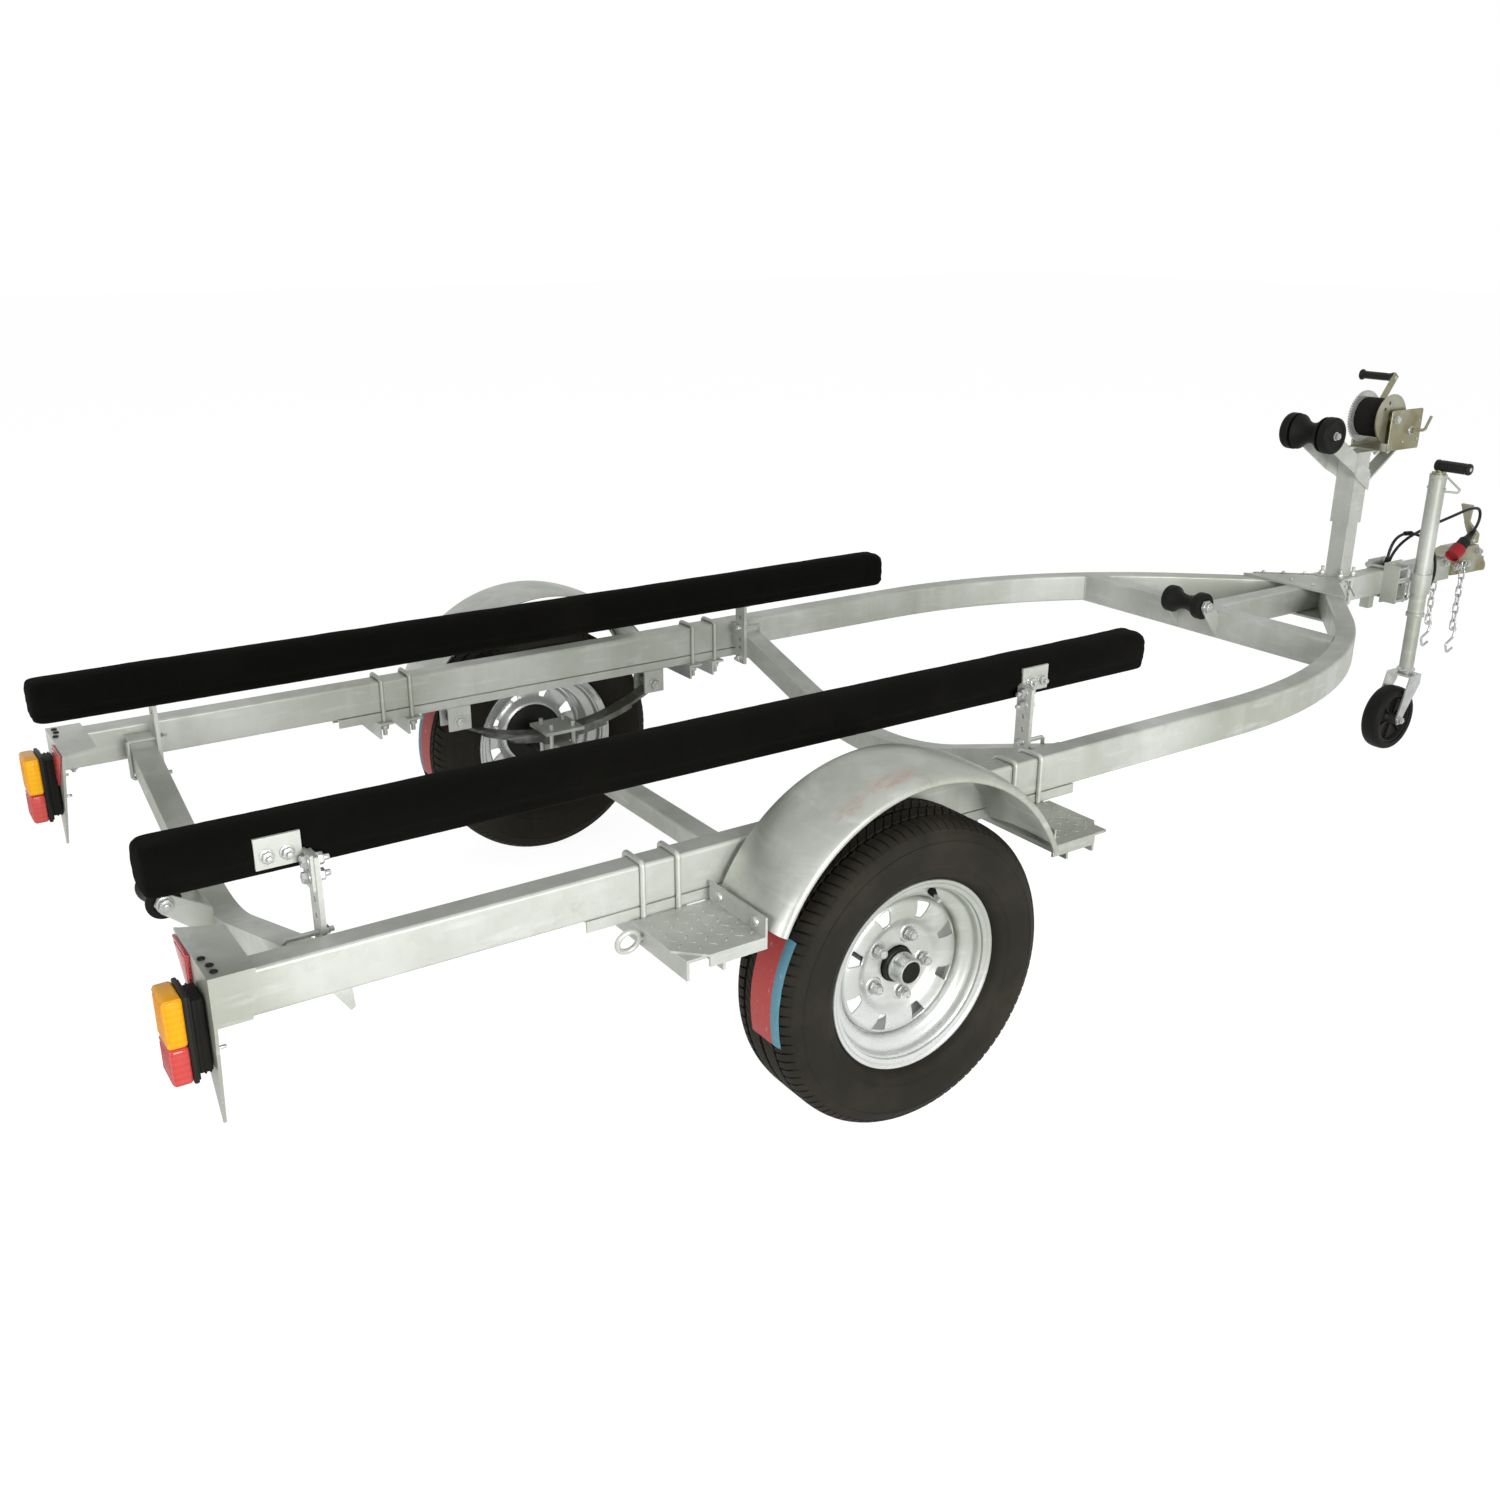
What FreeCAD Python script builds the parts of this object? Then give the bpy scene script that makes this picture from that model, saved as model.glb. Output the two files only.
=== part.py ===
import FreeCAD, Part
import math
import os
import re
import Sketcher

# Single-axle boat trailer. Millimetres, +X towards the coupling, +Y to the left, +Z up, ground at Z = 0.
doc = FreeCAD.newDocument("boat_trailer")
V = FreeCAD.Vector

SIZES = [
    # alias, value, meaning
    ("axle_x", -924, "axle line, from the middle of the trailer"),
    ("frame_half", 620, "outer face of a side rail from the centre line"),
    ("rail_w", 50, "rail section, width"),
    ("rail_h", 75, "rail section, height"),
    ("rail_top", 556, "top of the rails above the ground"),
    ("rail_corner", 6, "corner radius of the rails and drawbar"),
    ("rail_rear", -2066, "rear end of the side rails"),
    ("bend_start", 141, "where the rails begin to turn in"),
    ("bend_r", 1333, "radius of the rail's outer face"),
    ("bend_deg", 40.9, "angle the rails turn in"),
    ("bar_w", 50, "drawbar section, width"),
    ("bar_front", 1918, "front end of the drawbar"),
    ("xm_w", 50, "bowed crossmember section, along the trailer"),
    ("xm_h", 50, "bowed crossmember section, height"),
    ("xm_slope", 17.5, "slope of a bowed crossmember's arms"),
    ("xm_rear_x", -1932, "rear face of the rear crossmember"),
    ("xm_rear_dip", 358, "where the arms' top faces would meet, rear"),
    ("xm_rear_r", 400, "bend radius of the top face, rear"),
    ("xm_mid_x", -416, "rear face of the middle crossmember"),
    ("xm_mid_dip", 372, "where the arms' top faces would meet, middle"),
    ("xm_mid_r", 900, "bend radius of the top face, middle"),
    ("xm_front_x", 745, "rear face of the front crossmember"),
    ("gusset_back", 171, "rear edge of the gusset plates, behind the rail tips"),
    ("gusset_tip", 22, "front edge of the gusset plates, behind the rail tips"),
    ("gusset_t", 6, "gusset plate thickness"),
    ("plate_t", 5, "folded bracket plate thickness"),
    ("tyre_r", 294, "tyre outside radius"),
    ("tyre_w", 182, "tyre section width"),
    ("tread_w", 146, "tread width"),
    ("tyre_gap", 18, "tyre sidewall from the rail"),
    ("rim_r", 182.5, "rim flange radius"),
    ("seat_r", 165, "bead seat radius"),
    ("rim_w", 138, "rim width over the flanges"),
    ("rim_t", 4, "rim barrel thickness"),
    ("disc_out", 14, "mounting face outboard of the wheel centre plane"),
    ("disc_t", 5, "wheel disc thickness"),
    ("centre_bore", 34, "radius of the wheel's centre bore"),
    ("pcd_r", 60.3, "stud circle radius"),
    ("hub_r", 32, "hub barrel radius"),
    ("hub_flange_r", 76, "hub flange radius"),
    ("hub_flange_t", 10, "hub flange thickness"),
    ("cap_r", 27, "dust cap radius"),
    ("spindle_r", 16, "stub axle radius"),
    ("spindle_gap", 0.05, "radial clearance of the hub on its stub axle"),
    ("axle_s", 50, "axle beam, square"),
    ("axle_over", 2, "end of the axle beam past the rail"),
    ("carrier_half", 555, "half length of the spring carrier"),
    ("carrier_h", 20, "depth of the spring carrier channel"),
    ("hanger_span", 267, "spring eye from the axle line"),
    ("hanger_w", 56, "hanger length along the rail"),
    ("eye_z", 424, "spring eye centre above the ground"),
    ("eye_r", 15, "spring eye outside radius"),
    ("leaf_w", 45, "leaf width"),
    ("leaf_t", 7, "leaf thickness"),
    ("spring_pad", 90, "seat block between the spring and the axle, along the spring"),
    ("spring_pad_t", 8, "seat block height"),
    ("clamp_x", 104, "spring clamp plate, along the rail"),
    ("clamp_y", 96, "spring clamp plate, across the rail"),
    ("clamp_t", 8, "spring clamp plate thickness"),
    ("ubolt_r", 5, "rail U-bolt wire radius"),
    ("ubolt_in", 384, "inner rail U-bolt from the axle line"),
    ("ubolt_out", 452, "outer rail U-bolt from the axle line"),
    ("guard_r", 336, "mudguard radius at its crown"),
    ("guard_z", 376, "mudguard arc centre above the ground"),
    ("guard_half_deg", 73, "half angle of the mudguard arc"),
    ("guard_gap", 16, "inner edge of the mudguard from the rail"),
    ("guard_w", 190, "mudguard width"),
    ("guard_t", 2.5, "mudguard sheet thickness"),
    ("guard_lip", 12, "rolled lip depth of the mudguard"),
    ("seat_gap", 0.3, "play between a piece and its seat"),
    ("step_out_x", 477, "outer edge of a step from the axle line"),
    ("step_inset", 28, "outboard edge of a step, inside the mudguard's lip"),
    ("step_chamfer", 46, "cut corner of a step"),
    ("step_t", 4, "step plate thickness"),
    ("step_lip", 22, "turned-down edge of a step"),
    ("bunk_rear", -2114, "rear end of the bunks"),
    ("bunk_front", -34, "front end of the bunks"),
    ("bunk_inset", 168, "bunk centre, inside the rail's outer face"),
    ("bunk_w", 84, "bunk width"),
    ("bunk_h", 86, "bunk depth"),
    ("bunk_z", 632, "underside of a bunk above the ground"),
    ("bunk_chamfer", 16, "cut corners of the bunk section"),
    ("post_w", 40, "bunk bracket bar, width"),
    ("post_t", 8, "bunk bracket bar, thickness"),
    ("lamp_plate_w", 184, "light bracket, inboard from the rail's outer face"),
    ("lamp_tip_z", 312, "lowest point of a light bracket"),
    ("lamp_inset", 43, "lamp centre, inside the rail's outer face"),
    ("lamp_w", 90, "lamp width"),
    ("lamp_z", 474, "lamp centre above the ground"),
    ("lamp_h", 166, "lamp height"),
    ("lamp_foot", 22, "depth of the rubber foot"),
    ("lamp_back", 9, "depth of the lamp's back shell"),
    ("lamp_lens", 29, "depth of the lens"),
    ("lamp_split", 0.56, "share of the lens that is amber"),
    ("post_gap", 37, "winch post centre, ahead of the rail tips"),
    ("mast_s", 50, "winch post inner tube, square"),
    ("mast_top", 880, "top of the inner tube"),
    ("sleeve_s", 60, "winch post sleeve, square"),
    ("sleeve_gap", 0.3, "gap between the sleeve and the inner tube, each side"),
    ("sleeve_low", 722, "bottom of the sleeve"),
    ("sleeve_high", 924, "top of the sleeve"),
    ("base_x", 112, "base plate length"),
    ("base_y", 104, "base plate width"),
    ("base_t", 8, "base plate thickness"),
    ("bow_reach", 215, "bow roller axis, behind the winch post"),
    ("bow_z", 994, "bow roller axis above the ground"),
    ("bow_r", 50, "bow roller radius"),
    ("bow_waist", 29, "bow roller waist radius"),
    ("bow_bolt_r", 8, "bow roller bolt radius"),
    ("arm_t", 6, "roller arm thickness"),
    ("arm_w", 47, "roller arm width"),
    ("arm_y", 42, "inner face of a roller arm from the centre line"),
    ("bell_w", 28, "width of a bow roller end bell"),
    ("side_gap", 0.5, "side clearance of a roller in its arms"),
    ("winch_reach", 84, "winch drum axis, ahead of the winch post"),
    ("winch_z", 1016, "winch drum axis above the ground"),
    ("crank_drop", 35, "winch crank shaft below the drum axis"),
    ("drum_half", 42, "half width between the winch drum's flanges"),
    ("drum_r", 26, "drum core radius"),
    ("strap_r", 56, "radius of the wound strap"),
    ("flange_r", 70, "drum flange radius"),
    ("gear_module", 2.5, "winch gear module"),
    ("gear_teeth", 57, "drum gear teeth"),
    ("pinion_teeth", 11, "pinion teeth"),
    ("gear_w", 8, "drum gear face width"),
    ("winch_plate_t", 4, "winch frame thickness"),
    ("winch_half", 60, "inner face of a winch frame cheek from the centre line"),
    ("crank_len", 164, "winch crank length"),
    ("crank_deg", 53, "winch crank angle at rest, above +X"),
    ("grip_len", 108, "winch grip length"),
    ("jack_x", 1652, "jockey wheel leg axis"),
    ("jack_y", -92, "jockey wheel leg axis from the centre line"),
    ("jack_tube_r", 24, "jockey outer tube radius"),
    ("jack_leg_r", 21, "jockey inner tube radius"),
    ("jack_gap", 0.08, "radial clearance between the jockey tubes"),
    ("jack_low", 415, "bottom of the outer tube"),
    ("jack_high", 848, "top of the outer tube"),
    ("jack_fork_z", 236, "top of the jockey fork"),
    ("jack_wheel_r", 100, "jockey wheel radius"),
    ("jack_wheel_w", 56, "jockey wheel width"),
    ("jack_trail", 58, "jockey wheel axle behind the leg"),
    ("jack_fork_t", 5, "jockey fork plate thickness"),
    ("nose_x", 2131, "front of the coupling"),
    ("ball_r", 25, "tow ball socket radius"),
    ("ball_x", 2096, "tow ball centre"),
    ("ball_z", 500, "tow ball centre above the ground"),
    ("chain_x", 1960, "safety chain pins"),
    ("chain_z", 532, "safety chain pins above the ground"),
    ("coupling_half", 30, "coupling half width"),
    ("arm_deg", 31, "slope of the bow roller arms"),
    ("backlash", 0.5, "play between the winch gears"),
    ("jack_leg_top", 640, "top of the jockey leg inside its tube"),
    ("plug_x", 1868, "plug lower end"),
    ("plug_z", 566, "plug lower end above the ground"),
    ("plug_r", 23, "plug housing radius"),
    ("plug_deg", 35, "plug lean from level"),
    ("link_l", 40, "chain link length"),
    ("link_w", 22, "chain link width"),
    ("link_t", 6, "chain link thickness"),
    ("link_gap", 0.3, "play between two chain links"),
    ("keel_r", 31, "rear keel roller radius"),
    ("keel_x", -2010, "rear keel roller axis"),
    ("keel_z", 422, "rear keel roller axis above the ground"),
    ("keel_half", 44, "half length of the rear keel roller"),
    ("nose_roller_x", 694, "front keel roller axis"),
    ("nose_roller_z", 574, "front keel roller axis above the ground"),
    ("nose_roller_r", 36, "front keel roller end radius"),
    ("nose_roller_half", 62, "half length of the front keel roller"),
    ("roller_pin_r", 8, "keel roller pin radius"),
    ("ear_drop", 90, "foot of a keel roller bracket below its pin"),
    ("ear_h", 64, "height of a keel roller bracket's foot"),
    ("cable_r", 4.5, "trailer cable radius"),
]
# Sizes that follow from the ones above, with what each one is.
DERIVED = {
    # where a rail's outer face meets the drawbar
    "rail_tip": "bend_start + bend_r * sin(bend_deg)"
                " + (frame_half - bend_r + bend_r * cos(bend_deg) - bar_w / 2) / tan(bend_deg)",
    # edges of the gusset plates
    "gusset_rear": "rail_tip - gusset_back",
    "gusset_front": "rail_tip - gusset_tip",
    # winch post centre, bow roller axis and winch drum axis
    "post_x": "rail_tip + post_gap",
    "bow_x": "post_x - bow_reach",
    "winch_x": "post_x + winch_reach",
    # distances from the centre line
    "track_half": "frame_half + tyre_gap + tyre_w / 2",
    "axle_half": "frame_half + axle_over",
    "guard_in": "frame_half + guard_gap",
    "guard_out": "guard_in + guard_w",
    "step_out": "guard_out - step_inset",
    "bunk_y": "frame_half - bunk_inset",
    "lamp_plate_in": "frame_half - lamp_plate_w",
    "lamp_y": "frame_half - lamp_inset",
}
sheet = doc.addObject("Spreadsheet::Sheet", "dims")
size = {}
for row, (alias, value, meaning) in enumerate(SIZES, start=1):
    sheet.set("A%d" % row, alias)
    sheet.set("B%d" % row, "%s" % value)
    sheet.set("C%d" % row, meaning)
    sheet.setAlias("B%d" % row, alias)
    size[alias] = float(value)
doc.recompute()

WORD = re.compile(r"[A-Za-z_][A-Za-z_0-9]*")
SHEET_NAMES = set(size)


def linked(text):
    """Expression text with derived sizes written out and driving ones pointed at the sheet."""
    def swap(match):
        word = match.group(0)
        if word in DERIVED:
            return "(" + linked(DERIVED[word]) + ")"
        return "dims." + word if word in SHEET_NAMES else word
    return WORD.sub(swap, str(text))


def num(text):
    """Present value of an expression on the sheet's sizes."""
    value = sheet.evalExpression(linked(text))
    return float(getattr(value, "Value", value))


for name in DERIVED:
    size[name] = num(name)


def origin_plane(body, role):
    return [f for f in body.Origin.OriginFeatures if f.Role == role][0]


def fix_point(sketch, geo, pos, x_text, y_text, use_x=True, use_y=True):
    """Hold one sketch point at a position given by two expressions."""
    for text, kind, axis, use in ((x_text, "DistanceX", -2, use_x), (y_text, "DistanceY", -1, use_y)):
        if not use:
            continue
        value = num(text)
        if str(text).strip() == "0":
            sketch.addConstraint(Sketcher.Constraint("PointOnObject", geo, pos, axis))
            continue
        index = sketch.addConstraint(Sketcher.Constraint(kind, -1, 1, geo, pos, value))
        sketch.setExpression("Constraints[%d]" % index, linked(text))


def add_loop(sketch, loop):
    """A closed loop of lines and arcs. A vertex is (x, y), or (x, y, cx, cy, turn) before an arc."""
    count = len(loop)
    ids = []
    for i, vertex in enumerate(loop):
        nxt = loop[(i + 1) % count]
        a = V(num(vertex[0]), num(vertex[1]), 0)
        b = V(num(nxt[0]), num(nxt[1]), 0)
        if len(vertex) == 2:
            ids.append((sketch.addGeometry(Part.LineSegment(a, b), False), 1, 2, None))
            continue
        c = V(num(vertex[2]), num(vertex[3]), 0)
        circle = Part.Circle(c, V(0, 0, 1), (a - c).Length)
        ang_a = math.atan2(a.y - c.y, a.x - c.x)
        ang_b = math.atan2(b.y - c.y, b.x - c.x)
        if vertex[4] > 0:
            ids.append((sketch.addGeometry(Part.ArcOfCircle(circle, ang_a, ang_b), False), 1, 2, ang_b))
        else:
            ids.append((sketch.addGeometry(Part.ArcOfCircle(circle, ang_b, ang_a), False), 2, 1, ang_b))
        fix_point(sketch, ids[-1][0], 3, vertex[2], vertex[3])
    for i, vertex in enumerate(loop):
        geo, start, end, _ = ids[i]
        before_geo, _, before_end, before_arc = ids[i - 1]
        sketch.addConstraint(Sketcher.Constraint("Coincident", before_geo, before_end, geo, start))
        if before_arc is None:
            fix_point(sketch, geo, start, vertex[0], vertex[1])
        else:
            along_x = abs(math.sin(before_arc)) > abs(math.cos(before_arc))
            fix_point(sketch, geo, start, vertex[0], vertex[1], along_x, not along_x)


def add_circle(sketch, x_text, y_text, r_text):
    geo = sketch.addGeometry(Part.Circle(V(num(x_text), num(y_text), 0), V(0, 0, 1), num(r_text)), False)
    fix_point(sketch, geo, 3, x_text, y_text)
    index = sketch.addConstraint(Sketcher.Constraint("Radius", geo, num(r_text)))
    sketch.setExpression("Constraints[%d]" % index, linked(r_text))


def new_body(name):
    return doc.addObject("PartDesign::Body", name)


def draw(body, name, role, loops=(), circles=(), offset="0"):
    """A sketch on one of the body's own planes, lifted along the plane's normal by offset."""
    sketch = body.newObject("Sketcher::SketchObject", name)
    sketch.AttachmentSupport = (origin_plane(body, role), [""])
    sketch.MapMode = "FlatFace"
    if offset != "0":
        sketch.setExpression("AttachmentOffset.Base.z", linked(offset))
    for loop in loops:
        add_loop(sketch, loop)
    for circle in circles:
        add_circle(sketch, *circle)
    return sketch


def pad(body, name, sketch, length, mid=False):
    feature = body.newObject("PartDesign::Pad", name)
    feature.Profile = sketch
    feature.setExpression("Length", linked(length))
    feature.Midplane = mid
    sketch.Visibility = False
    return feature


def pocket(body, name, sketch, length, reverse=False):
    feature = body.newObject("PartDesign::Pocket", name)
    feature.Profile = sketch
    feature.setExpression("Length", linked(length))
    feature.Reversed = reverse
    return feature


def spin(body, name, sketch, axis="V_Axis"):
    feature = body.newObject("PartDesign::Revolution", name)
    feature.Profile = sketch
    feature.ReferenceAxis = (sketch, [axis])
    feature.Angle = 360
    return feature


def put(obj, x="0", y="0", z="0", axis=None, angle="0"):
    """Place an object by expressions, turned by angle about axis."""
    if axis is not None:
        obj.Placement = FreeCAD.Placement(V(0, 0, 0), FreeCAD.Rotation(axis, num(angle)))
        obj.setExpression("Placement.Rotation.Angle", linked(angle))
    for key, text in (("x", x), ("y", y), ("z", z)):
        if str(text) != "0":
            obj.setExpression("Placement.Base." + key, linked(text))
    return obj


def box(name, length, width, height, x="0", y="0", z="0"):
    """A box with its near corner at x, y, z."""
    obj = doc.addObject("Part::Box", name)
    for prop, text in (("Length", length), ("Width", width), ("Height", height)):
        obj.setExpression(prop, linked(text))
    return put(obj, x, y, z)


def cyl(name, radius, height, x="0", y="0", z="0", axis=None, angle="0"):
    obj = doc.addObject("Part::Cylinder", name)
    obj.setExpression("Radius", linked(radius))
    obj.setExpression("Height", linked(height))
    return put(obj, x, y, z, axis, angle)


def hole(name, radius, depth, x, y, z, axis=None, angle="0"):
    """An eight-sided cutter that clears a round of the given radius."""
    obj = doc.addObject("Part::Prism", name)
    obj.Polygon = 8
    obj.setExpression("Circumradius", linked("(%s) / cos(22.5)" % radius))
    obj.setExpression("Height", linked(depth))
    return put(obj, x, y, z, axis, angle)


def pitched_ring(label, pitches, rows, x, y, z):
    """A tyre of flat pitches about a level axis, from rows of (clear radius, place along the axis)."""
    lift = 1 / math.cos(math.pi / pitches)
    loop = [(num(radius) * lift, num(along)) for radius, along in rows]
    turns = [2 * math.pi * k / pitches for k in range(pitches)]
    ribs = [[V(r * math.cos(a), along, r * math.sin(a)) for r, along in loop] for a in turns]
    faces = []
    for near, far in zip(ribs, ribs[1:] + ribs[:1]):
        for i, j in zip(range(len(loop)), list(range(1, len(loop))) + [0]):
            faces.append(Part.Face(Part.makePolygon([near[i], near[j], far[j], far[i], near[i]])))
    solid = Part.Solid(Part.Shell(faces))
    if solid.Volume < 0:
        solid.reverse()
    return put(raw(label + "_ring", solid), x, y, z)


def shaft(name, radius, x, y_mid, z, width):
    """A round along Y, centred on y_mid."""
    return cyl(name, radius, width, x, "(%s) + (%s) / 2" % (y_mid, width), z, V(1, 0, 0), "90")


def cut(name, base, *tools):
    for i, tool in enumerate(tools):
        obj = doc.addObject("Part::Cut", "%s_%d" % (name, i))
        obj.Base = base
        obj.Tool = tool
        base = obj
    return base


def fuse(name, *parts):
    obj = doc.addObject("Part::MultiFuse", name)
    obj.Shapes = list(parts)
    return obj


def raw(name, shape, place=None):
    obj = doc.addObject("Part::Feature", name)
    obj.Shape = shape
    if place is not None:
        obj.Placement = place
    return obj


NODES = []


def node(label, *parts):
    """Name a finished piece, or a set of like pieces that one body carries."""
    if len(parts) == 1:
        obj = parts[0]
    else:
        obj = doc.addObject("Part::Compound", "set_" + label)
        obj.Links = list(parts)
    for other in doc.getObjectsByLabel(label):
        if other is not obj:
            other.Label = "base_" + label
    obj.Label = label
    NODES.append(obj)
    return obj


def eased(base, radius):
    """The piece with its long level edges rounded, as rolled tube has them."""
    doc.recompute()
    obj = doc.addObject("Part::Fillet", "eased_" + base.Name)
    obj.Base = base
    level = [i for i, e in enumerate(base.Shape.Edges, 1) if e.BoundBox.ZLength < 0.01 and e.Length > 4 * radius]
    longest = max(base.Shape.Edges[i - 1].Length for i in level)
    obj.Edges = [(i, radius, radius) for i in level if base.Shape.Edges[i - 1].Length > longest / 8]
    return obj


def bent_rod(points, radius, bend, sides=8):
    """A flat-sided rod through points of one plane, with each corner cut short by the bend."""
    path = [points[0]]
    for i in range(1, len(points) - 1):
        path += [points[i] + (end - points[i]).normalize() * bend for end in (points[i - 1], points[i + 1])]
    path.append(points[-1])
    runs = [(b - a).normalize() for a, b in zip(path, path[1:])]
    normal = (points[1] - points[0]).cross(points[2] - points[1]).normalize()
    out = radius / math.cos(math.pi / sides)
    rings = []
    for i, p in enumerate(path):
        before, after = runs[max(i - 1, 0)], runs[min(i, len(runs) - 1)]
        across = (before + after).cross(normal).normalize() / math.cos(before.getAngle(after) / 2)
        turns = [math.pi * (2 * k + 1) / sides for k in range(sides)]
        rings.append([p + normal * (out * math.cos(a)) + across * (out * math.sin(a)) for a in turns])
    faces = [Part.Face(Part.makePolygon(ring + ring[:1])) for ring in (rings[0], rings[-1])]
    for low, high in zip(rings, rings[1:]):
        for k in range(sides):
            j = (k + 1) % sides
            faces.append(Part.Face(Part.makePolygon([low[k], low[j], high[j], high[k], low[k]])))
    solid = Part.Solid(Part.makeShell(faces))
    if solid.Volume < 0:
        solid.reverse()
    return solid


# Side rails: one rolled section each, straight along the sides and turned in to the drawbar.
SIDES = (("left", 1), ("right", -1))
for side, s in SIDES:
    body = new_body("rail_" + side)
    cy = "%d * (frame_half - bend_r)" % s
    run_out = "(bend_start + bend_r * sin(bend_deg))"
    run_in = "(bend_start + (bend_r - rail_w) * sin(bend_deg))"
    y_out = "(frame_half - bend_r + bend_r * cos(bend_deg))"
    y_in = "(frame_half - bend_r + (bend_r - rail_w) * cos(bend_deg))"
    loop = [
        ("rail_rear", "%d * frame_half" % s),
        ("bend_start", "%d * frame_half" % s, "bend_start", cy, -s),
        (run_out, "%d * %s" % (s, y_out)),
        ("%s + (%s - bar_w / 2) / tan(bend_deg)" % (run_out, y_out), "%d * bar_w / 2" % s),
        ("%s + (%s - bar_w / 2) / tan(bend_deg)" % (run_in, y_in), "%d * bar_w / 2" % s),
        (run_in, "%d * %s" % (s, y_in), "bend_start", cy, s),
        ("bend_start", "%d * (frame_half - rail_w)" % s),
        ("rail_rear", "%d * (frame_half - rail_w)" % s),
    ]
    sketch = draw(body, "rail_plan_" + side, "XY_Plane", [loop], offset="rail_top - rail_h")
    pad(body, "rail_pad_" + side, sketch, "rail_h")
    node("rail_" + side, eased(body, num("rail_corner")))

# Drawbar and the straight front crossmember.
body = new_body("drawbar")
sketch = draw(body, "drawbar_section", "YZ_Plane", [[
    ("-bar_w / 2", "rail_top - rail_h"), ("bar_w / 2", "rail_top - rail_h"),
    ("bar_w / 2", "rail_top"), ("-bar_w / 2", "rail_top")]])
pad(body, "drawbar_pad", sketch, "bar_front - xm_front_x - rail_w")
put(body, "xm_front_x + rail_w")
node("drawbar", eased(body, num("rail_corner")))

body = new_body("crossmember_front")
reach = "(frame_half - bend_r + sqrt((bend_r - rail_w)^2 - (%s - bend_start)^2))"
near_y = reach % "xm_front_x"
far_y = reach % "(xm_front_x + rail_w)"
sketch = draw(body, "front_plan", "XY_Plane", [[
    ("xm_front_x", "-" + near_y), ("xm_front_x + rail_w", "-" + far_y),
    ("xm_front_x + rail_w", far_y), ("xm_front_x", near_y)]], offset="rail_top - rail_h")
pad(body, "front_pad", sketch, "rail_h")
node("crossmember_front", body)

# Bowed crossmembers that clear the keel.
for name, x, dip, r in (("crossmember_rear", "xm_rear_x", "xm_rear_dip", "xm_rear_r"),
                        ("crossmember_middle", "xm_mid_x", "xm_mid_dip", "xm_mid_r")):
    body = new_body(name)
    half = "(frame_half - rail_w)"
    cz = "%s + %s / cos(xm_slope)" % (dip, r)
    top_y = "%s * sin(xm_slope)" % r
    low_r = "(%s + xm_h)" % r
    end_top = "%s + %s * tan(xm_slope)" % (dip, half)
    end_low = "%s - xm_h / cos(xm_slope)" % end_top
    loop = [
        ("-" + half, end_top),
        ("-" + top_y, "%s - %s * cos(xm_slope)" % (cz, r), "0", cz, 1),
        (top_y, "%s - %s * cos(xm_slope)" % (cz, r)),
        (half, end_top),
        (half, end_low),
        ("%s * sin(xm_slope)" % low_r, "%s - %s * cos(xm_slope)" % (cz, low_r), "0", cz, -1),
        ("-%s * sin(xm_slope)" % low_r, "%s - %s * cos(xm_slope)" % (cz, low_r)),
        ("-" + half, end_low),
    ]
    sketch = draw(body, name + "_bow", "YZ_Plane", [loop])
    pad(body, name + "_pad", sketch, "xm_w")
    put(body, x)
    node(name, body)

# Gusset plates above and below the meeting of the rails and the drawbar.
edge = "(frame_half - bend_r + bend_r * cos(bend_deg) - (%s - bend_start - bend_r * sin(bend_deg)) * tan(bend_deg))"
plates = []
for name, z in (("gusset_top", "rail_top"), ("gusset_low", "rail_top - rail_h - gusset_t")):
    body = new_body(name)
    sketch = draw(body, name + "_plan", "XY_Plane", [[
        ("gusset_rear", "-" + edge % "gusset_rear"), ("gusset_front", "-" + edge % "gusset_front"),
        ("gusset_front", edge % "gusset_front"), ("gusset_rear", edge % "gusset_rear")]], offset=z)
    pad(body, name + "_pad", sketch, "gusset_t")
    plates.append(body)
tab = fuse("tab_angle", box("tab_front", "4", "30", "40", "jack_x - 132", "-15", "rail_top - rail_h - 40"),
           box("tab_side", "24", "4", "40", "jack_x - 132", "-15", "rail_top - rail_h - 40"))
node("frame_plates", *(plates + [tab]))

# Light brackets: a folded plate over each rail end, tapered to a point behind it.
for side, s in SIDES:
    body = new_body("light_bracket_" + side)
    sketch = draw(body, "light_plate_" + side, "YZ_Plane", [[
        ("%d * (frame_half + plate_t)" % s, "rail_top + plate_t"),
        ("%d * lamp_plate_in" % s, "rail_top + plate_t"),
        ("%d * (frame_half - 22)" % s, "lamp_tip_z"),
        ("%d * (frame_half + plate_t)" % s, "rail_top - rail_h")]], offset="rail_rear - plate_t")
    pad(body, "light_plate_pad_" + side, sketch, "plate_t")
    sketch = draw(body, "light_cover_" + side, "XY_Plane", [[
        ("rail_rear - plate_t", "%d * lamp_plate_in" % s),
        ("rail_rear + 62", "%d * (lamp_plate_in + 30)" % s),
        ("rail_rear + 62", "%d * (frame_half + plate_t)" % s),
        ("rail_rear - plate_t", "%d * (frame_half + plate_t)" % s)]], offset="rail_top")
    pad(body, "light_cover_pad_" + side, sketch, "plate_t")
    sketch = draw(body, "light_flange_" + side, "XZ_Plane", [[
        ("rail_rear - plate_t", "rail_top + plate_t"), ("rail_rear + 62", "rail_top + plate_t"),
        ("rail_rear + 50", "rail_top - rail_h"), ("rail_rear - plate_t", "rail_top - rail_h")]],
        offset="-(frame_half + plate_t)" if s > 0 else "frame_half")
    pad(body, "light_flange_pad_" + side, sketch, "plate_t")
    node("light_bracket_" + side, body)

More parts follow.
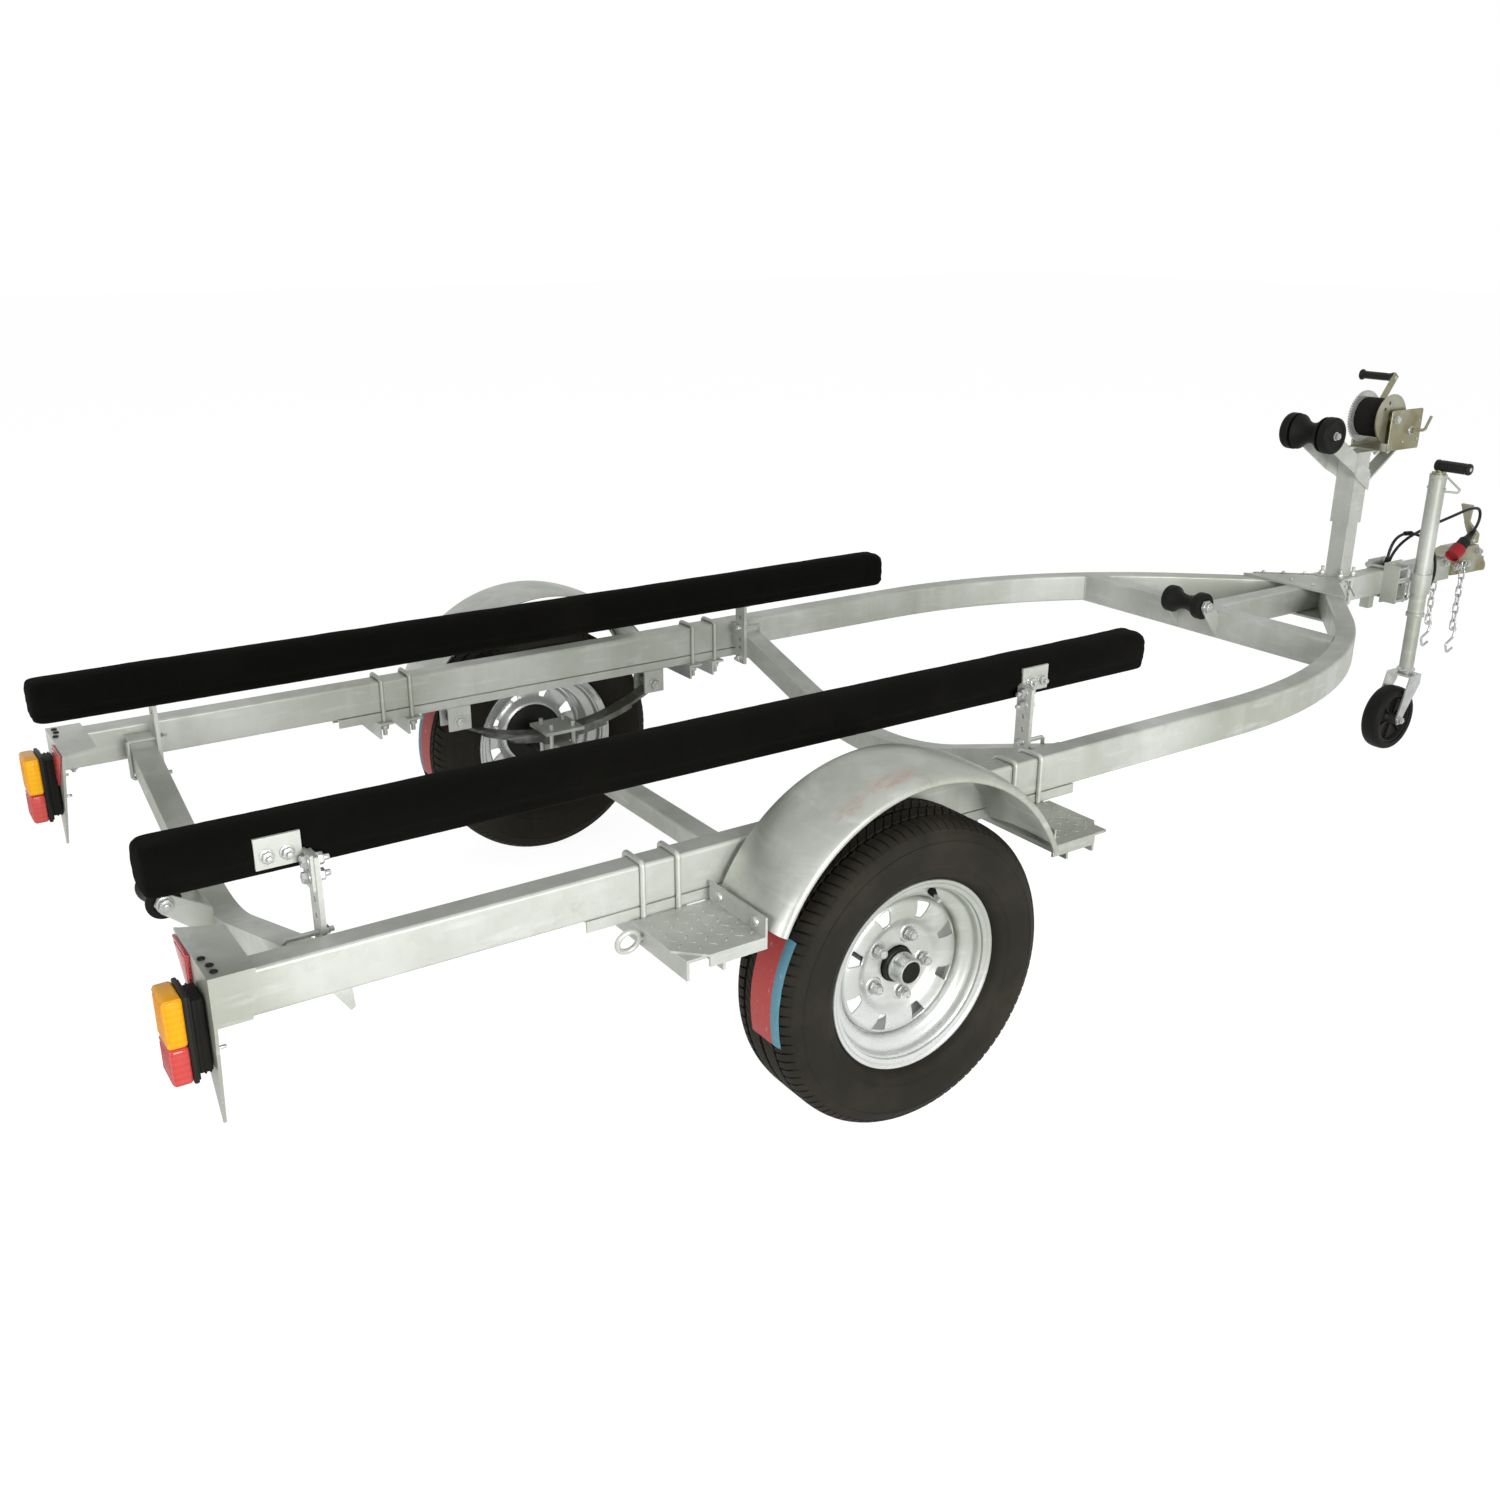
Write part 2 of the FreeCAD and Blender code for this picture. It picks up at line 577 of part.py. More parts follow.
# Rear lamps: rubber foot and back shell, amber over red lens, and a triangular reflector inboard.
feet, ambers, reds, reflectors = [], [], [], []
lamp_x = "rail_rear - plate_t"
for side, s in SIDES:
    foot = box("lamp_foot_" + side, "lamp_foot", "lamp_w - 18", "lamp_h - 40", lamp_x + " - lamp_foot",
               "%d * lamp_y - (lamp_w - 18) / 2" % s, "lamp_z - lamp_h / 2 + 12")
    back = box("lamp_back_" + side, "lamp_back", "lamp_w", "lamp_h", lamp_x + " - lamp_foot - lamp_back",
               "%d * lamp_y - lamp_w / 2" % s, "lamp_z - lamp_h / 2")
    feet.append(fuse("lamp_base_" + side, foot, back))
    lens_x = lamp_x + " - lamp_foot - lamp_back - lamp_lens"
    reds.append(box("red_" + side, "lamp_lens", "lamp_w - 4", "(lamp_h - 4) * (1 - lamp_split)", lens_x,
                    "%d * lamp_y - lamp_w / 2 + 2" % s, "lamp_z - lamp_h / 2 + 2"))
    ambers.append(box("amber_" + side, "lamp_lens", "lamp_w - 4", "(lamp_h - 4) * lamp_split", lens_x,
                      "%d * lamp_y - lamp_w / 2 + 2" % s, "lamp_z - lamp_h / 2 + 2 + (lamp_h - 4) * (1 - lamp_split)"))
    body = new_body("reflector_" + side)
    sketch = draw(body, "reflector_face_" + side, "YZ_Plane", [[
        ("%d * (lamp_plate_in + 10)" % s, "rail_top"), ("%d * (lamp_y - lamp_w / 2 - 4)" % s, "rail_top"),
        ("%d * (lamp_y - lamp_w / 2 - 4)" % s, "rail_top - 88")]], offset=lamp_x + " - 7")
    pad(body, "reflector_pad_" + side, sketch, "7")
    reflectors.append(body)
node("lamp_bases", *feet)
node("lamp_amber", *ambers)
node("lamp_red", *reds)
node("reflectors", *reflectors)

# Suspension: carrier channel with hangers under each rail, leaf springs, axle and U-bolts.
rail_mid = "(frame_half - rail_w / 2)"
SPRING_SETS = {}
for side, s in SIDES:
    parts = []
    body = new_body("carrier_" + side)
    sketch = draw(body, "carrier_section_" + side, "YZ_Plane", [[
        ("-rail_w / 2", "0"), ("rail_w / 2", "0"), ("rail_w / 2", "-carrier_h"), ("rail_w / 2 - 4", "-carrier_h"),
        ("rail_w / 2 - 4", "-4"), ("4 - rail_w / 2", "-4"), ("4 - rail_w / 2", "-carrier_h"),
        ("-rail_w / 2", "-carrier_h")]])
    pad(body, "carrier_pad_" + side, sketch, "2 * carrier_half", True)
    put(body, "axle_x", "%d * %s" % (s, rail_mid), "rail_top - rail_h")
    parts.append(body)
    for end, e in (("front", 1), ("rear", -1)):
        name = "hanger_%s_%s" % (end, side)
        body = new_body(name)
        low = "eye_z - eye_r - 6 - rail_top + rail_h"
        sketch = draw(body, name + "_u", "YZ_Plane", [[
            ("-leaf_w / 2 - 6", "-carrier_h"), ("leaf_w / 2 + 6", "-carrier_h"), ("leaf_w / 2 + 6", low),
            ("leaf_w / 2 + 1", low), ("leaf_w / 2 + 1", "-carrier_h - 5"), ("-leaf_w / 2 - 1", "-carrier_h - 5"),
            ("-leaf_w / 2 - 1", low), ("-leaf_w / 2 - 6", low)]])
        pad(body, name + "_pad", sketch, "hanger_w", True)
        put(body, "axle_x + %d * hanger_span" % e, "%d * %s" % (s, rail_mid), "rail_top - rail_h")
        pin = shaft(name + "_pin", "6.5", "axle_x + %d * hanger_span" % e, "%d * %s" % (s, rail_mid), "eye_z", "leaf_w + 30")
        parts.append(fuse(name + "_set", body, pin))
    SPRING_SETS[side] = parts


def leaf_band(r, thick, half, width):
    """One curved leaf: an arc band about a centre r above its lower face's lowest point."""
    a0 = -math.pi / 2 - half
    a1 = -math.pi / 2 + half
    def at(rad, ang):
        return V(rad * math.cos(ang), 0, r + rad * math.sin(ang))
    outer = Part.Arc(at(r, a0), at(r, -math.pi / 2), at(r, a1)).toShape()
    inner = Part.Arc(at(r - thick, a1), at(r - thick, -math.pi / 2), at(r - thick, a0)).toShape()
    ends = [Part.LineSegment(at(r, a1), at(r - thick, a1)).toShape(),
            Part.LineSegment(at(r - thick, a0), at(r, a0)).toShape()]
    face = Part.Face(Part.Wire([outer, ends[0], inner, ends[1]]))
    return face.extrude(V(0, width, 0)).translate(V(0, -width / 2, 0))


d = size
spring_low = d["tyre_r"] + d["axle_s"] / 2 + 6
leaf_t = d["leaf_t"]
main_low = spring_low + 2 * leaf_t
eye_drop = d["eye_z"] - d["eye_r"] + leaf_t / 2 - (main_low + leaf_t / 2)
main_r = (d["hanger_span"] ** 2 + eye_drop ** 2) / (2 * eye_drop) + leaf_t / 2
main_half = math.asin(d["hanger_span"] / main_r)
for side, s in SIDES:
    shapes = []
    for level, share in ((2, 1.0), (1, 0.74), (0, 0.46)):
        band = leaf_band(main_r + (2 - level) * leaf_t, leaf_t, main_half * share, d["leaf_w"])
        band.translate(V(0, 0, spring_low + level * leaf_t))
        shapes.append(band)
    for e in (1, -1):
        ring = Part.makeCylinder(d["eye_r"], d["leaf_w"], V(e * d["hanger_span"], -d["leaf_w"] / 2, d["eye_z"]), V(0, 1, 0))
        shapes.append(ring)
    spring = shapes[0].multiFuse(shapes[1:])
    for e in (1, -1):
        bore = Part.makeCylinder(6.55, d["leaf_w"], V(e * d["hanger_span"], -d["leaf_w"] / 2, d["eye_z"]), V(0, 1, 0))
        spring = spring.cut(bore)
    block = Part.makeBox(d["spring_pad"], d["leaf_w"], d["spring_pad_t"],
                         V(-d["spring_pad"] / 2, -d["leaf_w"] / 2, d["tyre_r"] + d["axle_s"] / 2))
    spring = spring.fuse(block)
    place = FreeCAD.Placement(V(d["axle_x"], s * (d["frame_half"] - d["rail_w"] / 2), 0), FreeCAD.Rotation())
    node("leaf_spring_" + side, raw("spring_" + side, spring, place))
clamp_r = d["ubolt_r"]
inner_r = main_r - leaf_t
top_z = spring_low + 3 * leaf_t + inner_r - math.sqrt(inner_r ** 2 - (d["clamp_x"] / 2) ** 2) + d["seat_gap"]
for side, s in SIDES:
    mid = s * (d["frame_half"] - d["rail_w"] / 2)
    place = FreeCAD.Placement(V(d["axle_x"], mid, 0), FreeCAD.Rotation())
    plate = Part.makeBox(d["clamp_x"], d["clamp_y"], d["clamp_t"], V(-d["clamp_x"] / 2, -d["clamp_y"] / 2, top_z))
    reach_y = d["leaf_w"] / 2 + clamp_r + 1
    reach_x = d["axle_s"] / 2 + clamp_r
    low = d["tyre_r"] - d["axle_s"] / 2 - clamp_r
    for y in (-reach_y, reach_y):
        for x in (-reach_x, reach_x):
            plate = plate.cut(Part.makeCylinder(clamp_r + 0.6, d["clamp_t"], V(x, y, top_z)))
        rod = bent_rod([V(-reach_x, y, top_z + 22), V(-reach_x, y, low), V(reach_x, y, low), V(reach_x, y, top_z + 22)],
                       clamp_r, clamp_r * 0.8)
        SPRING_SETS[side].append(raw("axle_bolt_%s_%d" % (side, y), rod, place))
    SPRING_SETS[side].append(raw("axle_plate_" + side, plate, place))
for side, s in SIDES:
    node("spring_set_" + side, *SPRING_SETS[side])

beam = eased(box("axle_beam", "axle_s", "2 * axle_half", "axle_s", "axle_x - axle_s / 2", "-axle_half",
                 "tyre_r - axle_s / 2"), num("rail_corner"))
stubs = shaft("axle_stubs", "spindle_r", "axle_x", "0", "tyre_r", "2 * (track_half + 10)")
node("axle", fuse("axle_weldment", beam, stubs))

# U-bolts over the rails with the step brackets they carry.
rods = []
for side, s in SIDES:
    for end, e in (("front", 1), ("rear", -1)):
        for key in ("ubolt_in", "ubolt_out"):
            x = d["axle_x"] + e * d[key]
            r = d["ubolt_r"]
            y_out = s * (d["frame_half"] + r)
            y_in = s * (d["frame_half"] - d["rail_w"] - r)
            low = d["rail_top"] - d["rail_h"] - d["carrier_h"] - 22
            top = d["rail_top"] + r
            rods.append(raw("rail_bolt_%s_%s_%s" % (side, end, key),
                            bent_rod([V(x, y_out, low), V(x, y_out, top), V(x, y_in, top), V(x, y_in, low)], r, r * 0.8)))

STEP_IN = "(guard_r * sin(guard_half_deg) + seat_gap)"
for side, s in SIDES:
    steps = []
    for end, e in (("front", 1), ("rear", -1)):
        name = "step_%s_%s" % (end, side)
        base = "(rail_top - rail_h - carrier_h)"
        body = new_body(name)
        inner = "%d * (frame_half + 2 * ubolt_r + 1)" % s
        outer = "%d * step_out" % s
        sketch = draw(body, name + "_plan", "XY_Plane", [[
            ("%d * %s" % (e, STEP_IN), inner), ("%d * step_out_x" % e, inner),
            ("%d * step_out_x" % e, "%d * (step_out - step_chamfer)" % s),
            ("%d * (step_out_x - step_chamfer)" % e, outer), ("%d * %s" % (e, STEP_IN), outer)]], offset=base)
        pad(body, name + "_pad", sketch, "step_t")
        sketch = draw(body, name + "_lip", "XZ_Plane", [[
            ("%d * %s" % (e, STEP_IN), base + " + step_t"), ("%d * (step_out_x - step_chamfer)" % e, base + " + step_t"),
            ("%d * (step_out_x - step_chamfer)" % e, base + " + step_t - step_lip"),
            ("%d * %s" % (e, STEP_IN), base + " + step_t - step_lip")]],
            offset="-step_out" if s > 0 else "step_out - step_t")
        pad(body, name + "_lip_pad", sketch, "step_t")
        sketch = draw(body, name + "_tab", "YZ_Plane", [[
            (inner, base + " + step_t"), (outer, base + " + step_t"), (outer, base + " + step_t + 34"),
            (inner, base + " + step_t + 34")]], offset=STEP_IN if e > 0 else "-%s - step_t" % STEP_IN)
        pad(body, name + "_tab_pad", sketch, "step_t")
        put(body, "axle_x")
        bars = []
        for key in ("ubolt_in", "ubolt_out"):
            bar = new_body("%s_%s" % (name, key))
            sketch = draw(bar, "%s_%s_l" % (name, key), "XZ_Plane", [[
                ("-18", "0"), ("18", "0"), ("18", "-5"), ("-13", "-5"), ("-13", "-36"), ("-18", "-36")]],
                offset="-(step_out - 8)" if s > 0 else "frame_half - rail_w - 4 * ubolt_r")
            pad(bar, "%s_%s_pad" % (name, key), sketch, "step_out - 8 - (frame_half - rail_w - 4 * ubolt_r)")
            put(bar, "axle_x + %d * %s" % (e, key), "0", base)
            holes = [hole("%s_%s_hole%d" % (name, key, i), "ubolt_r + 0.6", "5", "axle_x + %d * %s" % (e, key), y, base + " - 5")
                     for i, y in enumerate(("%d * (frame_half + ubolt_r)" % s, "%d * (frame_half - rail_w - ubolt_r)" % s))]
            bars.append(cut("%s_%s_bar" % (name, key), bar, *holes))
        steps += [body] + bars
    node("steps_" + side, *steps)

# Mudguards: crowned sheet over each tyre with a rolled outer lip.
for side, s in SIDES:
    body = new_body("mudguard_" + side)
    mid = "(guard_in + guard_out) / 2"
    outer = [("guard_r - 9", "guard_in"), ("guard_r", "guard_in + 0.32 * guard_w"), ("guard_r", "guard_out - 0.34 * guard_w"),
             ("guard_r - 7", "guard_out - 8"), ("guard_r - 7 - guard_lip", "guard_out")]
    inner = [("guard_r - 7 - guard_lip", "guard_out - guard_t"), ("guard_r - 7 - guard_t", "guard_out - 8 - guard_t"),
             ("guard_r - guard_t", "guard_out - 0.34 * guard_w"), ("guard_r - guard_t", "guard_in + 0.32 * guard_w"),
             ("guard_r - 9 - guard_t", "guard_in")]
    sketch = draw(body, "mudguard_section_" + side, "XY_Plane",
                  [[(x, "%d * (%s)" % (s, y)) for x, y in outer + inner]])
    feature = spin(body, "mudguard_roll_" + side, sketch)
    feature.setExpression("Angle", linked("2 * guard_half_deg"))
    put(body, "axle_x", "0", "guard_z", V(0, -1, 0), "90 + guard_half_deg")
    node("mudguard_" + side, body)

# Wheels, each built about its own centre with the outboard face towards -Y.
for side, s in SIDES:
    turn = "180" if s > 0 else "0"
    seat = ("axle_x", "%d * track_half" % s, "tyre_r")
    half = [("seat_r + seat_gap", "rim_w / 2 - 8 - seat_gap"), ("rim_r + seat_gap", "rim_w / 2 - rim_t - 2 * seat_gap"),
            ("rim_r + 30", "tyre_w / 2 - 5"), ("rim_r + 62", "tyre_w / 2"), ("tyre_r - 13", "tread_w / 2"),
            ("tyre_r", "tread_w / 2 - 34")]
    loop = [(r, "-(%s)" % y) for r, y in half] + [(r, y) for r, y in reversed(half)]
    node("tyre_" + side, pitched_ring("tyre_" + side, 62, loop, *seat))

    body = new_body("rim_" + side)
    w = "rim_w / 2"
    outer = [("rim_r", w), ("rim_r", w + " - rim_t"), ("seat_r", w + " - 8"), ("seat_r - 3", w + " - 30"),
             ("seat_r - 26", w + " - 42"), ("seat_r - 26", "-%s + 42" % w), ("seat_r - 3", "-%s + 30" % w),
             ("seat_r", "-%s + 8" % w), ("rim_r", "-%s + rim_t" % w), ("rim_r", "-" + w)]
    inner = [("seat_r - rim_t - 2", "-" + w), ("seat_r - rim_t - 3", "-%s + 28" % w), ("seat_r - rim_t - 26", "-%s + 41" % w),
             ("seat_r - rim_t - 26", "%s - 41" % w), ("seat_r - rim_t - 3", "%s - 28" % w), ("seat_r - rim_t - 2", w)]
    spin(body, "rim_barrel_" + side, draw(body, "rim_section_" + side, "XY_Plane", [outer + inner]))
    face = "-disc_out"
    disc = [("centre_bore", face), ("pcd_r + 18", face), ("pcd_r + 30", face + " - 14"), ("pcd_r + 48", face + " - 16"),
            ("seat_r - rim_t - 26", face + " + 2"), ("seat_r - rim_t - 26", face + " + 2 + disc_t"),
            ("pcd_r + 48", face + " - 16 + disc_t"), ("pcd_r + 32", face + " - 14 + disc_t"),
            ("pcd_r + 20", face + " + disc_t"), ("centre_bore", face + " + disc_t")]
    spin(body, "rim_disc_" + side, draw(body, "disc_section_" + side, "XY_Plane", [disc]))
    sketch = draw(body, "slot_face_" + side, "XZ_Plane", [[
        ("-13", "pcd_r + 38"), ("13", "pcd_r + 38"), ("23", "seat_r - rim_t - 34"), ("-23", "seat_r - rim_t - 34")]],
        offset="60")
    slot = pocket(body, "slot_" + side, sketch, "60")
    pattern = body.newObject("PartDesign::PolarPattern", "slots_" + side)
    pattern.Originals = [slot]
    pattern.Axis = (sketch, ["N_Axis"])
    pattern.Angle = 360
    pattern.Occurrences = 8
    body.Tip = pattern
    put(body, *seat, axis=V(0, 0, 1), angle=turn)
    node("rim_" + side, body)

    body = new_body("hub_" + side)
    face_in = "-disc_out + disc_t"
    barrel_in = "track_half - axle_half - 8"
    hub = [("spindle_r + spindle_gap", barrel_in), ("hub_r", barrel_in), ("hub_r", face_in + " + hub_flange_t"),
           ("hub_flange_r", face_in + " + hub_flange_t"), ("hub_flange_r", face_in), ("centre_bore - 1", face_in),
           ("centre_bore - 1", "-disc_out - 10"), ("cap_r", "-disc_out - 10"), ("cap_r - 3", "-disc_out - 40"),
           ("0", "-disc_out - 44"), ("0", "-14"), ("spindle_r + spindle_gap", "-14")]
    spin(body, "hub_round_" + side, draw(body, "hub_section_" + side, "XY_Plane", [hub]))
    put(body, *seat, axis=V(0, 0, 1), angle=turn)
    nuts = []
    for i in range(5):
        a = math.radians(67 + 72 * i)
        nut = doc.addObject("Part::Prism", "nut_%s_%d" % (side, i))
        nut.Polygon = 6
        nut.Circumradius = 11
        nut.Height = 20
        nut.Placement = FreeCAD.Placement(V(0, 0, 0), FreeCAD.Rotation(V(1, 0, 0), 90))
        nut.setExpression("Placement.Base.x", linked("axle_x + pcd_r * cos(%g)" % math.degrees(a)))
        y0 = "-track_half - disc_out" if s < 0 else "track_half + disc_out + 20"
        nut.setExpression("Placement.Base.y", linked(y0))
        nut.setExpression("Placement.Base.z", linked("tyre_r + pcd_r * sin(%g)" % math.degrees(a)))
        nuts.append(nut)
    node("hub_" + side, body, *nuts)

# Bunks and the perforated bars that hold them to the bowed crossmembers.
for side, s in SIDES:
    body = new_body("bunk_" + side)
    w, h, c = "bunk_w / 2", "bunk_h", "bunk_chamfer"
    sketch = draw(body, "bunk_section_" + side, "YZ_Plane", [[
        ("-%s + %s" % (w, c), "0"), ("%s - %s" % (w, c), "0"), (w, c), (w, "%s - %s" % (h, c)),
        ("%s - %s" % (w, c), h), ("-%s + %s" % (w, c), h), ("-" + w, "%s - %s" % (h, c)), ("-" + w, c)]])
    pad(body, "bunk_pad_" + side, sketch, "bunk_front - bunk_rear")
    put(body, "bunk_rear", "%d * bunk_y" % s, "bunk_z")
    node("bunk_" + side, body)

pieces = []
for side, s in SIDES:
    for end, x_face, e, dip in (("rear", "xm_rear_x + xm_w", -1, "xm_rear_dip"), ("middle", "xm_mid_x", 1, "xm_mid_dip")):
        name = "bunk_post_%s_%s" % (end, side)
        side_y = "(bunk_y + bunk_w / 2)"
        mid_y = "(bunk_y + bunk_w / 2 + plate_t + post_w / 2)"
        bar_x = x_face if e < 0 else x_face + " - post_t"
        y0 = "%s + plate_t" % side_y if s > 0 else "-(%s + plate_t + post_w)" % side_y
        bar = box(name, "post_t", "post_w", "bunk_z + 34 - %s - %s * tan(xm_slope) + 80" % (dip, mid_y), bar_x, y0,
                  "%s + %s * tan(xm_slope) - 80" % (dip, mid_y))
        leg_x = "%s - plate_t" % bar_x if e < 0 else "%s + post_t" % bar_x
        leg_y = side_y if s > 0 else "-(%s + plate_t + post_w - 4)" % side_y
        leg = box(name + "_leg", "plate_t", "plate_t + post_w - 4", "58", leg_x, leg_y, "bunk_z - 22")
        wing_x = "%s - 70" % leg_x if e < 0 else "%s + plate_t" % leg_x
        wing_y = side_y if s > 0 else "-(%s + plate_t)" % side_y
        wing = box(name + "_wing", "70", "plate_t", "50", wing_x, wing_y, "bunk_z + bunk_chamfer")
        angle = fuse(name + "_angle", leg, wing)
        x0 = num(x_face)
        far = num(x_face) + e * (d["xm_w"] + 4)
        near = x0 - e * 24
        zc = num("%s + %s * tan(xm_slope)" % (dip, mid_y))
        yc = s * num(mid_y)
        drop = d["xm_h"] / math.cos(math.radians(d["xm_slope"]))
        hi, lo = zc + 14, zc - drop - 14
        rod = raw(name + "_bolt", bent_rod([V(near, yc, hi), V(far, yc, hi), V(far, yc, lo), V(near, yc, lo)], 4, 4))
        levels = ["%s + %s * tan(xm_slope) + %d" % (dip, mid_y, up) for up in (14, 42, 70, -16, -38)]
        levels.append("%s + %s * tan(xm_slope) - xm_h / cos(xm_slope) - 14" % (dip, mid_y))
        holes = [hole("%s_hole%d" % (name, i), "4.6", "post_t", bar_x, "%d * %s" % (s, mid_y), z, V(0, 1, 0), "90")
                 for i, z in enumerate(levels)]
        pieces += [cut(name + "_bar", bar, *holes), angle, rod]
node("bunk_brackets", *pieces)

# Corners of the cable route, from the gland on the drawbar to the run into the plug.
CABLE = ((1605, 0, 556), (1606, 0, 630), (1682, -4, 660), (1758, -36, 628), (1800, -46, 556), (1800, -44, 478),
         (1746, -14, 436), (1694, 38, 466), (1680, 46, 544), (1706, 28, 616), (1774, -14, 664), (1850, -42, 692),
         (1922, -54, 712), (1984, -55, 706))


# Keel rollers on their brackets.
def roller(label, x_text, z_text, half, radius, waist):
    """A rubber roller that turns on its bracket pin, narrower at the middle by the waist share."""
    body = new_body(label)
    r, h = radius, half
    loop = [("roller_pin_r + spindle_gap", "-" + h), (r + " - 5", "-" + h), (r, "5 - " + h), (r, "-0.55 * " + h),
            ("%s * %g" % (r, waist), "0"), (r, "0.55 * " + h), (r, h + " - 5"), (r + " - 5", h),
            ("roller_pin_r + spindle_gap", h)]
    spin(body, label + "_round", draw(body, label + "_section", "XY_Plane", [loop]))
    put(body, x_text, "0", z_text)
    return node(label, body)


roller("keel_roller_rear", "keel_x", "keel_z", "keel_half", "keel_r", 0.86)
roller("keel_roller_front", "nose_roller_x", "nose_roller_z", "nose_roller_half", "nose_roller_r", 0.62)

brackets = []
for name, ax, az, half, back in (
        ("keel_bracket_rear", "keel_x", "keel_z", "keel_half", "xm_rear_x"),
        ("keel_bracket_front", "nose_roller_x", "nose_roller_z", "nose_roller_half", "xm_front_x")):
    parts = []
    low = az + " - ear_drop"
    high = az + " - ear_drop + ear_h"
    for side, s in SIDES:
        body = new_body("%s_ear_%s" % (name, side))
        y0 = "(%s + side_gap)" % half
        sketch = draw(body, "%s_ear_%s_face" % (name, side), "XZ_Plane", [[
            (back, low), (back, high), (ax + " + 9", az + " + 16"), (ax + " - 9", az + " + 16"), (ax + " - 18", az),
            (ax + " - 9", az + " - 16")]], offset="-%s - plate_t" % y0 if s > 0 else y0)
        pad(body, "%s_ear_%s_pad" % (name, side), sketch, "plate_t")
        parts.append(body)
    parts.append(box(name + "_back", "plate_t", "2 * (%s + side_gap)" % half, "ear_h",
                     back + " - plate_t", "-(%s + side_gap)" % half, low))
    parts.append(shaft(name + "_pin", "roller_pin_r", ax, "0", az, "2 * (%s + side_gap + plate_t + 7)" % half))
    brackets.append(fuse(name + "_set", *parts))
node("keel_brackets", *brackets)

# Winch post: base plate bolted round the drawbar, inner mast and sliding sleeve.
base = box("post_base", "base_x", "base_y", "base_t", "post_x - base_x / 2", "-base_y / 2", "rail_top")
holes = []
for i, e in enumerate((1, -1)):
    x_text = "post_x + %d * (base_x / 2 - 26)" % e
    for s in (1, -1):
        holes.append(hole("base_hole_%d_%d" % (i, s), "ubolt_r + 0.6", "base_t", x_text,
                          "%d * (bar_w / 2 + ubolt_r + 1)" % s, "rail_top"))
    x, y, r = num(x_text), d["bar_w"] / 2 + d["ubolt_r"] + 1, d["ubolt_r"]
    top, low = d["rail_top"] + d["base_t"] + 15, d["rail_top"] - d["rail_h"] - r
    rods.append(raw("post_ubolt_%d" % i, bent_rod([V(x, y, top), V(x, y, low), V(x, -y, low), V(x, -y, top)], r, r * 0.8)))
mast = box("post_mast", "mast_s", "mast_s", "mast_top - rail_top - base_t", "post_x - mast_s / 2", "-mast_s / 2", "rail_top + base_t")
node("winch_mast", fuse("mast_weldment", cut("post_base_drilled", base, *holes), mast))
node("ubolts", *rods)

sleeve = cut("sleeve_tube", box("sleeve_outer", "sleeve_s", "sleeve_s", "sleeve_high - sleeve_low", "post_x - sleeve_s / 2",
                                "-sleeve_s / 2", "sleeve_low"),
             box("sleeve_bore", "mast_s + 2 * sleeve_gap", "mast_s + 2 * sleeve_gap", "sleeve_high - sleeve_low",
                 "post_x - mast_s / 2 - sleeve_gap", "-mast_s / 2 - sleeve_gap", "sleeve_low"))
sleeve_front = "post_x + sleeve_s / 2"
arms = []
for side, s in SIDES:
    plan = new_body("arm_plan_" + side)
    line = [(sleeve_front, "sleeve_s / 2"), ("post_x - sleeve_s / 2 - 4", "sleeve_s / 2"), ("post_x - sleeve_s / 2 - 34", "arm_y"),
            ("bow_x - arm_w / 2", "arm_y"), ("bow_x - arm_w / 2", "arm_y + arm_t"),
            ("post_x - sleeve_s / 2 - 33", "arm_y + arm_t"), ("post_x - sleeve_s / 2 - 3", "sleeve_s / 2 + arm_t"),
            (sleeve_front, "sleeve_s / 2 + arm_t")]
    sketch = draw(plan, "arm_plan_lines_" + side, "XY_Plane", [[(x, "%d * (%s)" % (s, y)) for x, y in line]], offset="sleeve_low")
    pad(plan, "arm_plan_pad_" + side, sketch, "bow_z + arm_w - sleeve_low")
    face = new_body("arm_face_" + side)
    run = "(%s - bow_x)" % sleeve_front
    sketch = draw(face, "arm_face_lines_" + side, "XZ_Plane", [[
        (sleeve_front, "bow_z - %s * tan(arm_deg) - arm_w / 2 / cos(arm_deg)" % run),
        (sleeve_front, "bow_z - %s * tan(arm_deg) + arm_w / 2 / cos(arm_deg)" % run),
        ("bow_x + arm_w / 2 * sin(arm_deg)", "bow_z + arm_w / 2 * cos(arm_deg)", "bow_x", "bow_z", 1),
        ("bow_x - arm_w / 2 * sin(arm_deg)", "bow_z - arm_w / 2 * cos(arm_deg)")]])
    pad(face, "arm_face_pad_" + side, sketch, "4 * arm_y", True)
    both = doc.addObject("Part::Common", "arm_" + side)
    both.Base = plan
    both.Tool = face
    arms.append(both)
pin = shaft("bow_bolt", "bow_bolt_r", "bow_x", "0", "bow_z", "2 * (arm_y + arm_t + side_gap + bell_w + 10)")

plate = box("winch_plate", "226", "sleeve_s", "winch_plate_t", "post_x - sleeve_s / 2", "-sleeve_s / 2", "sleeve_high")
brace = new_body("winch_brace")
sketch = draw(brace, "winch_brace_lines", "XZ_Plane", [[
    (sleeve_front, "sleeve_high - 104"), ("winch_x + 95", "sleeve_high"), ("winch_x + 86", "sleeve_high"),
    (sleeve_front, "sleeve_high - 96")]])
pad(brace, "winch_brace_pad", sketch, "40", True)
node("winch_sleeve", fuse("sleeve_weldment", sleeve, plate, brace, *(arms + [pin])))

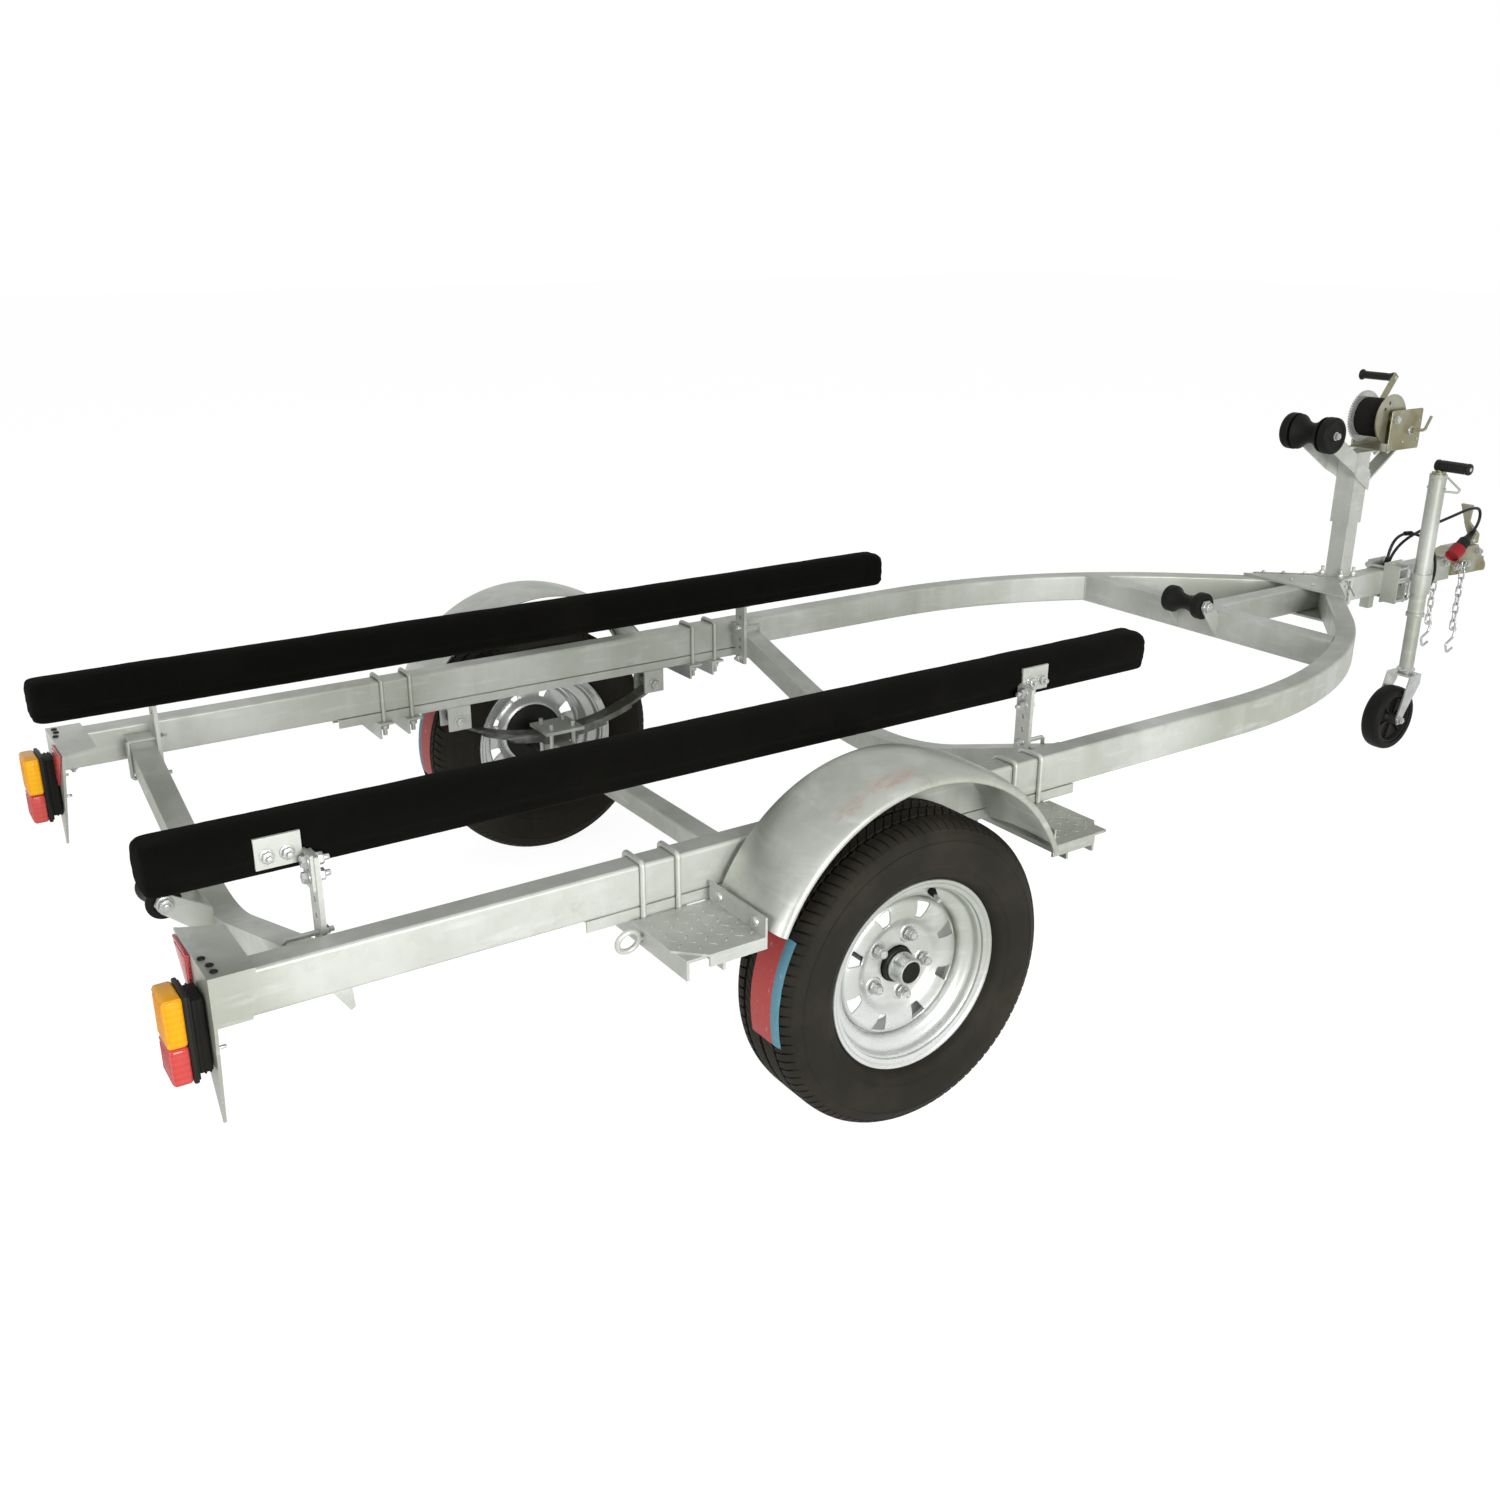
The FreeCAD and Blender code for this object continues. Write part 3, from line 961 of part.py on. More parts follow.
body = new_body("bow_roller_waist")
h = "(arm_y - side_gap)"
spin(body, "bow_roller_round", draw(body, "bow_roller_section", "XY_Plane", [[
    ("bow_bolt_r + spindle_gap", "-" + h), ("bow_r - 2", "-" + h), ("bow_waist", "-7"), ("bow_waist", "7"),
    ("bow_r - 2", h), ("bow_bolt_r + spindle_gap", h)]]))
put(body, "bow_x", "0", "bow_z")
bells = []
for side, s in SIDES:
    bell = new_body("bow_bell_" + side)
    y0, y1 = "%d * (arm_y + arm_t + side_gap)" % s, "%d * (arm_y + arm_t + side_gap + bell_w)" % s
    y_out = "%d * (arm_y + arm_t + side_gap + bell_w - 7)" % s
    spin(bell, "bow_bell_round_" + side, draw(bell, "bow_bell_section_" + side, "XY_Plane", [[
        ("bow_bolt_r + spindle_gap", y0), ("bow_r", y0), ("bow_r", y_out), ("bow_r - 7", y1),
        ("bow_bolt_r + spindle_gap", y1)]]))
    put(bell, "bow_x", "0", "bow_z")
    bells.append(bell)
node("bow_roller", body, *bells)

# Winch: folded frame, drum with its gear and strap, and the crank shaft with the pinion.
crank_x = num("winch_x + sqrt(((gear_teeth + pinion_teeth) * gear_module / 2) ^ 2 - crank_drop ^ 2)")
crank_z = d["winch_z"] - d["crank_drop"]
frame_base = "sleeve_high + winch_plate_t"
frame = box("winch_frame_base", "164", "2 * winch_half", "winch_plate_t", "winch_x - 40", "-winch_half", frame_base)
walls = [box("winch_wall_" + side, "145", "winch_plate_t", "112", "winch_x - 21",
             "winch_half - winch_plate_t" if s > 0 else "-winch_half", frame_base) for side, s in SIDES]
axle_bar = shaft("drum_bolt", "9", "winch_x", "0", "winch_z", "2 * (winch_half + 8)")
bore = cyl("crank_bore", "bow_bolt_r + spindle_gap", "2 * winch_half + 20",
           "winch_x + sqrt(((gear_teeth + pinion_teeth) * gear_module / 2) ^ 2 - crank_drop ^ 2)", "winch_half + 10",
           "winch_z - crank_drop", V(1, 0, 0), "90")
out_y = -d["winch_half"] - 22
pawl = raw("pawl_handle", bent_rod([V(crank_x + 22, -d["winch_half"] + 2, crank_z), V(crank_x + 34, out_y, crank_z),
                                    V(crank_x + 58, out_y, crank_z + 38)], 4, 5))
node("winch_frame", cut("winch_frame_bored", fuse("winch_frame_set", frame, *(walls + [axle_bar, pawl])), bore))

body = new_body("winch_drum")
bore_r = "9 + spindle_gap"
spin(body, "drum_round", draw(body, "drum_section", "XY_Plane", [[
    (bore_r, "-drum_half"), ("flange_r", "-drum_half"), ("flange_r", "4 - drum_half"), ("drum_r", "4 - drum_half"),
    ("drum_r", "drum_half"), (bore_r, "drum_half")]]))
sketch = draw(body, "drum_holes", "XZ_Plane", [], [("-16", "46", "5"), ("-34", "30", "5")], offset="drum_half")
pocket(body, "drum_hole_cut", sketch, "4")
put(body, "winch_x", "0", "winch_z")
node("winch_drum", body)
body = new_body("winch_strap")
spin(body, "strap_round", draw(body, "strap_section", "XY_Plane", [[
    ("drum_r", "4.5 - drum_half"), ("strap_r", "4.5 - drum_half"), ("strap_r", "drum_half - 0.5"), ("drum_r", "drum_half - 0.5")]]))
put(body, "winch_x", "0", "winch_z")
node("winch_strap", body)


def gear_face(teeth, tip, root, phase, levels):
    """Outline of a spur gear with involute flanks, one tooth centred at the phase angle."""
    press = math.radians(20)
    pitch_r = d["gear_module"] * teeth / 2
    base_r = pitch_r * math.cos(press)
    inv = math.tan(press) - press
    half_pitch = math.pi / 2 / teeth - d["backlash"] / 4 / pitch_r
    rows = []
    for share in levels:
        rad = root + (tip - root) * share
        turn = math.acos(base_r / max(rad, base_r))
        rows.append((rad, half_pitch + inv - (math.tan(turn) - turn)))
    points = []
    for i in range(teeth):
        mid = phase + 2 * math.pi * i / teeth
        points += [V(rad * math.cos(mid - a), 0, rad * math.sin(mid - a)) for rad, a in rows]
        points += [V(rad * math.cos(mid + a), 0, rad * math.sin(mid + a)) for rad, a in reversed(rows)]
    return Part.Face(Part.makePolygon(points + points[:1]))


line = math.atan2(-d["crank_drop"], crank_x - d["winch_x"])
module = d["gear_module"]
big_r = module * d["gear_teeth"] / 2
small_r = module * d["pinion_teeth"] / 2
wheel = gear_face(int(d["gear_teeth"]), big_r + 0.68 * module, big_r - 1.25 * module, line, (0, 0.65, 1)).extrude(V(0, d["gear_w"], 0))
wheel = wheel.cut(Part.makeCylinder(9.05, 20, V(0, -2, 0), V(0, 1, 0)))
node("winch_gear", raw("gear_wheel", wheel, FreeCAD.Placement(V(d["winch_x"], d["drum_half"], d["winch_z"]), FreeCAD.Rotation())))
pinion = gear_face(int(d["pinion_teeth"]), small_r + module, small_r - 1.1 * module, line + math.pi + math.pi / d["pinion_teeth"],
                   (0, 0.42, 0.6, 0.8, 1)).extrude(V(0, d["gear_w"] + 2, 0))
pinion.translate(V(0, d["drum_half"] - 1, 0))
crank = pinion.fuse(Part.makeCylinder(d["bow_bolt_r"], 2 * d["winch_half"] + 34, V(0, -d["winch_half"] - 12, 0), V(0, 1, 0)))
arm = Part.makeBox(d["crank_len"] + 22, 6, 22, V(-11, d["winch_half"] + 16, -11))
arm.rotate(V(0, 0, 0), V(0, 1, 0), -d["crank_deg"])
crank = crank.fuse(arm)
tip_x, tip_z = d["crank_len"] * math.cos(math.radians(d["crank_deg"])), d["crank_len"] * math.sin(math.radians(d["crank_deg"]))
place = FreeCAD.Placement(V(crank_x, 0, crank_z), FreeCAD.Rotation())
node("winch_crank", raw("crank_shaft", crank, place))
grip = new_body("winch_grip")
spin(grip, "winch_grip_round", draw(grip, "winch_grip_section", "XY_Plane", [[
    ("0", "0"), ("13", "0"), ("11", "12"), ("11", "grip_len - 16"), ("16", "grip_len - 8"), ("16", "grip_len - 2"),
    ("13", "grip_len"), ("0", "grip_len")]]))
grip.Placement = FreeCAD.Placement(V(crank_x + tip_x, d["winch_half"] + 22, crank_z + tip_z), FreeCAD.Rotation())
node("winch_grip", grip)

# Jockey wheel: clamp on the drawbar, outer tube, sliding leg, trailing fork and wheel.
tube = new_body("jockey_tube")
spin(tube, "jockey_tube_round", draw(tube, "jockey_tube_section", "XZ_Plane", [[
    ("jack_leg_r + jack_gap", "jack_low"), ("jack_tube_r", "jack_low"), ("jack_tube_r", "jack_high"),
    ("0", "jack_high"), ("0", "jack_high - 6"), ("jack_leg_r + jack_gap", "jack_high - 6")]]), "V_Axis")
put(tube, "jack_x", "jack_y", "0")
node("jockey_tube", tube)

leg = new_body("jockey_leg")
spin(leg, "jockey_leg_round", draw(leg, "jockey_leg_section", "XZ_Plane", [[
    ("roller_pin_r + spindle_gap", "jack_fork_z + side_gap"), ("jack_leg_r", "jack_fork_z + side_gap"),
    ("jack_leg_r", "jack_leg_top"), ("0", "jack_leg_top"), ("0", "jack_fork_z + 40"),
    ("roller_pin_r + spindle_gap", "jack_fork_z + 40")]]), "V_Axis")
put(leg, "jack_x", "jack_y", "0")
node("jockey_leg", leg)

crown = box("fork_crown", "56", "jack_wheel_w + 16 + 2 * jack_fork_t", "6", "jack_x - 34",
            "jack_y - jack_wheel_w / 2 - 8 - jack_fork_t", "jack_fork_z - 6")
king = cyl("fork_king", "roller_pin_r", "36", "jack_x", "jack_y", "jack_fork_z - 1")
blades = []
for side, s in SIDES:
    blade = new_body("fork_blade_" + side)
    sketch = draw(blade, "fork_blade_lines_" + side, "XZ_Plane", [[
        ("jack_x - 34", "jack_fork_z - 6"), ("jack_x - jack_trail - 16", "jack_wheel_r + 6"),
        ("jack_x - jack_trail - 9", "jack_wheel_r - 14"), ("jack_x - jack_trail + 9", "jack_wheel_r - 14"),
        ("jack_x - jack_trail + 20", "jack_wheel_r + 14"), ("jack_x + 22", "jack_fork_z - 30"), ("jack_x + 22", "jack_fork_z - 6")]],
        offset="-(jack_y + jack_wheel_w / 2 + 8 + jack_fork_t)" if s > 0 else "-(jack_y - jack_wheel_w / 2 - 8)")
    pad(blade, "fork_blade_pad_" + side, sketch, "jack_fork_t")
    blades.append(blade)
bolt = shaft("fork_bolt", "6", "jack_x - jack_trail", "jack_y", "jack_wheel_r", "jack_wheel_w + 16 + 4 * jack_fork_t")
node("jockey_fork", fuse("fork_weldment", crown, king, *(blades + [bolt])))

half = [("jack_wheel_r - 24 + seat_gap", 0.5), ("jack_wheel_r - 12", 0.5), ("jack_wheel_r - 3", 0.36), ("jack_wheel_r", 0.2)]
loop = [(r, "-%g * jack_wheel_w" % y) for r, y in half] + [(r, "%g * jack_wheel_w" % y) for r, y in reversed(half)]
node("jockey_tyre", pitched_ring("jockey_tyre", 50, loop, "jack_x - jack_trail", "jack_y", "jack_wheel_r"))

half = [("6 + spindle_gap", 0.62), ("20", 0.62), ("22", 0.16), ("jack_wheel_r - 32", 0.12), ("jack_wheel_r - 24", 0.42)]
loop = [(r, "-%g * jack_wheel_w" % y) for r, y in half] + [(r, "%g * jack_wheel_w" % y) for r, y in reversed(half)]
body = new_body("jockey_rim")
spin(body, "jockey_rim_round", draw(body, "jockey_rim_section", "XY_Plane", [loop]))
put(body, "jack_x - jack_trail", "jack_y", "jack_wheel_r")
node("jockey_rim", body)

hub = cyl("crank_boss", "10", "34", "jack_x", "jack_y", "jack_high + side_gap")
disc = cyl("crank_collar", "jack_tube_r - 4", "6", "jack_x", "jack_y", "jack_high + side_gap")
node("jockey_crank", fuse("jockey_crank_set", hub, disc))
node("jockey_grip", cut("jockey_grip_bored", shaft("jockey_grip_bar", "17", "jack_x", "jack_y - 42", "jack_high + 25", "108"),
                        cyl("grip_seat", "10 + spindle_gap", "60", "jack_x", "jack_y", "jack_high - 10")))

plates = []
for side, s in SIDES:
    plates.append(box("clamp_plate_" + side, "84", "6", "122", "jack_x - 96", "bar_w / 2" if s > 0 else "-bar_w / 2 - 6", "rail_top - 98"))
flanges = [box("clamp_flange_%d" % i, "5", "52", "114", "jack_x - %d" % off, "-bar_w / 2 - 52", "rail_top - 94")
           for i, off in enumerate((96, 52))]
lug = box("clamp_lug", "48", "40", "60", "jack_x - 47", "-bar_w / 2 - 46", "rail_top - 68")
ring = cyl("clamp_ring", "jack_tube_r + 6", "60", "jack_x", "jack_y", "rail_top - 68")
bore = cyl("clamp_ring_bore", "jack_tube_r + 0.2", "200", "jack_x", "jack_y", "rail_top - 100")
ties = [shaft("clamp_tie_%d%d" % (i, j), "ubolt_r", "jack_x - %d" % off, "0", z, "2 * (bar_w / 2 + 16)")
        for i, off in enumerate((84, 24)) for j, z in enumerate(("rail_top + ubolt_r + 1", "rail_top - rail_h - ubolt_r - 1"))]
latches = []
for name, low, high, out in (("latch", -20, 12, 40), ("bail", -86, -28, 27)):
    x0, x1, y = d["jack_x"] - 93, d["jack_x"] - out, -d["bar_w"] / 2 - 49
    z0, z1 = d["rail_top"] + low, d["rail_top"] + high
    latches.append(raw("clamp_" + name, bent_rod([V(x0, y, z0), V(x1, y, z0), V(x1, y, z1), V(x0, y, z1)], 3.5, 5)))
node("jockey_clamp", cut("clamp_bored", fuse("clamp_set", *(plates + flanges + [lug, ring] + ties + latches)), bore))

# Coupling over the drawbar end, with its lever.
shell = new_body("coupling_shell")
sketch = draw(shell, "coupling_side", "XZ_Plane", [[
    ("bar_front", "ball_z - 6"), ("bar_front", "rail_top"), ("bar_front - 62", "rail_top"), ("bar_front - 62", "rail_top + 6"),
    ("bar_front + 20", "rail_top + 22"), ("ball_x - 44", "rail_top + 22"), ("ball_x - 12", "ball_z + ball_r + 11"),
    ("ball_x", "ball_z + ball_r + 10"), ("ball_x", "ball_z - 10"), ("ball_x - 60", "ball_z - 10")]])
pad(shell, "coupling_side_pad", sketch, "2 * coupling_half", True)
dome = doc.addObject("Part::Sphere", "coupling_dome")
dome.setExpression("Radius", linked("ball_r + 10"))
put(dome, "ball_x", "0", "ball_z")
socket = doc.addObject("Part::Sphere", "coupling_socket")
socket.setExpression("Radius", linked("ball_r"))
put(socket, "ball_x", "0", "ball_z")
mouth = cyl("coupling_mouth", "ball_r", "60", "ball_x", "0", "ball_z - 60")
under = box("coupling_under", "120", "120", "60", "ball_x - 60", "-60", "ball_z - 70")
coupling_body = cut("coupling_body", fuse("coupling_solid", shell, dome), socket, mouth, under)
lever_side = new_body("lever_side")
sketch = draw(lever_side, "lever_side_lines", "XZ_Plane", [[
    ("ball_x - 62", "rail_top + 22"), ("ball_x - 22", "rail_top + 22"), ("ball_x - 22", "rail_top + 50"),
    ("ball_x - 76", "rail_top + 96"), ("ball_x - 92", "rail_top + 152"), ("ball_x - 100", "rail_top + 150"),
    ("ball_x - 84", "rail_top + 92"), ("ball_x - 44", "rail_top + 52")]])
pad(lever_side, "lever_side_pad", sketch, "60", True)
lever_front = new_body("lever_front")
sketch = draw(lever_front, "lever_front_lines", "YZ_Plane", [[
    ("-15", "rail_top + 22"), ("15", "rail_top + 22"), ("15", "rail_top + 60"), ("8", "rail_top + 96"),
    ("20", "rail_top + 152"), ("-20", "rail_top + 152"), ("-8", "rail_top + 96"), ("-15", "rail_top + 60")]],
    offset="ball_x - 110")
pad(lever_front, "lever_front_pad", sketch, "100")
lever = doc.addObject("Part::Common", "coupling_lever")
lever.Base = lever_side
lever.Tool = lever_front
node("coupling", coupling_body, lever)

# Safety chains with their hooks, hung from pins on the coupling sides.
links, pins, hooks = [], [], []
pitch = d["link_l"] - 2 * d["link_t"] - d["link_gap"]
for side, s in SIDES:
    pins.append(fuse("chain_pin_" + side,
                     shaft("chain_shank_" + side, "4.5", "chain_x", "%d * (coupling_half + 12)" % s, "chain_z", "24"),
                     shaft("chain_head_" + side, "8", "chain_x", "%d * (coupling_half + 26)" % s, "chain_z", "4")))
    y = s * (d["coupling_half"] + 13)
    top = d["chain_z"] + 4.5 + d["link_gap"] + d["link_t"]
    for i in range(8):
        long, wide, t = d["link_l"] / 2, d["link_w"] / 2, d["link_t"]
        corner = t * (2 - math.sqrt(2))
        quarter = [(wide, long - t), (wide - t, long)]
        hollow = [(wide - t, long - t - t + corner), (wide - 2 * t + corner, long - t)]
        solid = []
        for pair in (quarter, hollow):
            (ax, ay), (bx, by) = pair
            loop = [V(ax, -t / 2, ay), V(bx, -t / 2, by), V(-bx, -t / 2, by), V(-ax, -t / 2, ay),
                    V(-ax, -t / 2, -ay), V(-bx, -t / 2, -by), V(bx, -t / 2, -by), V(ax, -t / 2, -ay)]
            solid.append(Part.Face(Part.makePolygon(loop + loop[:1])).extrude(V(0, t, 0)))
        link = solid[0].cut(solid[1])
        turn = FreeCAD.Rotation(V(0, 0, 1), 90 * (i % 2))
        links.append(raw("link_%s_%d" % (side, i), link,
                         FreeCAD.Placement(V(d["chain_x"], y, top - long - i * pitch), turn)))
    seat = top - d["link_l"] - 7 * pitch + d["link_t"] + 4 + d["link_gap"]
    x, r = d["chain_x"], 4
    hook = bent_rod([V(x + 2, y, seat), V(x + 22, y, seat), V(x + 14, y, seat - 34), V(x - 22, y, seat - 52),
                     V(x - 8, y, seat - 82), V(x + 20, y, seat - 70)], r, 5)
    hooks.append(raw("chain_hook_" + side, hook))
node("chains", *(links + hooks + pins))

# Trailer plug held against the coupling, with the cable that leads to it.
lean = math.radians(d["plug_deg"])
axis = V(math.cos(lean), 0, math.sin(lean))
seat = V(d["plug_x"], -(d["coupling_half"] + 0.3 + d["plug_r"]), d["plug_z"])
red = Part.makeCylinder(d["plug_r"], 40, seat, axis)
black = Part.makeCylinder(d["plug_r"] - 4, 34, seat + axis * 40, axis)
black = black.fuse(Part.makeCone(d["plug_r"] - 5, 9, 22, seat + axis * 74, axis))
node("plug_socket", raw("plug_red", red))
node("plug_body", raw("plug_black", black))
cable_end = seat + axis * 96
route = [V(*p) for p in CABLE]
route += [cable_end + axis * 50, cable_end]


def cord(points, radius):
    """The cable: straight runs with a tangent arc at every corner."""
    edges = []
    last = points[0]
    for i in range(1, len(points) - 1):
        p = points[i]
        a, b = points[i - 1] - p, points[i + 1] - p
        short = min(a.Length, b.Length)
        u, w = a.normalize(), b.normalize()
        half = u.getAngle(w) / 2
        bend = 0.45 * short * math.tan(half)
        print("cable bend %d radius %.1f turn %.1f run %.1f" % (i, bend, 180 - math.degrees(2 * half), short))
        mid = (u + w).normalize()
        centre = p + mid * (bend / math.sin(half))
        run = bend / math.tan(half)
        edges.append(Part.LineSegment(last, p + u * run).toShape())
        edges.append(Part.Arc(p + u * run, centre - mid * bend, p + w * run).toShape())
        last = p + w * run
    edges.append(Part.LineSegment(last, points[-1]).toShape())
    path = Part.Wire(edges)
    ring = Part.Wire(Part.Circle(points[0], (points[1] - points[0]).normalize(), radius).toShape())
    tube = path.makePipeShell([ring], True, False)
    print("cable length %.0f volume ratio %.4f" % (path.Length, tube.Volume / (math.pi * radius ** 2 * path.Length)))
    return tube


node("cable", raw("cable_tube", cord(route, d["cable_r"])))

doc.recompute()
bad = [o.Name for o in doc.Objects if "Invalid" in o.State or "Error" in o.State]
bad += [o.Label for o in NODES if o.Shape.isNull() or not o.Shape.isValid()]
if bad:
    raise RuntimeError("not built: " + ", ".join(bad))
os.makedirs("parts", exist_ok=True)
for obj in NODES:
    obj.Shape.exportStep("parts/%s.step" % obj.Label)
print("%d pieces written" % len(NODES))
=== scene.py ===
"""Looks of a single-axle boat trailer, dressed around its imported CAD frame."""
import logging
import math
from dataclasses import dataclass
from enum import Enum

import bmesh
import bpy
from mathutils import Matrix, Vector, noise


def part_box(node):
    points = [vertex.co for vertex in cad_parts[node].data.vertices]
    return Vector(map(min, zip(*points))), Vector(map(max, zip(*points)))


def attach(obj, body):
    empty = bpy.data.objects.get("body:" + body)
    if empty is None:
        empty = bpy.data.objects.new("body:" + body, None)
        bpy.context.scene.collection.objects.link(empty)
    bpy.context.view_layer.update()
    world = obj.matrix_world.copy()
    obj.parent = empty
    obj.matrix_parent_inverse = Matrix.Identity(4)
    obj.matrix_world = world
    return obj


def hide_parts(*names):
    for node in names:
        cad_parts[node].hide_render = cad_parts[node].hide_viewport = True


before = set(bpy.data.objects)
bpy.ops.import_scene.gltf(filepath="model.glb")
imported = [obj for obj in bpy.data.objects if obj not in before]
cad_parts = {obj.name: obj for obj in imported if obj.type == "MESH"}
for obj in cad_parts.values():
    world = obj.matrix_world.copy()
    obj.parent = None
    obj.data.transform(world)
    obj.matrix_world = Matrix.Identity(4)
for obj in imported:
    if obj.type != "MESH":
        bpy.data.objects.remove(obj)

LOG = logging.getLogger("trailer")
logging.basicConfig(level=logging.INFO, format="%(message)s")
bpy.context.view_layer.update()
MM = 0.001
X, Y, Z = Vector((1, 0, 0)), Vector((0, 1, 0)), Vector((0, 0, 1))
SIDES = (("left", 1), ("right", -1))
# lean of the bowed crossmembers' arms
ARM_LEAN = math.radians(17.5)
# the inner face of the side rails and the axle's place, in millimetres
RAIL_IN = 570.0
AXLE_X = -924.0


class Kind(Enum):
    """Which recipe a finish is made by."""

    GALVANISED = "galvanised"
    PLATED = "plated"
    RUBBER = "rubber"
    PLASTIC = "plastic"
    CARPET = "carpet"
    WEBBING = "webbing"
    LENS = "lens"
    PRISM = "prism"
    LABEL = "label"


@dataclass(frozen=True)
class Finish:
    """One surface finish.

    Args:
        name: material name.
        kind: recipe.
        base: main colour, linear.
        second: colour that the first varies towards.
        rough: lowest and highest roughness.
        metal: metallic share.
        scale: size of the fine pattern, in cells per metre.
        bump: height of the fine pattern, in metres.
        wear: share of stains, scuffs or dust, from 0 to 1.
        shine: strength of the clear reflection, 0.5 for a common one.
        smears: rows of (x, y, half length, half width, strength) of red oxide smears, in metres.
        slot: the record's material slot, where it has another name than the finish; each piece keeps it, but it is
            not used.
    """

    name: str
    kind: Kind
    base: tuple
    second: tuple
    rough: tuple = (0.4, 0.6)
    metal: float = 0.0
    scale: float = 60.0
    bump: float = 0.0002
    wear: float = 0.3
    shine: float = 0.5
    smears: tuple = ()
    slot: str = ""


GALV = Finish("galvanised", Kind.GALVANISED, base=(0.56, 0.575, 0.53), second=(0.42, 0.435, 0.39),
              rough=(0.34, 0.50), metal=0.32, scale=46.0, bump=0.00006, wear=0.4)
GALV_SHEET = Finish("galvanised_sheet", Kind.GALVANISED, slot="galvanised", base=(0.56, 0.575, 0.535),
                    second=(0.40, 0.415, 0.375), rough=(0.28, 0.42), metal=0.36, scale=30.0, bump=0.00005,
                    wear=0.8)
GUARD_SHEET = Finish("galvanised_guard", Kind.GALVANISED, slot="galvanised", base=(0.56, 0.575, 0.535),
                     second=(0.36, 0.375, 0.33), rough=(0.24, 0.40), metal=0.42, scale=30.0, bump=0.00005,
                     wear=0.6, smears=((-0.985, -0.785, 0.062, 0.022, 0.75), (-1.075, -0.79, 0.036, 0.020, 0.6)))
GALV_RIM = Finish("galvanised_rim", Kind.GALVANISED, slot="galvanised", base=(0.60, 0.615, 0.60),
                  second=(0.50, 0.515, 0.495), rough=(0.22, 0.34), metal=0.50, scale=38.0, bump=0.00005, wear=0.15)
DARK_STEEL = Finish("dark_steel", Kind.GALVANISED, base=(0.060, 0.060, 0.056), second=(0.035, 0.035, 0.032),
                    rough=(0.40, 0.58), metal=0.2, scale=40.0, bump=0.00008, shine=0.3)
YELLOW_ZINC = Finish("yellow_zinc", Kind.PLATED, slot="zinc", base=(0.27, 0.265, 0.17), second=(0.22, 0.20, 0.105),
                     rough=(0.25, 0.40), metal=0.55, scale=22.0, bump=0.00003)
BRIGHT_ZINC = Finish("bright_zinc", Kind.PLATED, base=(0.54, 0.55, 0.53), second=(0.40, 0.41, 0.40),
                     rough=(0.20, 0.36), metal=0.60, scale=34.0, bump=0.00003)
TYRE = Finish("tyre_rubber", Kind.RUBBER, base=(0.016, 0.0145, 0.011), second=(0.036, 0.031, 0.023),
              rough=(0.62, 0.82), scale=90.0, bump=0.00012, shine=0.11)
RUBBER = Finish("black_rubber", Kind.RUBBER, base=(0.006, 0.006, 0.005), second=(0.014, 0.013, 0.010),
                rough=(0.52, 0.68), scale=140.0, bump=0.00006, shine=0.12)
CABLE_SKIN = Finish("cable_skin", Kind.RUBBER, base=(0.006, 0.006, 0.006), second=(0.012, 0.012, 0.012),
                    rough=(0.38, 0.55), scale=200.0, bump=0.00003, shine=0.25)
BLACK_PLASTIC = Finish("black_plastic", Kind.PLASTIC, base=(0.008, 0.008, 0.007), second=(0.016, 0.015, 0.012),
                       rough=(0.38, 0.54), scale=260.0, bump=0.00004, shine=0.16)
GREY_PLASTIC = Finish("grey_plastic", Kind.PLASTIC, base=(0.42, 0.42, 0.41), second=(0.34, 0.34, 0.33),
                      rough=(0.40, 0.55), scale=220.0, bump=0.00004)
RED_PLASTIC = Finish("red_plastic", Kind.PLASTIC, base=(0.38, 0.012, 0.018), second=(0.27, 0.008, 0.012),
                     rough=(0.30, 0.44), scale=220.0, bump=0.00003, shine=0.3)
CARPET = Finish("bunk_carpet", Kind.CARPET, base=(0.0025, 0.0025, 0.002), second=(0.0075, 0.007, 0.0055),
                rough=(0.90, 0.99), scale=900.0, bump=0.0008, shine=0.02)
WEBBING = Finish("winch_webbing", Kind.WEBBING, slot="webbing", base=(0.006, 0.006, 0.005),
                 second=(0.020, 0.018, 0.015), rough=(0.72, 0.88), scale=420.0, bump=0.0003, shine=0.1)
AMBER = Finish("amber_lens", Kind.LENS, base=(0.90, 0.46, 0.008), second=(0.72, 0.22, 0.004),
               rough=(0.18, 0.30), scale=260.0, bump=0.0006, shine=0.16)
RED_LENS = Finish("red_lens", Kind.LENS, base=(0.60, 0.075, 0.060), second=(0.42, 0.030, 0.028),
                  rough=(0.14, 0.26), scale=260.0, bump=0.0006, shine=0.35)
PRISM = Finish("reflector_prism", Kind.PRISM, slot="red_lens", base=(0.30, 0.012, 0.014), second=(0.16, 0.006, 0.008),
               rough=(0.16, 0.28), scale=300.0, bump=0.0005, shine=0.3)
LABEL = Finish("tread_label", Kind.LABEL, slot="black_rubber", base=(0.46, 0.040, 0.038), second=(0.085, 0.26, 0.34),
               rough=(0.42, 0.55), scale=120.0, bump=0.00002, wear=0.6, shine=0.3)


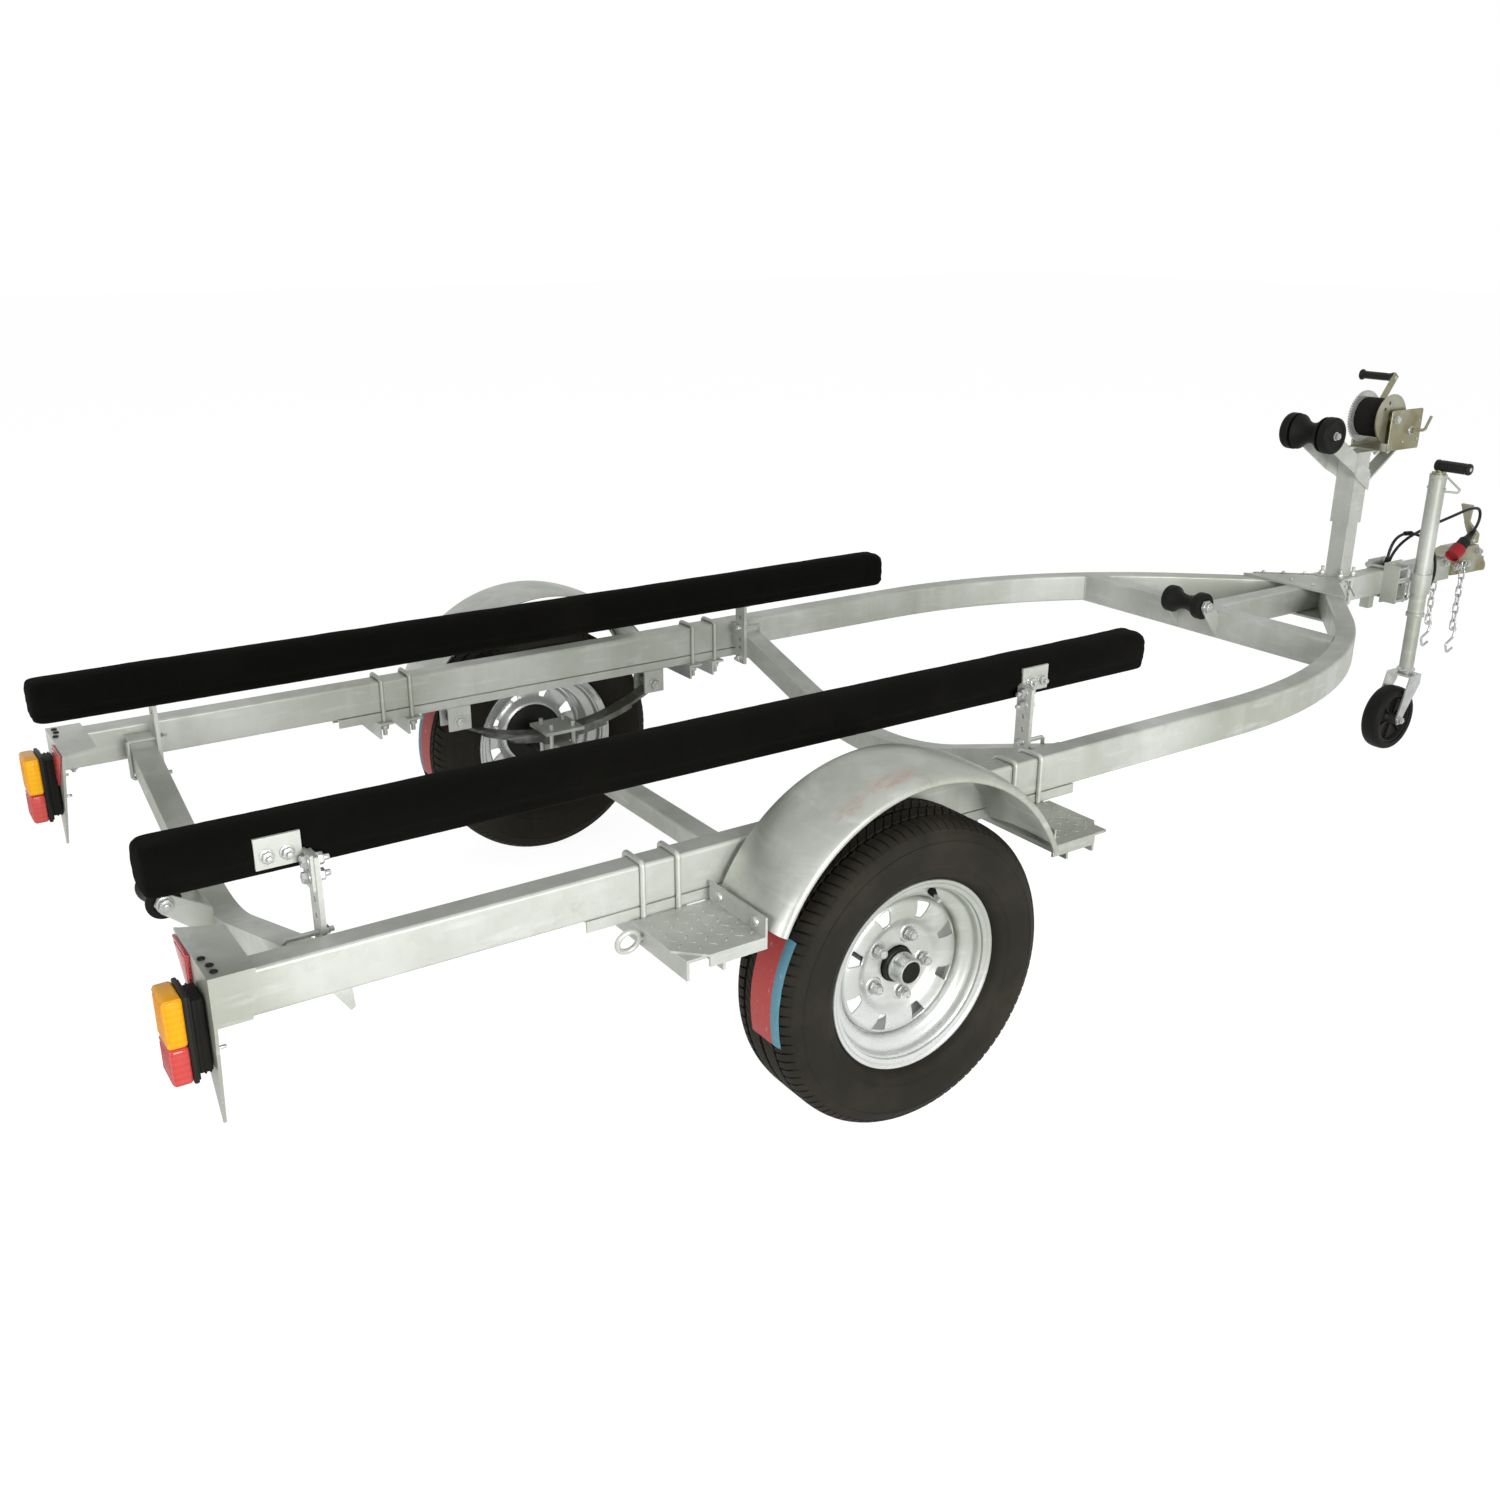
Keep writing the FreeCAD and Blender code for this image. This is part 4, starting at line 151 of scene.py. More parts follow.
class Sock:
    """A shader value. Sums on it add Math nodes to its tree."""

    def __init__(self, tree: "Tree", out: bpy.types.NodeSocket) -> None:
        """Keep the value's tree and its output socket."""
        self.tree, self.out = tree, out

    def _math(self, op: str, a: object, b: object = None) -> "Sock":
        """A Math node on one or two values."""
        return self.tree.add("ShaderNodeMath", {0: a} if b is None else {0: a, 1: b}, operation=op)

    def __add__(self, other: object) -> "Sock":
        """Sum."""
        return self._math("ADD", self, other)

    def __sub__(self, other: object) -> "Sock":
        """Difference."""
        return self._math("SUBTRACT", self, other)

    def __mul__(self, other: object) -> "Sock":
        """Product."""
        return self._math("MULTIPLY", self, other)

    def __truediv__(self, other: object) -> "Sock":
        """Quotient."""
        return self._math("DIVIDE", self, other)

    def __pow__(self, other: object) -> "Sock":
        """Power."""
        return self._math("POWER", self, other)

    def __rsub__(self, other: object) -> "Sock":
        """Difference from a plain number."""
        return self._math("SUBTRACT", other, self)

    def step(self, low: float, high: float) -> "Sock":
        """The value stretched so that low gives 0 and high gives 1."""
        return self.tree.add("ShaderNodeMapRange", {"Value": self, "From Min": low, "From Max": high}, clamp=True)

    def spread(self, low: float, high: float) -> "Sock":
        """A value from 0 to 1 laid between two levels."""
        return self * (high - low) + low

    def absolute(self) -> "Sock":
        """The value without its sign."""
        return self._math("ABSOLUTE", self)

    def sine(self) -> "Sock":
        """Sine of the value in radians."""
        return self._math("SINE", self)


class Tree:
    """The node tree of one material or world, built by short calls."""

    def __init__(self, owner: bpy.types.ID) -> None:
        """Clear the owner's nodes and take its object coordinates.

        Args:
            owner: the material or world.
        """
        self.owner = owner
        owner.use_nodes = True
        self.nodes, self.links = owner.node_tree.nodes, owner.node_tree.links
        self.nodes.clear()
        self.place = self.raw("ShaderNodeTexCoord").outputs["Object"]

    def raw(self, kind: str, inputs: dict | None = None, **settings: object) -> bpy.types.Node:
        """A node, with its settings made first and its inputs after.

        Args:
            kind: node type.
            inputs: values or sockets by input name or number.
            **settings: the node's own properties.

        Returns:
            The node.
        """
        node = self.nodes.new(kind)
        for key, value in settings.items():
            setattr(node, key, value)
        for key, value in (inputs or {}).items():
            self.feed(node.inputs[key], value)
        return node

    def feed(self, socket: bpy.types.NodeSocket, value: object) -> None:
        """Link or set one input.

        Args:
            socket: the input.
            value: a Sock or socket to link, or a plain value.
        """
        value = value.out if isinstance(value, Sock) else value
        if isinstance(value, bpy.types.NodeSocket):
            self.links.new(value, socket)
        else:
            socket.default_value = value

    def add(self, kind: str, inputs: dict | None = None, out: int = 0, **settings: object) -> Sock:
        """As raw, and its output as a Sock."""
        return Sock(self, self.raw(kind, inputs, **settings).outputs[out])

    def noise(self, scale: float, detail: float = 3.0, rough: float = 0.55, place: object = None) -> Sock:
        """Noise at a scale in cells per metre."""
        ins = {"Vector": place or self.place, "Scale": scale, "Detail": detail, "Roughness": rough}
        return self.add("ShaderNodeTexNoise", ins)

    def cells(self, scale: float, feature: str = "F1", out: int = 0) -> Sock:
        """Voronoi cells at a scale in cells per metre."""
        return self.add("ShaderNodeTexVoronoi", {"Vector": self.place, "Scale": scale}, out, feature=feature)

    def grey_cells(self, scale: float) -> Sock:
        """One grey for each cell."""
        return self.add("ShaderNodeRGBToBW", {0: self.cells(scale, "F1", 1)})

    def mix(self, share: object, a: object, b: object) -> Sock:
        """A colour between a and b.

        Args:
            share: how much of b, from 0 to 1.
            a: first colour.
            b: second colour.

        Returns:
            The mixed colour.
        """
        node = self.raw("ShaderNodeMix", data_type="RGBA")
        self.feed(node.inputs[0], share)
        for socket, value in ((node.inputs[6], a), (node.inputs[7], b)):
            self.feed(socket, (*value, 1.0) if isinstance(value, tuple) else value)
        return Sock(self, node.outputs[2])

    def axes(self) -> list:
        """The three coordinates, in metres."""
        node = self.raw("ShaderNodeSeparateXYZ", {0: self.place})
        return [Sock(self, node.outputs[i]) for i in range(3)]

    def moved(self, scale: tuple) -> bpy.types.NodeSocket:
        """The coordinates stretched along the axes."""
        return self.raw("ShaderNodeMapping", {"Vector": self.place, "Scale": scale}).outputs[0]

    def bump(self, height: Sock, distance: float, strength: float = 1.0) -> Sock:
        """A normal from a height from 0 to 1."""
        return self.add("ShaderNodeBump", {"Height": height, "Distance": distance, "Strength": strength})

    def surface(self, colour: object, rough: object, metal: object, normal: Sock | None = None,
                **extra: object) -> None:
        """Close the tree with the surface shader.

        Args:
            colour: base colour.
            rough: roughness.
            metal: metallic share.
            normal: bumped normal.
            **extra: other inputs, with _ for a space.
        """
        ins = {"Base Color": colour, "Roughness": rough, "Metallic": metal}
        if normal is not None:
            ins["Normal"] = normal
        ins.update({k.replace("_", " "): v for k, v in extra.items()})
        self.close(self.raw("ShaderNodeBsdfPrincipled", ins))

    def close(self, shader: bpy.types.Node, kind: str = "ShaderNodeOutputMaterial") -> None:
        """Join the last shader to the output."""
        self.links.new(shader.outputs[0], self.raw(kind).inputs[0])

    def seen(self) -> Sock:
        """1 on rays from the camera and on those that mirrors and lenses pass on.

        Returns:
            The value, for a shader's mixing share.
        """
        path = self.raw("ShaderNodeLightPath")
        rays = [Sock(self, path.outputs[name]) for name in ("Is Camera Ray", "Is Glossy Ray", "Is Transmission Ray")]
        return (rays[0] + rays[1] + rays[2]).step(0, 1)


def galvanised(f: Finish, t: Tree) -> None:
    """Dipped zinc: cloudy patches, faint spangle, pale runs, white bloom and brown handling stains.

    Args:
        f: the finish.
        t: its material's tree.
    """
    cloud = t.noise(f.scale * 0.10, 4, 0.6).step(0.34, 0.68)
    grey = t.grey_cells(f.scale)
    fine = t.noise(f.scale * 9, 4, 0.6)
    runs = t.noise(9, 3, 0.5, t.moved((1, 1, 6))).step(0.55, 0.75)
    stain = t.noise(5.5, 5, 0.65, t.moved((1, 1, 1.6))).step(0.60, 0.74) * t.noise(40, 4, 0.7).step(0.40, 0.62)
    speck = t.noise(160, 3, 0.6).step(0.66, 0.72)
    slow = t.noise(1.9, 3, 0.5).step(0.44, 0.60)
    drips = t.noise(24, 3, 0.55, t.moved((1, 1, 0.10))).step(0.50, 0.66)
    colour = t.mix(cloud * 0.75 + grey * 0.25, f.base, f.second)
    colour = t.mix(slow * 0.55, colour, (0.26, 0.28, 0.21))
    colour = t.mix(runs * 0.28 + drips * 0.10, colour, (0.74, 0.75, 0.73))
    x, y, _ = t.axes()
    for at_x, at_y, long, wide, strength in f.smears:
        near = (1.0 - ((x - at_x) / long) ** 2.0 - ((y - at_y) / wide) ** 2.0).step(0.0, 0.7)
        broken = t.noise(70, 5, 0.75, t.moved((0.35, 1, 1))).step(0.40, 0.66)
        colour = t.mix(near * broken * (strength * 0.75), colour, (0.42, 0.17, 0.13))
    colour = t.mix(stain * f.wear, colour, (0.24, 0.17, 0.12))
    colour = t.mix(speck * (f.wear * 0.5), colour, (0.20, 0.19, 0.17))
    rough = (cloud * 0.6 + fine * 0.4).spread(*f.rough) + grey * 0.05 + stain * 0.15
    t.surface(colour, rough, f.metal, t.bump(fine * 0.6 + cloud * 0.4, f.bump * 6, 0.5))


def plated(f: Finish, t: Tree) -> None:
    """Plated steel: a thin passivated film with a slow colour drift.

    Args:
        f: the finish.
        t: its material's tree.
    """
    drift = t.noise(f.scale, 3, 0.5).step(0.32, 0.70)
    film = t.noise(f.scale * 0.4, 2, 0.5).step(0.5, 0.72)
    fine = t.noise(700, 3, 0.6)
    colour = t.mix(film * 0.35, t.mix(drift, f.base, f.second), (0.62, 0.64, 0.60))
    t.surface(colour, (fine * 0.5 + drift * 0.5).spread(*f.rough), f.metal, t.bump(fine, f.bump * 4, 0.35))


def rubber(f: Finish, t: Tree) -> None:
    """Moulded rubber: dusty bloom and a fine skin.

    Args:
        f: the finish.
        t: its material's tree.
    """
    bloom = t.noise(7, 4, 0.6).step(0.42, 0.72)
    fine = t.noise(f.scale * 5, 4, 0.6)
    scuff = t.noise(30, 5, 0.65).step(0.60, 0.74)
    colour = t.mix(bloom * 0.8 + scuff * 0.2, f.base, f.second)
    t.surface(colour, (bloom * 0.5 + fine * 0.5).spread(*f.rough), 0.0, t.bump(fine, f.bump * 3, 0.5),
              Specular_IOR_Level=f.shine)


def plastic(f: Finish, t: Tree) -> None:
    """Moulded plastic: an even colour over a fine texture.

    Args:
        f: the finish.
        t: its material's tree.
    """
    fine = t.noise(f.scale * 6, 3, 0.6)
    tone = t.noise(12, 2, 0.5).step(0.35, 0.7)
    t.surface(t.mix(tone, f.base, f.second), fine.spread(*f.rough), 0.0, t.bump(fine, f.bump * 4, 0.4),
              Specular_IOR_Level=f.shine)


def carpet(f: Finish, t: Tree) -> None:
    """Needled covering: short matted fibres, lighter where they catch dust.

    Args:
        f: the finish.
        t: its material's tree.
    """
    fibre = t.noise(f.scale, 4, 0.75)
    tuft = t.cells(f.scale * 0.7)
    dust = t.noise(6, 4, 0.6).step(0.48, 0.74)
    colour = t.mix(fibre.step(0.35, 0.75) * 0.6 + dust * 0.4, f.base, f.second)
    t.surface(colour, fibre.spread(*f.rough), 0.0, t.bump(fibre * 0.6 + tuft * 0.4, f.bump, 0.8),
              Specular_IOR_Level=f.shine, Sheen_Weight=0.02, Sheen_Roughness=0.6)


def webbing(f: Finish, t: Tree) -> None:
    """Woven strap: fine ribs round the wound layers.

    Args:
        f: the finish.
        t: its material's tree.
    """
    warp = (t.axes()[1] * (f.scale * 6.28)).sine() * 0.5 + 0.5
    cross = t.noise(f.scale, 3, 0.6)
    colour = t.mix(warp * 0.5 + cross * 0.5, f.base, f.second)
    t.surface(colour, cross.spread(*f.rough), 0.0, t.bump(warp * 0.7 + cross * 0.3, f.bump, 0.7),
              Specular_IOR_Level=f.shine)


def lens(f: Finish, t: Tree) -> None:
    """Moulded lens: upright flutes under a clear outer skin, with a faint painted glow in its own colour.

    Args:
        f: the finish.
        t: its material's tree.
    """
    _, y, z = t.axes()
    flutes = (y * (f.scale * 6.28)).sine() * 0.5 + 0.5
    rows = (z * (f.scale * 2.4)).sine() * 0.5 + 0.5
    colour = t.mix(flutes * 0.6 + rows * 0.25, f.base, f.second)
    # the emission is a painted glow: the unlit lens gives off a little light in its own colour
    t.surface(colour, rows.spread(*f.rough), 0.0, t.bump(flutes * 0.7 + rows * 0.3, f.bump * 0.6, 0.6),
              Specular_IOR_Level=f.shine, Coat_Weight=0.12, Coat_Roughness=0.10, Emission_Color=(*f.base, 1.0),
              Emission_Strength=0.06)


def prism(f: Finish, t: Tree) -> None:
    """Reflector: small cube corners behind a clear face.

    Args:
        f: the finish.
        t: its material's tree.
    """
    edge = t.cells(f.scale, "DISTANCE_TO_EDGE").step(0.0, 0.25)
    face = t.grey_cells(f.scale)
    colour = t.mix(edge, (0.75, 0.10, 0.10), t.mix(face, f.base, f.second))
    t.surface(colour, face.spread(*f.rough), 0.0, t.bump(face, f.bump, 0.6), Specular_IOR_Level=f.shine,
              Coat_Weight=0.3, Coat_Roughness=0.08)


def label(f: Finish, t: Tree) -> None:
    """A printed paper band: red with a blue stripe along one side, bare of words.

    Args:
        f: the finish.
        t: its material's tree.
    """
    blue = (t.axes()[1].absolute() - 0.768).step(-0.0006, 0.0006)
    fibre = t.noise(900, 3, 0.6)
    worn = t.noise(60, 4, 0.6).step(0.62, 0.74)
    colour = t.mix(worn * 0.35 + fibre * 0.08, t.mix(blue, f.base, f.second), (0.62, 0.55, 0.52))
    t.surface(colour, fibre.spread(*f.rough), 0.0, t.bump(fibre, f.bump * 4, 0.3), Specular_IOR_Level=f.shine)


RECIPES = {Kind.GALVANISED: galvanised, Kind.PLATED: plated, Kind.RUBBER: rubber, Kind.PLASTIC: plastic,
           Kind.CARPET: carpet, Kind.WEBBING: webbing, Kind.LENS: lens, Kind.PRISM: prism, Kind.LABEL: label}
MADE: dict[str, bpy.types.Material] = {}


def paint(finish: Finish) -> bpy.types.Material:
    """The material of a finish, made once.

    Args:
        finish: the surface wanted.

    Returns:
        Its material.
    """
    if finish.name not in MADE:
        MADE[finish.name] = bpy.data.materials.new(finish.name)
        RECIPES[finish.kind](finish, Tree(MADE[finish.name]))
    return MADE[finish.name]


def stand(name: str, data: bpy.types.ID) -> bpy.types.Object:
    """A new object that stands in the scene.

    Args:
        name: its name.
        data: its mesh, curve, lamp or camera.

    Returns:
        The object.
    """
    obj = bpy.data.objects.new(name, data)
    bpy.context.scene.collection.objects.link(obj)
    return obj


class Piece:
    """One mesh of the scene, built in the row frame, in millimetres."""

    def __init__(self, name: str, finish: Finish, body: str = "chassis") -> None:
        """Start an empty piece.

        Args:
            name: the object's name.
            finish: its surface.
            body: the CAD body that it rides on.
        """
        self.name, self.body, self.finish, self.slot = name, body, finish, finish.slot or finish.name
        self.bm = bmesh.new()

    def _soften(self, verts: list, width: float, segments: int = 2, ends: bool = False) -> None:
        """Bevel the edges of new vertices.

        Args:
            verts: the vertices.
            width: width of the bevel.
            segments: its steps.
            ends: whether only the edges round end faces of more than four corners get it.
        """
        edges = {e for v in verts for e in v.link_edges}
        if ends:
            edges = {e for e in edges if any(len(f.verts) > 4 for f in e.link_faces)}
        bmesh.ops.bevel(self.bm, geom=list(edges), offset=width, offset_type="OFFSET", segments=segments, profile=0.5,
                        affect="EDGES", material=-1, clamp_overlap=True)

    @staticmethod
    def _frame(centre: Vector, axis: Vector, turn: float = 0.0) -> Matrix:
        """A placing whose Z lies along an axis.

        Args:
            centre: its origin.
            axis: the way of its Z.
            turn: turn about the axis, in radians.

        Returns:
            The placing.
        """
        axis = axis.normalized()
        side = (axis.cross(Z) if abs(axis.z) < 0.95 else axis.cross(X)).normalized()
        rot = Matrix((side, axis.cross(side), axis)).transposed()
        return Matrix.Translation(centre) @ rot.to_4x4() @ Matrix.Rotation(turn, 4, "Z")

    def block(self, low: tuple, high: tuple, bevel: float = 0.0, segments: int = 2,
              turn: Matrix | None = None) -> "Piece":
        """A box between two corners with softened edges, turned about its middle.

        Args:
            low: lowest corner.
            high: highest corner.
            bevel: width of its bevelled edges.
            segments: steps of the bevel.
            turn: turn about its middle.

        Returns:
            The piece itself, as every shaping method does.
        """
        low, high = Vector(low), Vector(high)
        size = Matrix.Diagonal((*(high - low), 1))
        mat = Matrix.Translation((low + high) / 2) @ (turn or Matrix.Identity(4)) @ size
        new = bmesh.ops.create_cube(self.bm, size=1, matrix=mat)["verts"]
        if bevel:
            self._soften(new, bevel, segments)
        return self

    def rod(self, a: tuple, b: tuple, radius: float, sides: int = 20, end: float | None = None,
            bevel: float = 0.0) -> "Piece":
        """A round bar, or a cone where its end radius is given.

        Args:
            a: middle of its first end.
            b: middle of its last end.
            radius: radius at a.
            sides: flats round it.
            end: radius at b, where it differs.
            bevel: width of the bevel round its ends.

        Returns:
            The piece itself.
        """
        a, b = Vector(a), Vector(b)
        new = bmesh.ops.create_cone(self.bm, cap_ends=True, segments=sides, radius1=radius,
                                    radius2=radius if end is None else end, depth=(b - a).length,
                                    matrix=self._frame((a + b) / 2, b - a))["verts"]
        if bevel:
            self._soften(new, bevel, 2, True)
        return self

    def nut(self, seat: tuple, axis: tuple, across: float, height: float = 0.0, stud: float = 0.0, turn: float = 0.3,
            washer: bool = True) -> "Piece":
        """A hexagon nut with its washer, and the end of its bolt where stud is given.

        Args:
            seat: where its axis meets the face that it is tightened on.
            axis: the way it stands out.
            across: width over the flats.
            height: height of the hexagon, or 0 for the usual one.
            stud: how far the bolt stands out of it.
            turn: turn about its axis, in radians.
            washer: whether a washer lies under it.

        Returns:
            The piece itself.
        """
        seat, axis = Vector(seat), Vector(axis).normalized()
        height, base = height or across * 0.5, 0.0
        if washer:
            base = across * 0.13
            self.rod(seat, seat + axis * base, across * 0.68, 24, bevel=across * 0.03)
        mid = seat + axis * (base + height / 2)
        new = bmesh.ops.create_cone(self.bm, cap_ends=True, segments=6, radius1=across * 0.577,
                                    radius2=across * 0.577, depth=height,
                                    matrix=self._frame(mid, axis, turn))["verts"]
        self._soften(new, across * 0.05, 2, True)
        if stud:
            top = seat + axis * (base + height)
            self.rod(top - axis, top + axis * stud, across * 0.29, 16, bevel=across * 0.06)
        return self

    def tube(self, points: list, radius: float, sides: int = 12, bend: float = 0.0, closed: bool = False) -> "Piece":
        """A round bar along points.

        Args:
            points: its middle line.
            radius: its radius.
            sides: flats round it.
            bend: radius of the arcs at its corners.
            closed: whether its last point joins its first.

        Returns:
            The piece itself.
        """
        pts = [Vector(p) for p in points]
        if bend:
            pts = self._eased_route(pts, bend)
        way = pts[1] - (pts[-1] if closed else pts[0])
        ring = bmesh.ops.create_circle(self.bm, cap_ends=not closed, segments=sides, radius=radius,
                                       matrix=self._frame(pts[0], way))["verts"]
        first = list(ring)
        for i, place in enumerate(pts[1:], 1):
            nxt = pts[(i + 1) % len(pts)] if i + 1 < len(pts) or closed else None
            edges = list({e for v in ring for e in v.link_edges if e.other_vert(v) in ring})
            new = bmesh.ops.extrude_edge_only(self.bm, edges=edges)["geom"]
            ring = [g for g in new if isinstance(g, bmesh.types.BMVert)]
            bmesh.ops.translate(self.bm, verts=ring, vec=place - pts[i - 1])
            if nxt is not None:
                along = (place - pts[i - 1]).normalized()
                cut_plane = (along + (nxt - place).normalized()).normalized()
                for v in ring:
                    v.co += along * ((place - v.co).dot(cut_plane) / along.dot(cut_plane))
        if closed:
            loops = {e for part in (first, ring) for v in part for e in v.link_edges if e.other_vert(v) in part}
            bmesh.ops.bridge_loops(self.bm, edges=list(loops))
        else:
            edges = list({e for v in ring for e in v.link_edges if e.other_vert(v) in ring})
            bmesh.ops.holes_fill(self.bm, edges=edges, sides=0)
        return self

    @staticmethod
    def _eased_route(pts: list, bend: float) -> list:
        """The route with each inner corner given as an arc of five points.

        Args:
            pts: the route's corners.
            bend: radius of the arcs.

        Returns:
            The eased route.
        """
        out = [pts[0]]
        for a, b, c in zip(pts, pts[1:], pts[2:]):
            one, two = (a - b).normalized(), (c - b).normalized()
            half = one.angle(two) / 2
            back = min(bend / math.tan(half), 0.48 * min((a - b).length, (c - b).length))
            middle = b + (one + two).normalized() * (back / math.cos(half))
            reach = back * math.tan(half)
            start, stop = b + one * back - middle, b + two * back - middle
            out += [middle + start.slerp(stop, k / 4).normalized() * reach for k in range(5)]
        return out + [pts[-1]]

    def lathe(self, profile: list, centre: tuple, axis: tuple, steps: int = 64, sweep: float = 2 * math.pi,
              start: float = 0.0) -> "Piece":
        """A turned form.

        Args:
            profile: rows of (radius, along the axis).
            centre: where the axis has its zero.
            axis: the way of the axis.
            steps: steps round it.
            sweep: how far it is turned, in radians.
            start: where the sweep starts, in radians.

        Returns:
            The piece itself.
        """
        centre, axis = Vector(centre), Vector(axis).normalized()
        side = (axis.cross(Z) if abs(axis.z) < 0.9 else axis.cross(X)).normalized()
        side.rotate(Matrix.Rotation(start, 3, axis))
        verts = [self.bm.verts.new(centre + side * r + axis * h) for r, h in profile]
        edges = [self.bm.edges.new(pair) for pair in zip(verts, verts[1:])]
        bmesh.ops.spin(self.bm, geom=verts + edges, cent=centre, axis=axis, angle=sweep, steps=steps,
                       use_merge=sweep >= 2 * math.pi, use_normal_flip=False, use_duplicate=False)
        poles = [v for v in self.bm.verts if (v.co - centre).cross(axis).length < 0.01]
        bmesh.ops.remove_doubles(self.bm, verts=poles, dist=0.02)
        return self

    def turned(self, section: list, centre: tuple, axis: tuple, steps: int) -> "Piece":
        """A turned ring whose section closes on itself.

        Args:
            section: rows of (radius, along the axis), without the first one again.
            centre: where the axis has its zero.
            axis: the way of the axis.
            steps: steps round it.

        Returns:
            The piece itself.
        """
        self.lathe(list(section) + list(section[:1]), centre, axis, steps)
        bmesh.ops.remove_doubles(self.bm, verts=self.bm.verts, dist=0.01)
        return self

    def plate(self, outline: list, thick: tuple, bevel: float = 0.0) -> "Piece":
        """A flat plate.

        Args:
            outline: its corners.
            thick: the vector that gives its thickness.
            bevel: width of its bevelled edges.

        Returns:
            The piece itself.
        """
        face = self.bm.faces.new([self.bm.verts.new(Vector(p)) for p in outline])
        new = bmesh.ops.extrude_face_region(self.bm, geom=[face])["geom"]
        top = [g for g in new if isinstance(g, bmesh.types.BMVert)]
        bmesh.ops.translate(self.bm, verts=top, vec=Vector(thick))
        if bevel:
            self._soften(top + list(face.verts), bevel)
        return self

    def weld(self, a: tuple, b: tuple, radius: float) -> "Piece":
        """A bead of weld laid in overlapping drops.

        Args:
            a: where it starts.
            b: where it ends.
            radius: radius of a drop.

        Returns:
            The piece itself.
        """
        a, b = Vector(a), Vector(b)
        count = max(2, int((b - a).length / (radius * 0.8)))
        for i in range(count):
            bmesh.ops.create_icosphere(self.bm, subdivisions=1, radius=radius * (0.95 + 0.12 * math.sin(i * 2.4)),
                                       matrix=Matrix.Translation(a.lerp(b, (i + 0.5) / count)))
        return self

    def _everything(self) -> list:
        """All that the mesh holds so far."""
        return [*self.bm.verts, *self.bm.edges, *self.bm.faces]

    def ring_of(self, count: int, centre: tuple, axis: tuple) -> "Piece":
        """Repeat everything made so far round an axis, evenly."""
        bmesh.ops.spin(self.bm, geom=self._everything(), cent=Vector(centre), axis=Vector(axis),
                       angle=2 * math.pi * (count - 1) / count, steps=count - 1, use_merge=False,
                       use_normal_flip=False, use_duplicate=True)
        return self

    def absorb(self, other: "Piece") -> "Piece":
        """Take over another piece's mesh.

        Args:
            other: the piece that ends here.

        Returns:
            The piece itself.
        """
        bmesh.ops.recalc_face_normals(other.bm, faces=other.bm.faces)
        mesh = bpy.data.meshes.new("passing")
        other.bm.to_mesh(mesh)
        other.bm.free()
        self.bm.from_mesh(mesh)
        bpy.data.meshes.remove(mesh)
        return self

    def both_sides(self) -> "Piece":
        """Add the mirror image across the trailer's middle plane."""
        bmesh.ops.mirror(self.bm, geom=self._everything(), axis="Y", merge_dist=-1)
        return self

    def done(self, angle: float = 38.0, replaces: tuple = (), round_up: int = 0) -> bpy.types.Object:
        """Write the mesh, mark its creases and give it to its body.

        Args:
            angle: faces that meet at more than this, in degrees, keep a crease.
            replaces: CAD nodes that it stands for.
            round_up: levels of subdivision.

        Returns:
            The finished object.
        """
        bmesh.ops.recalc_face_normals(self.bm, faces=self.bm.faces)
        bmesh.ops.scale(self.bm, vec=(MM, MM, MM), verts=self.bm.verts)
        limit = math.radians(angle)
        for e in self.bm.edges:
            e.smooth = len(e.link_faces) == 2 and e.calc_face_angle(4.0) < limit
        for f in self.bm.faces:
            f.smooth = True
        mesh = bpy.data.meshes.new(self.name)
        self.bm.to_mesh(mesh)
        self.bm.free()
        obj = stand(self.name, mesh)
        if round_up:
            sub = obj.modifiers.new("rounding", "SUBSURF")
            sub.levels = sub.render_levels = round_up
        mesh.materials.append(paint(self.finish))
        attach(obj, self.body)
        if replaces:
            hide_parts(*replaces)
        LOG.info("%s: %d faces", self.name, len(mesh.polygons))
        return obj


def laid(rows: tuple, place: float) -> float:
    """The height that a table gives at a place between its rows.

    Args:
        rows: rows of (place, height), in rising order.
        place: where the height is wanted.

    Returns:
        The height.
    """
    for (a, high_a), (b, high_b) in zip(rows, rows[1:]):
        if place <= b:
            return high_a + (high_b - high_a) * max(0.0, (place - a) / (b - a))
    return rows[-1][1]


def ridges(low: float, high: float, marks: tuple, pitch: float, count: int = 9) -> list:
    """Rows of a turned grip's moulded ridges.

    Args:
        low: radius between the ridges.
        high: radius on them.
        marks: where the first ridge starts, reaches its top, leaves it and ends.
        pitch: from ridge to ridge.
        count: number of ridges.

    Returns:
        Rows of (radius, along the axis).
    """
    return [(r, at + i * pitch) for i in range(count) for r, at in zip((low, high, high, low), marks)]


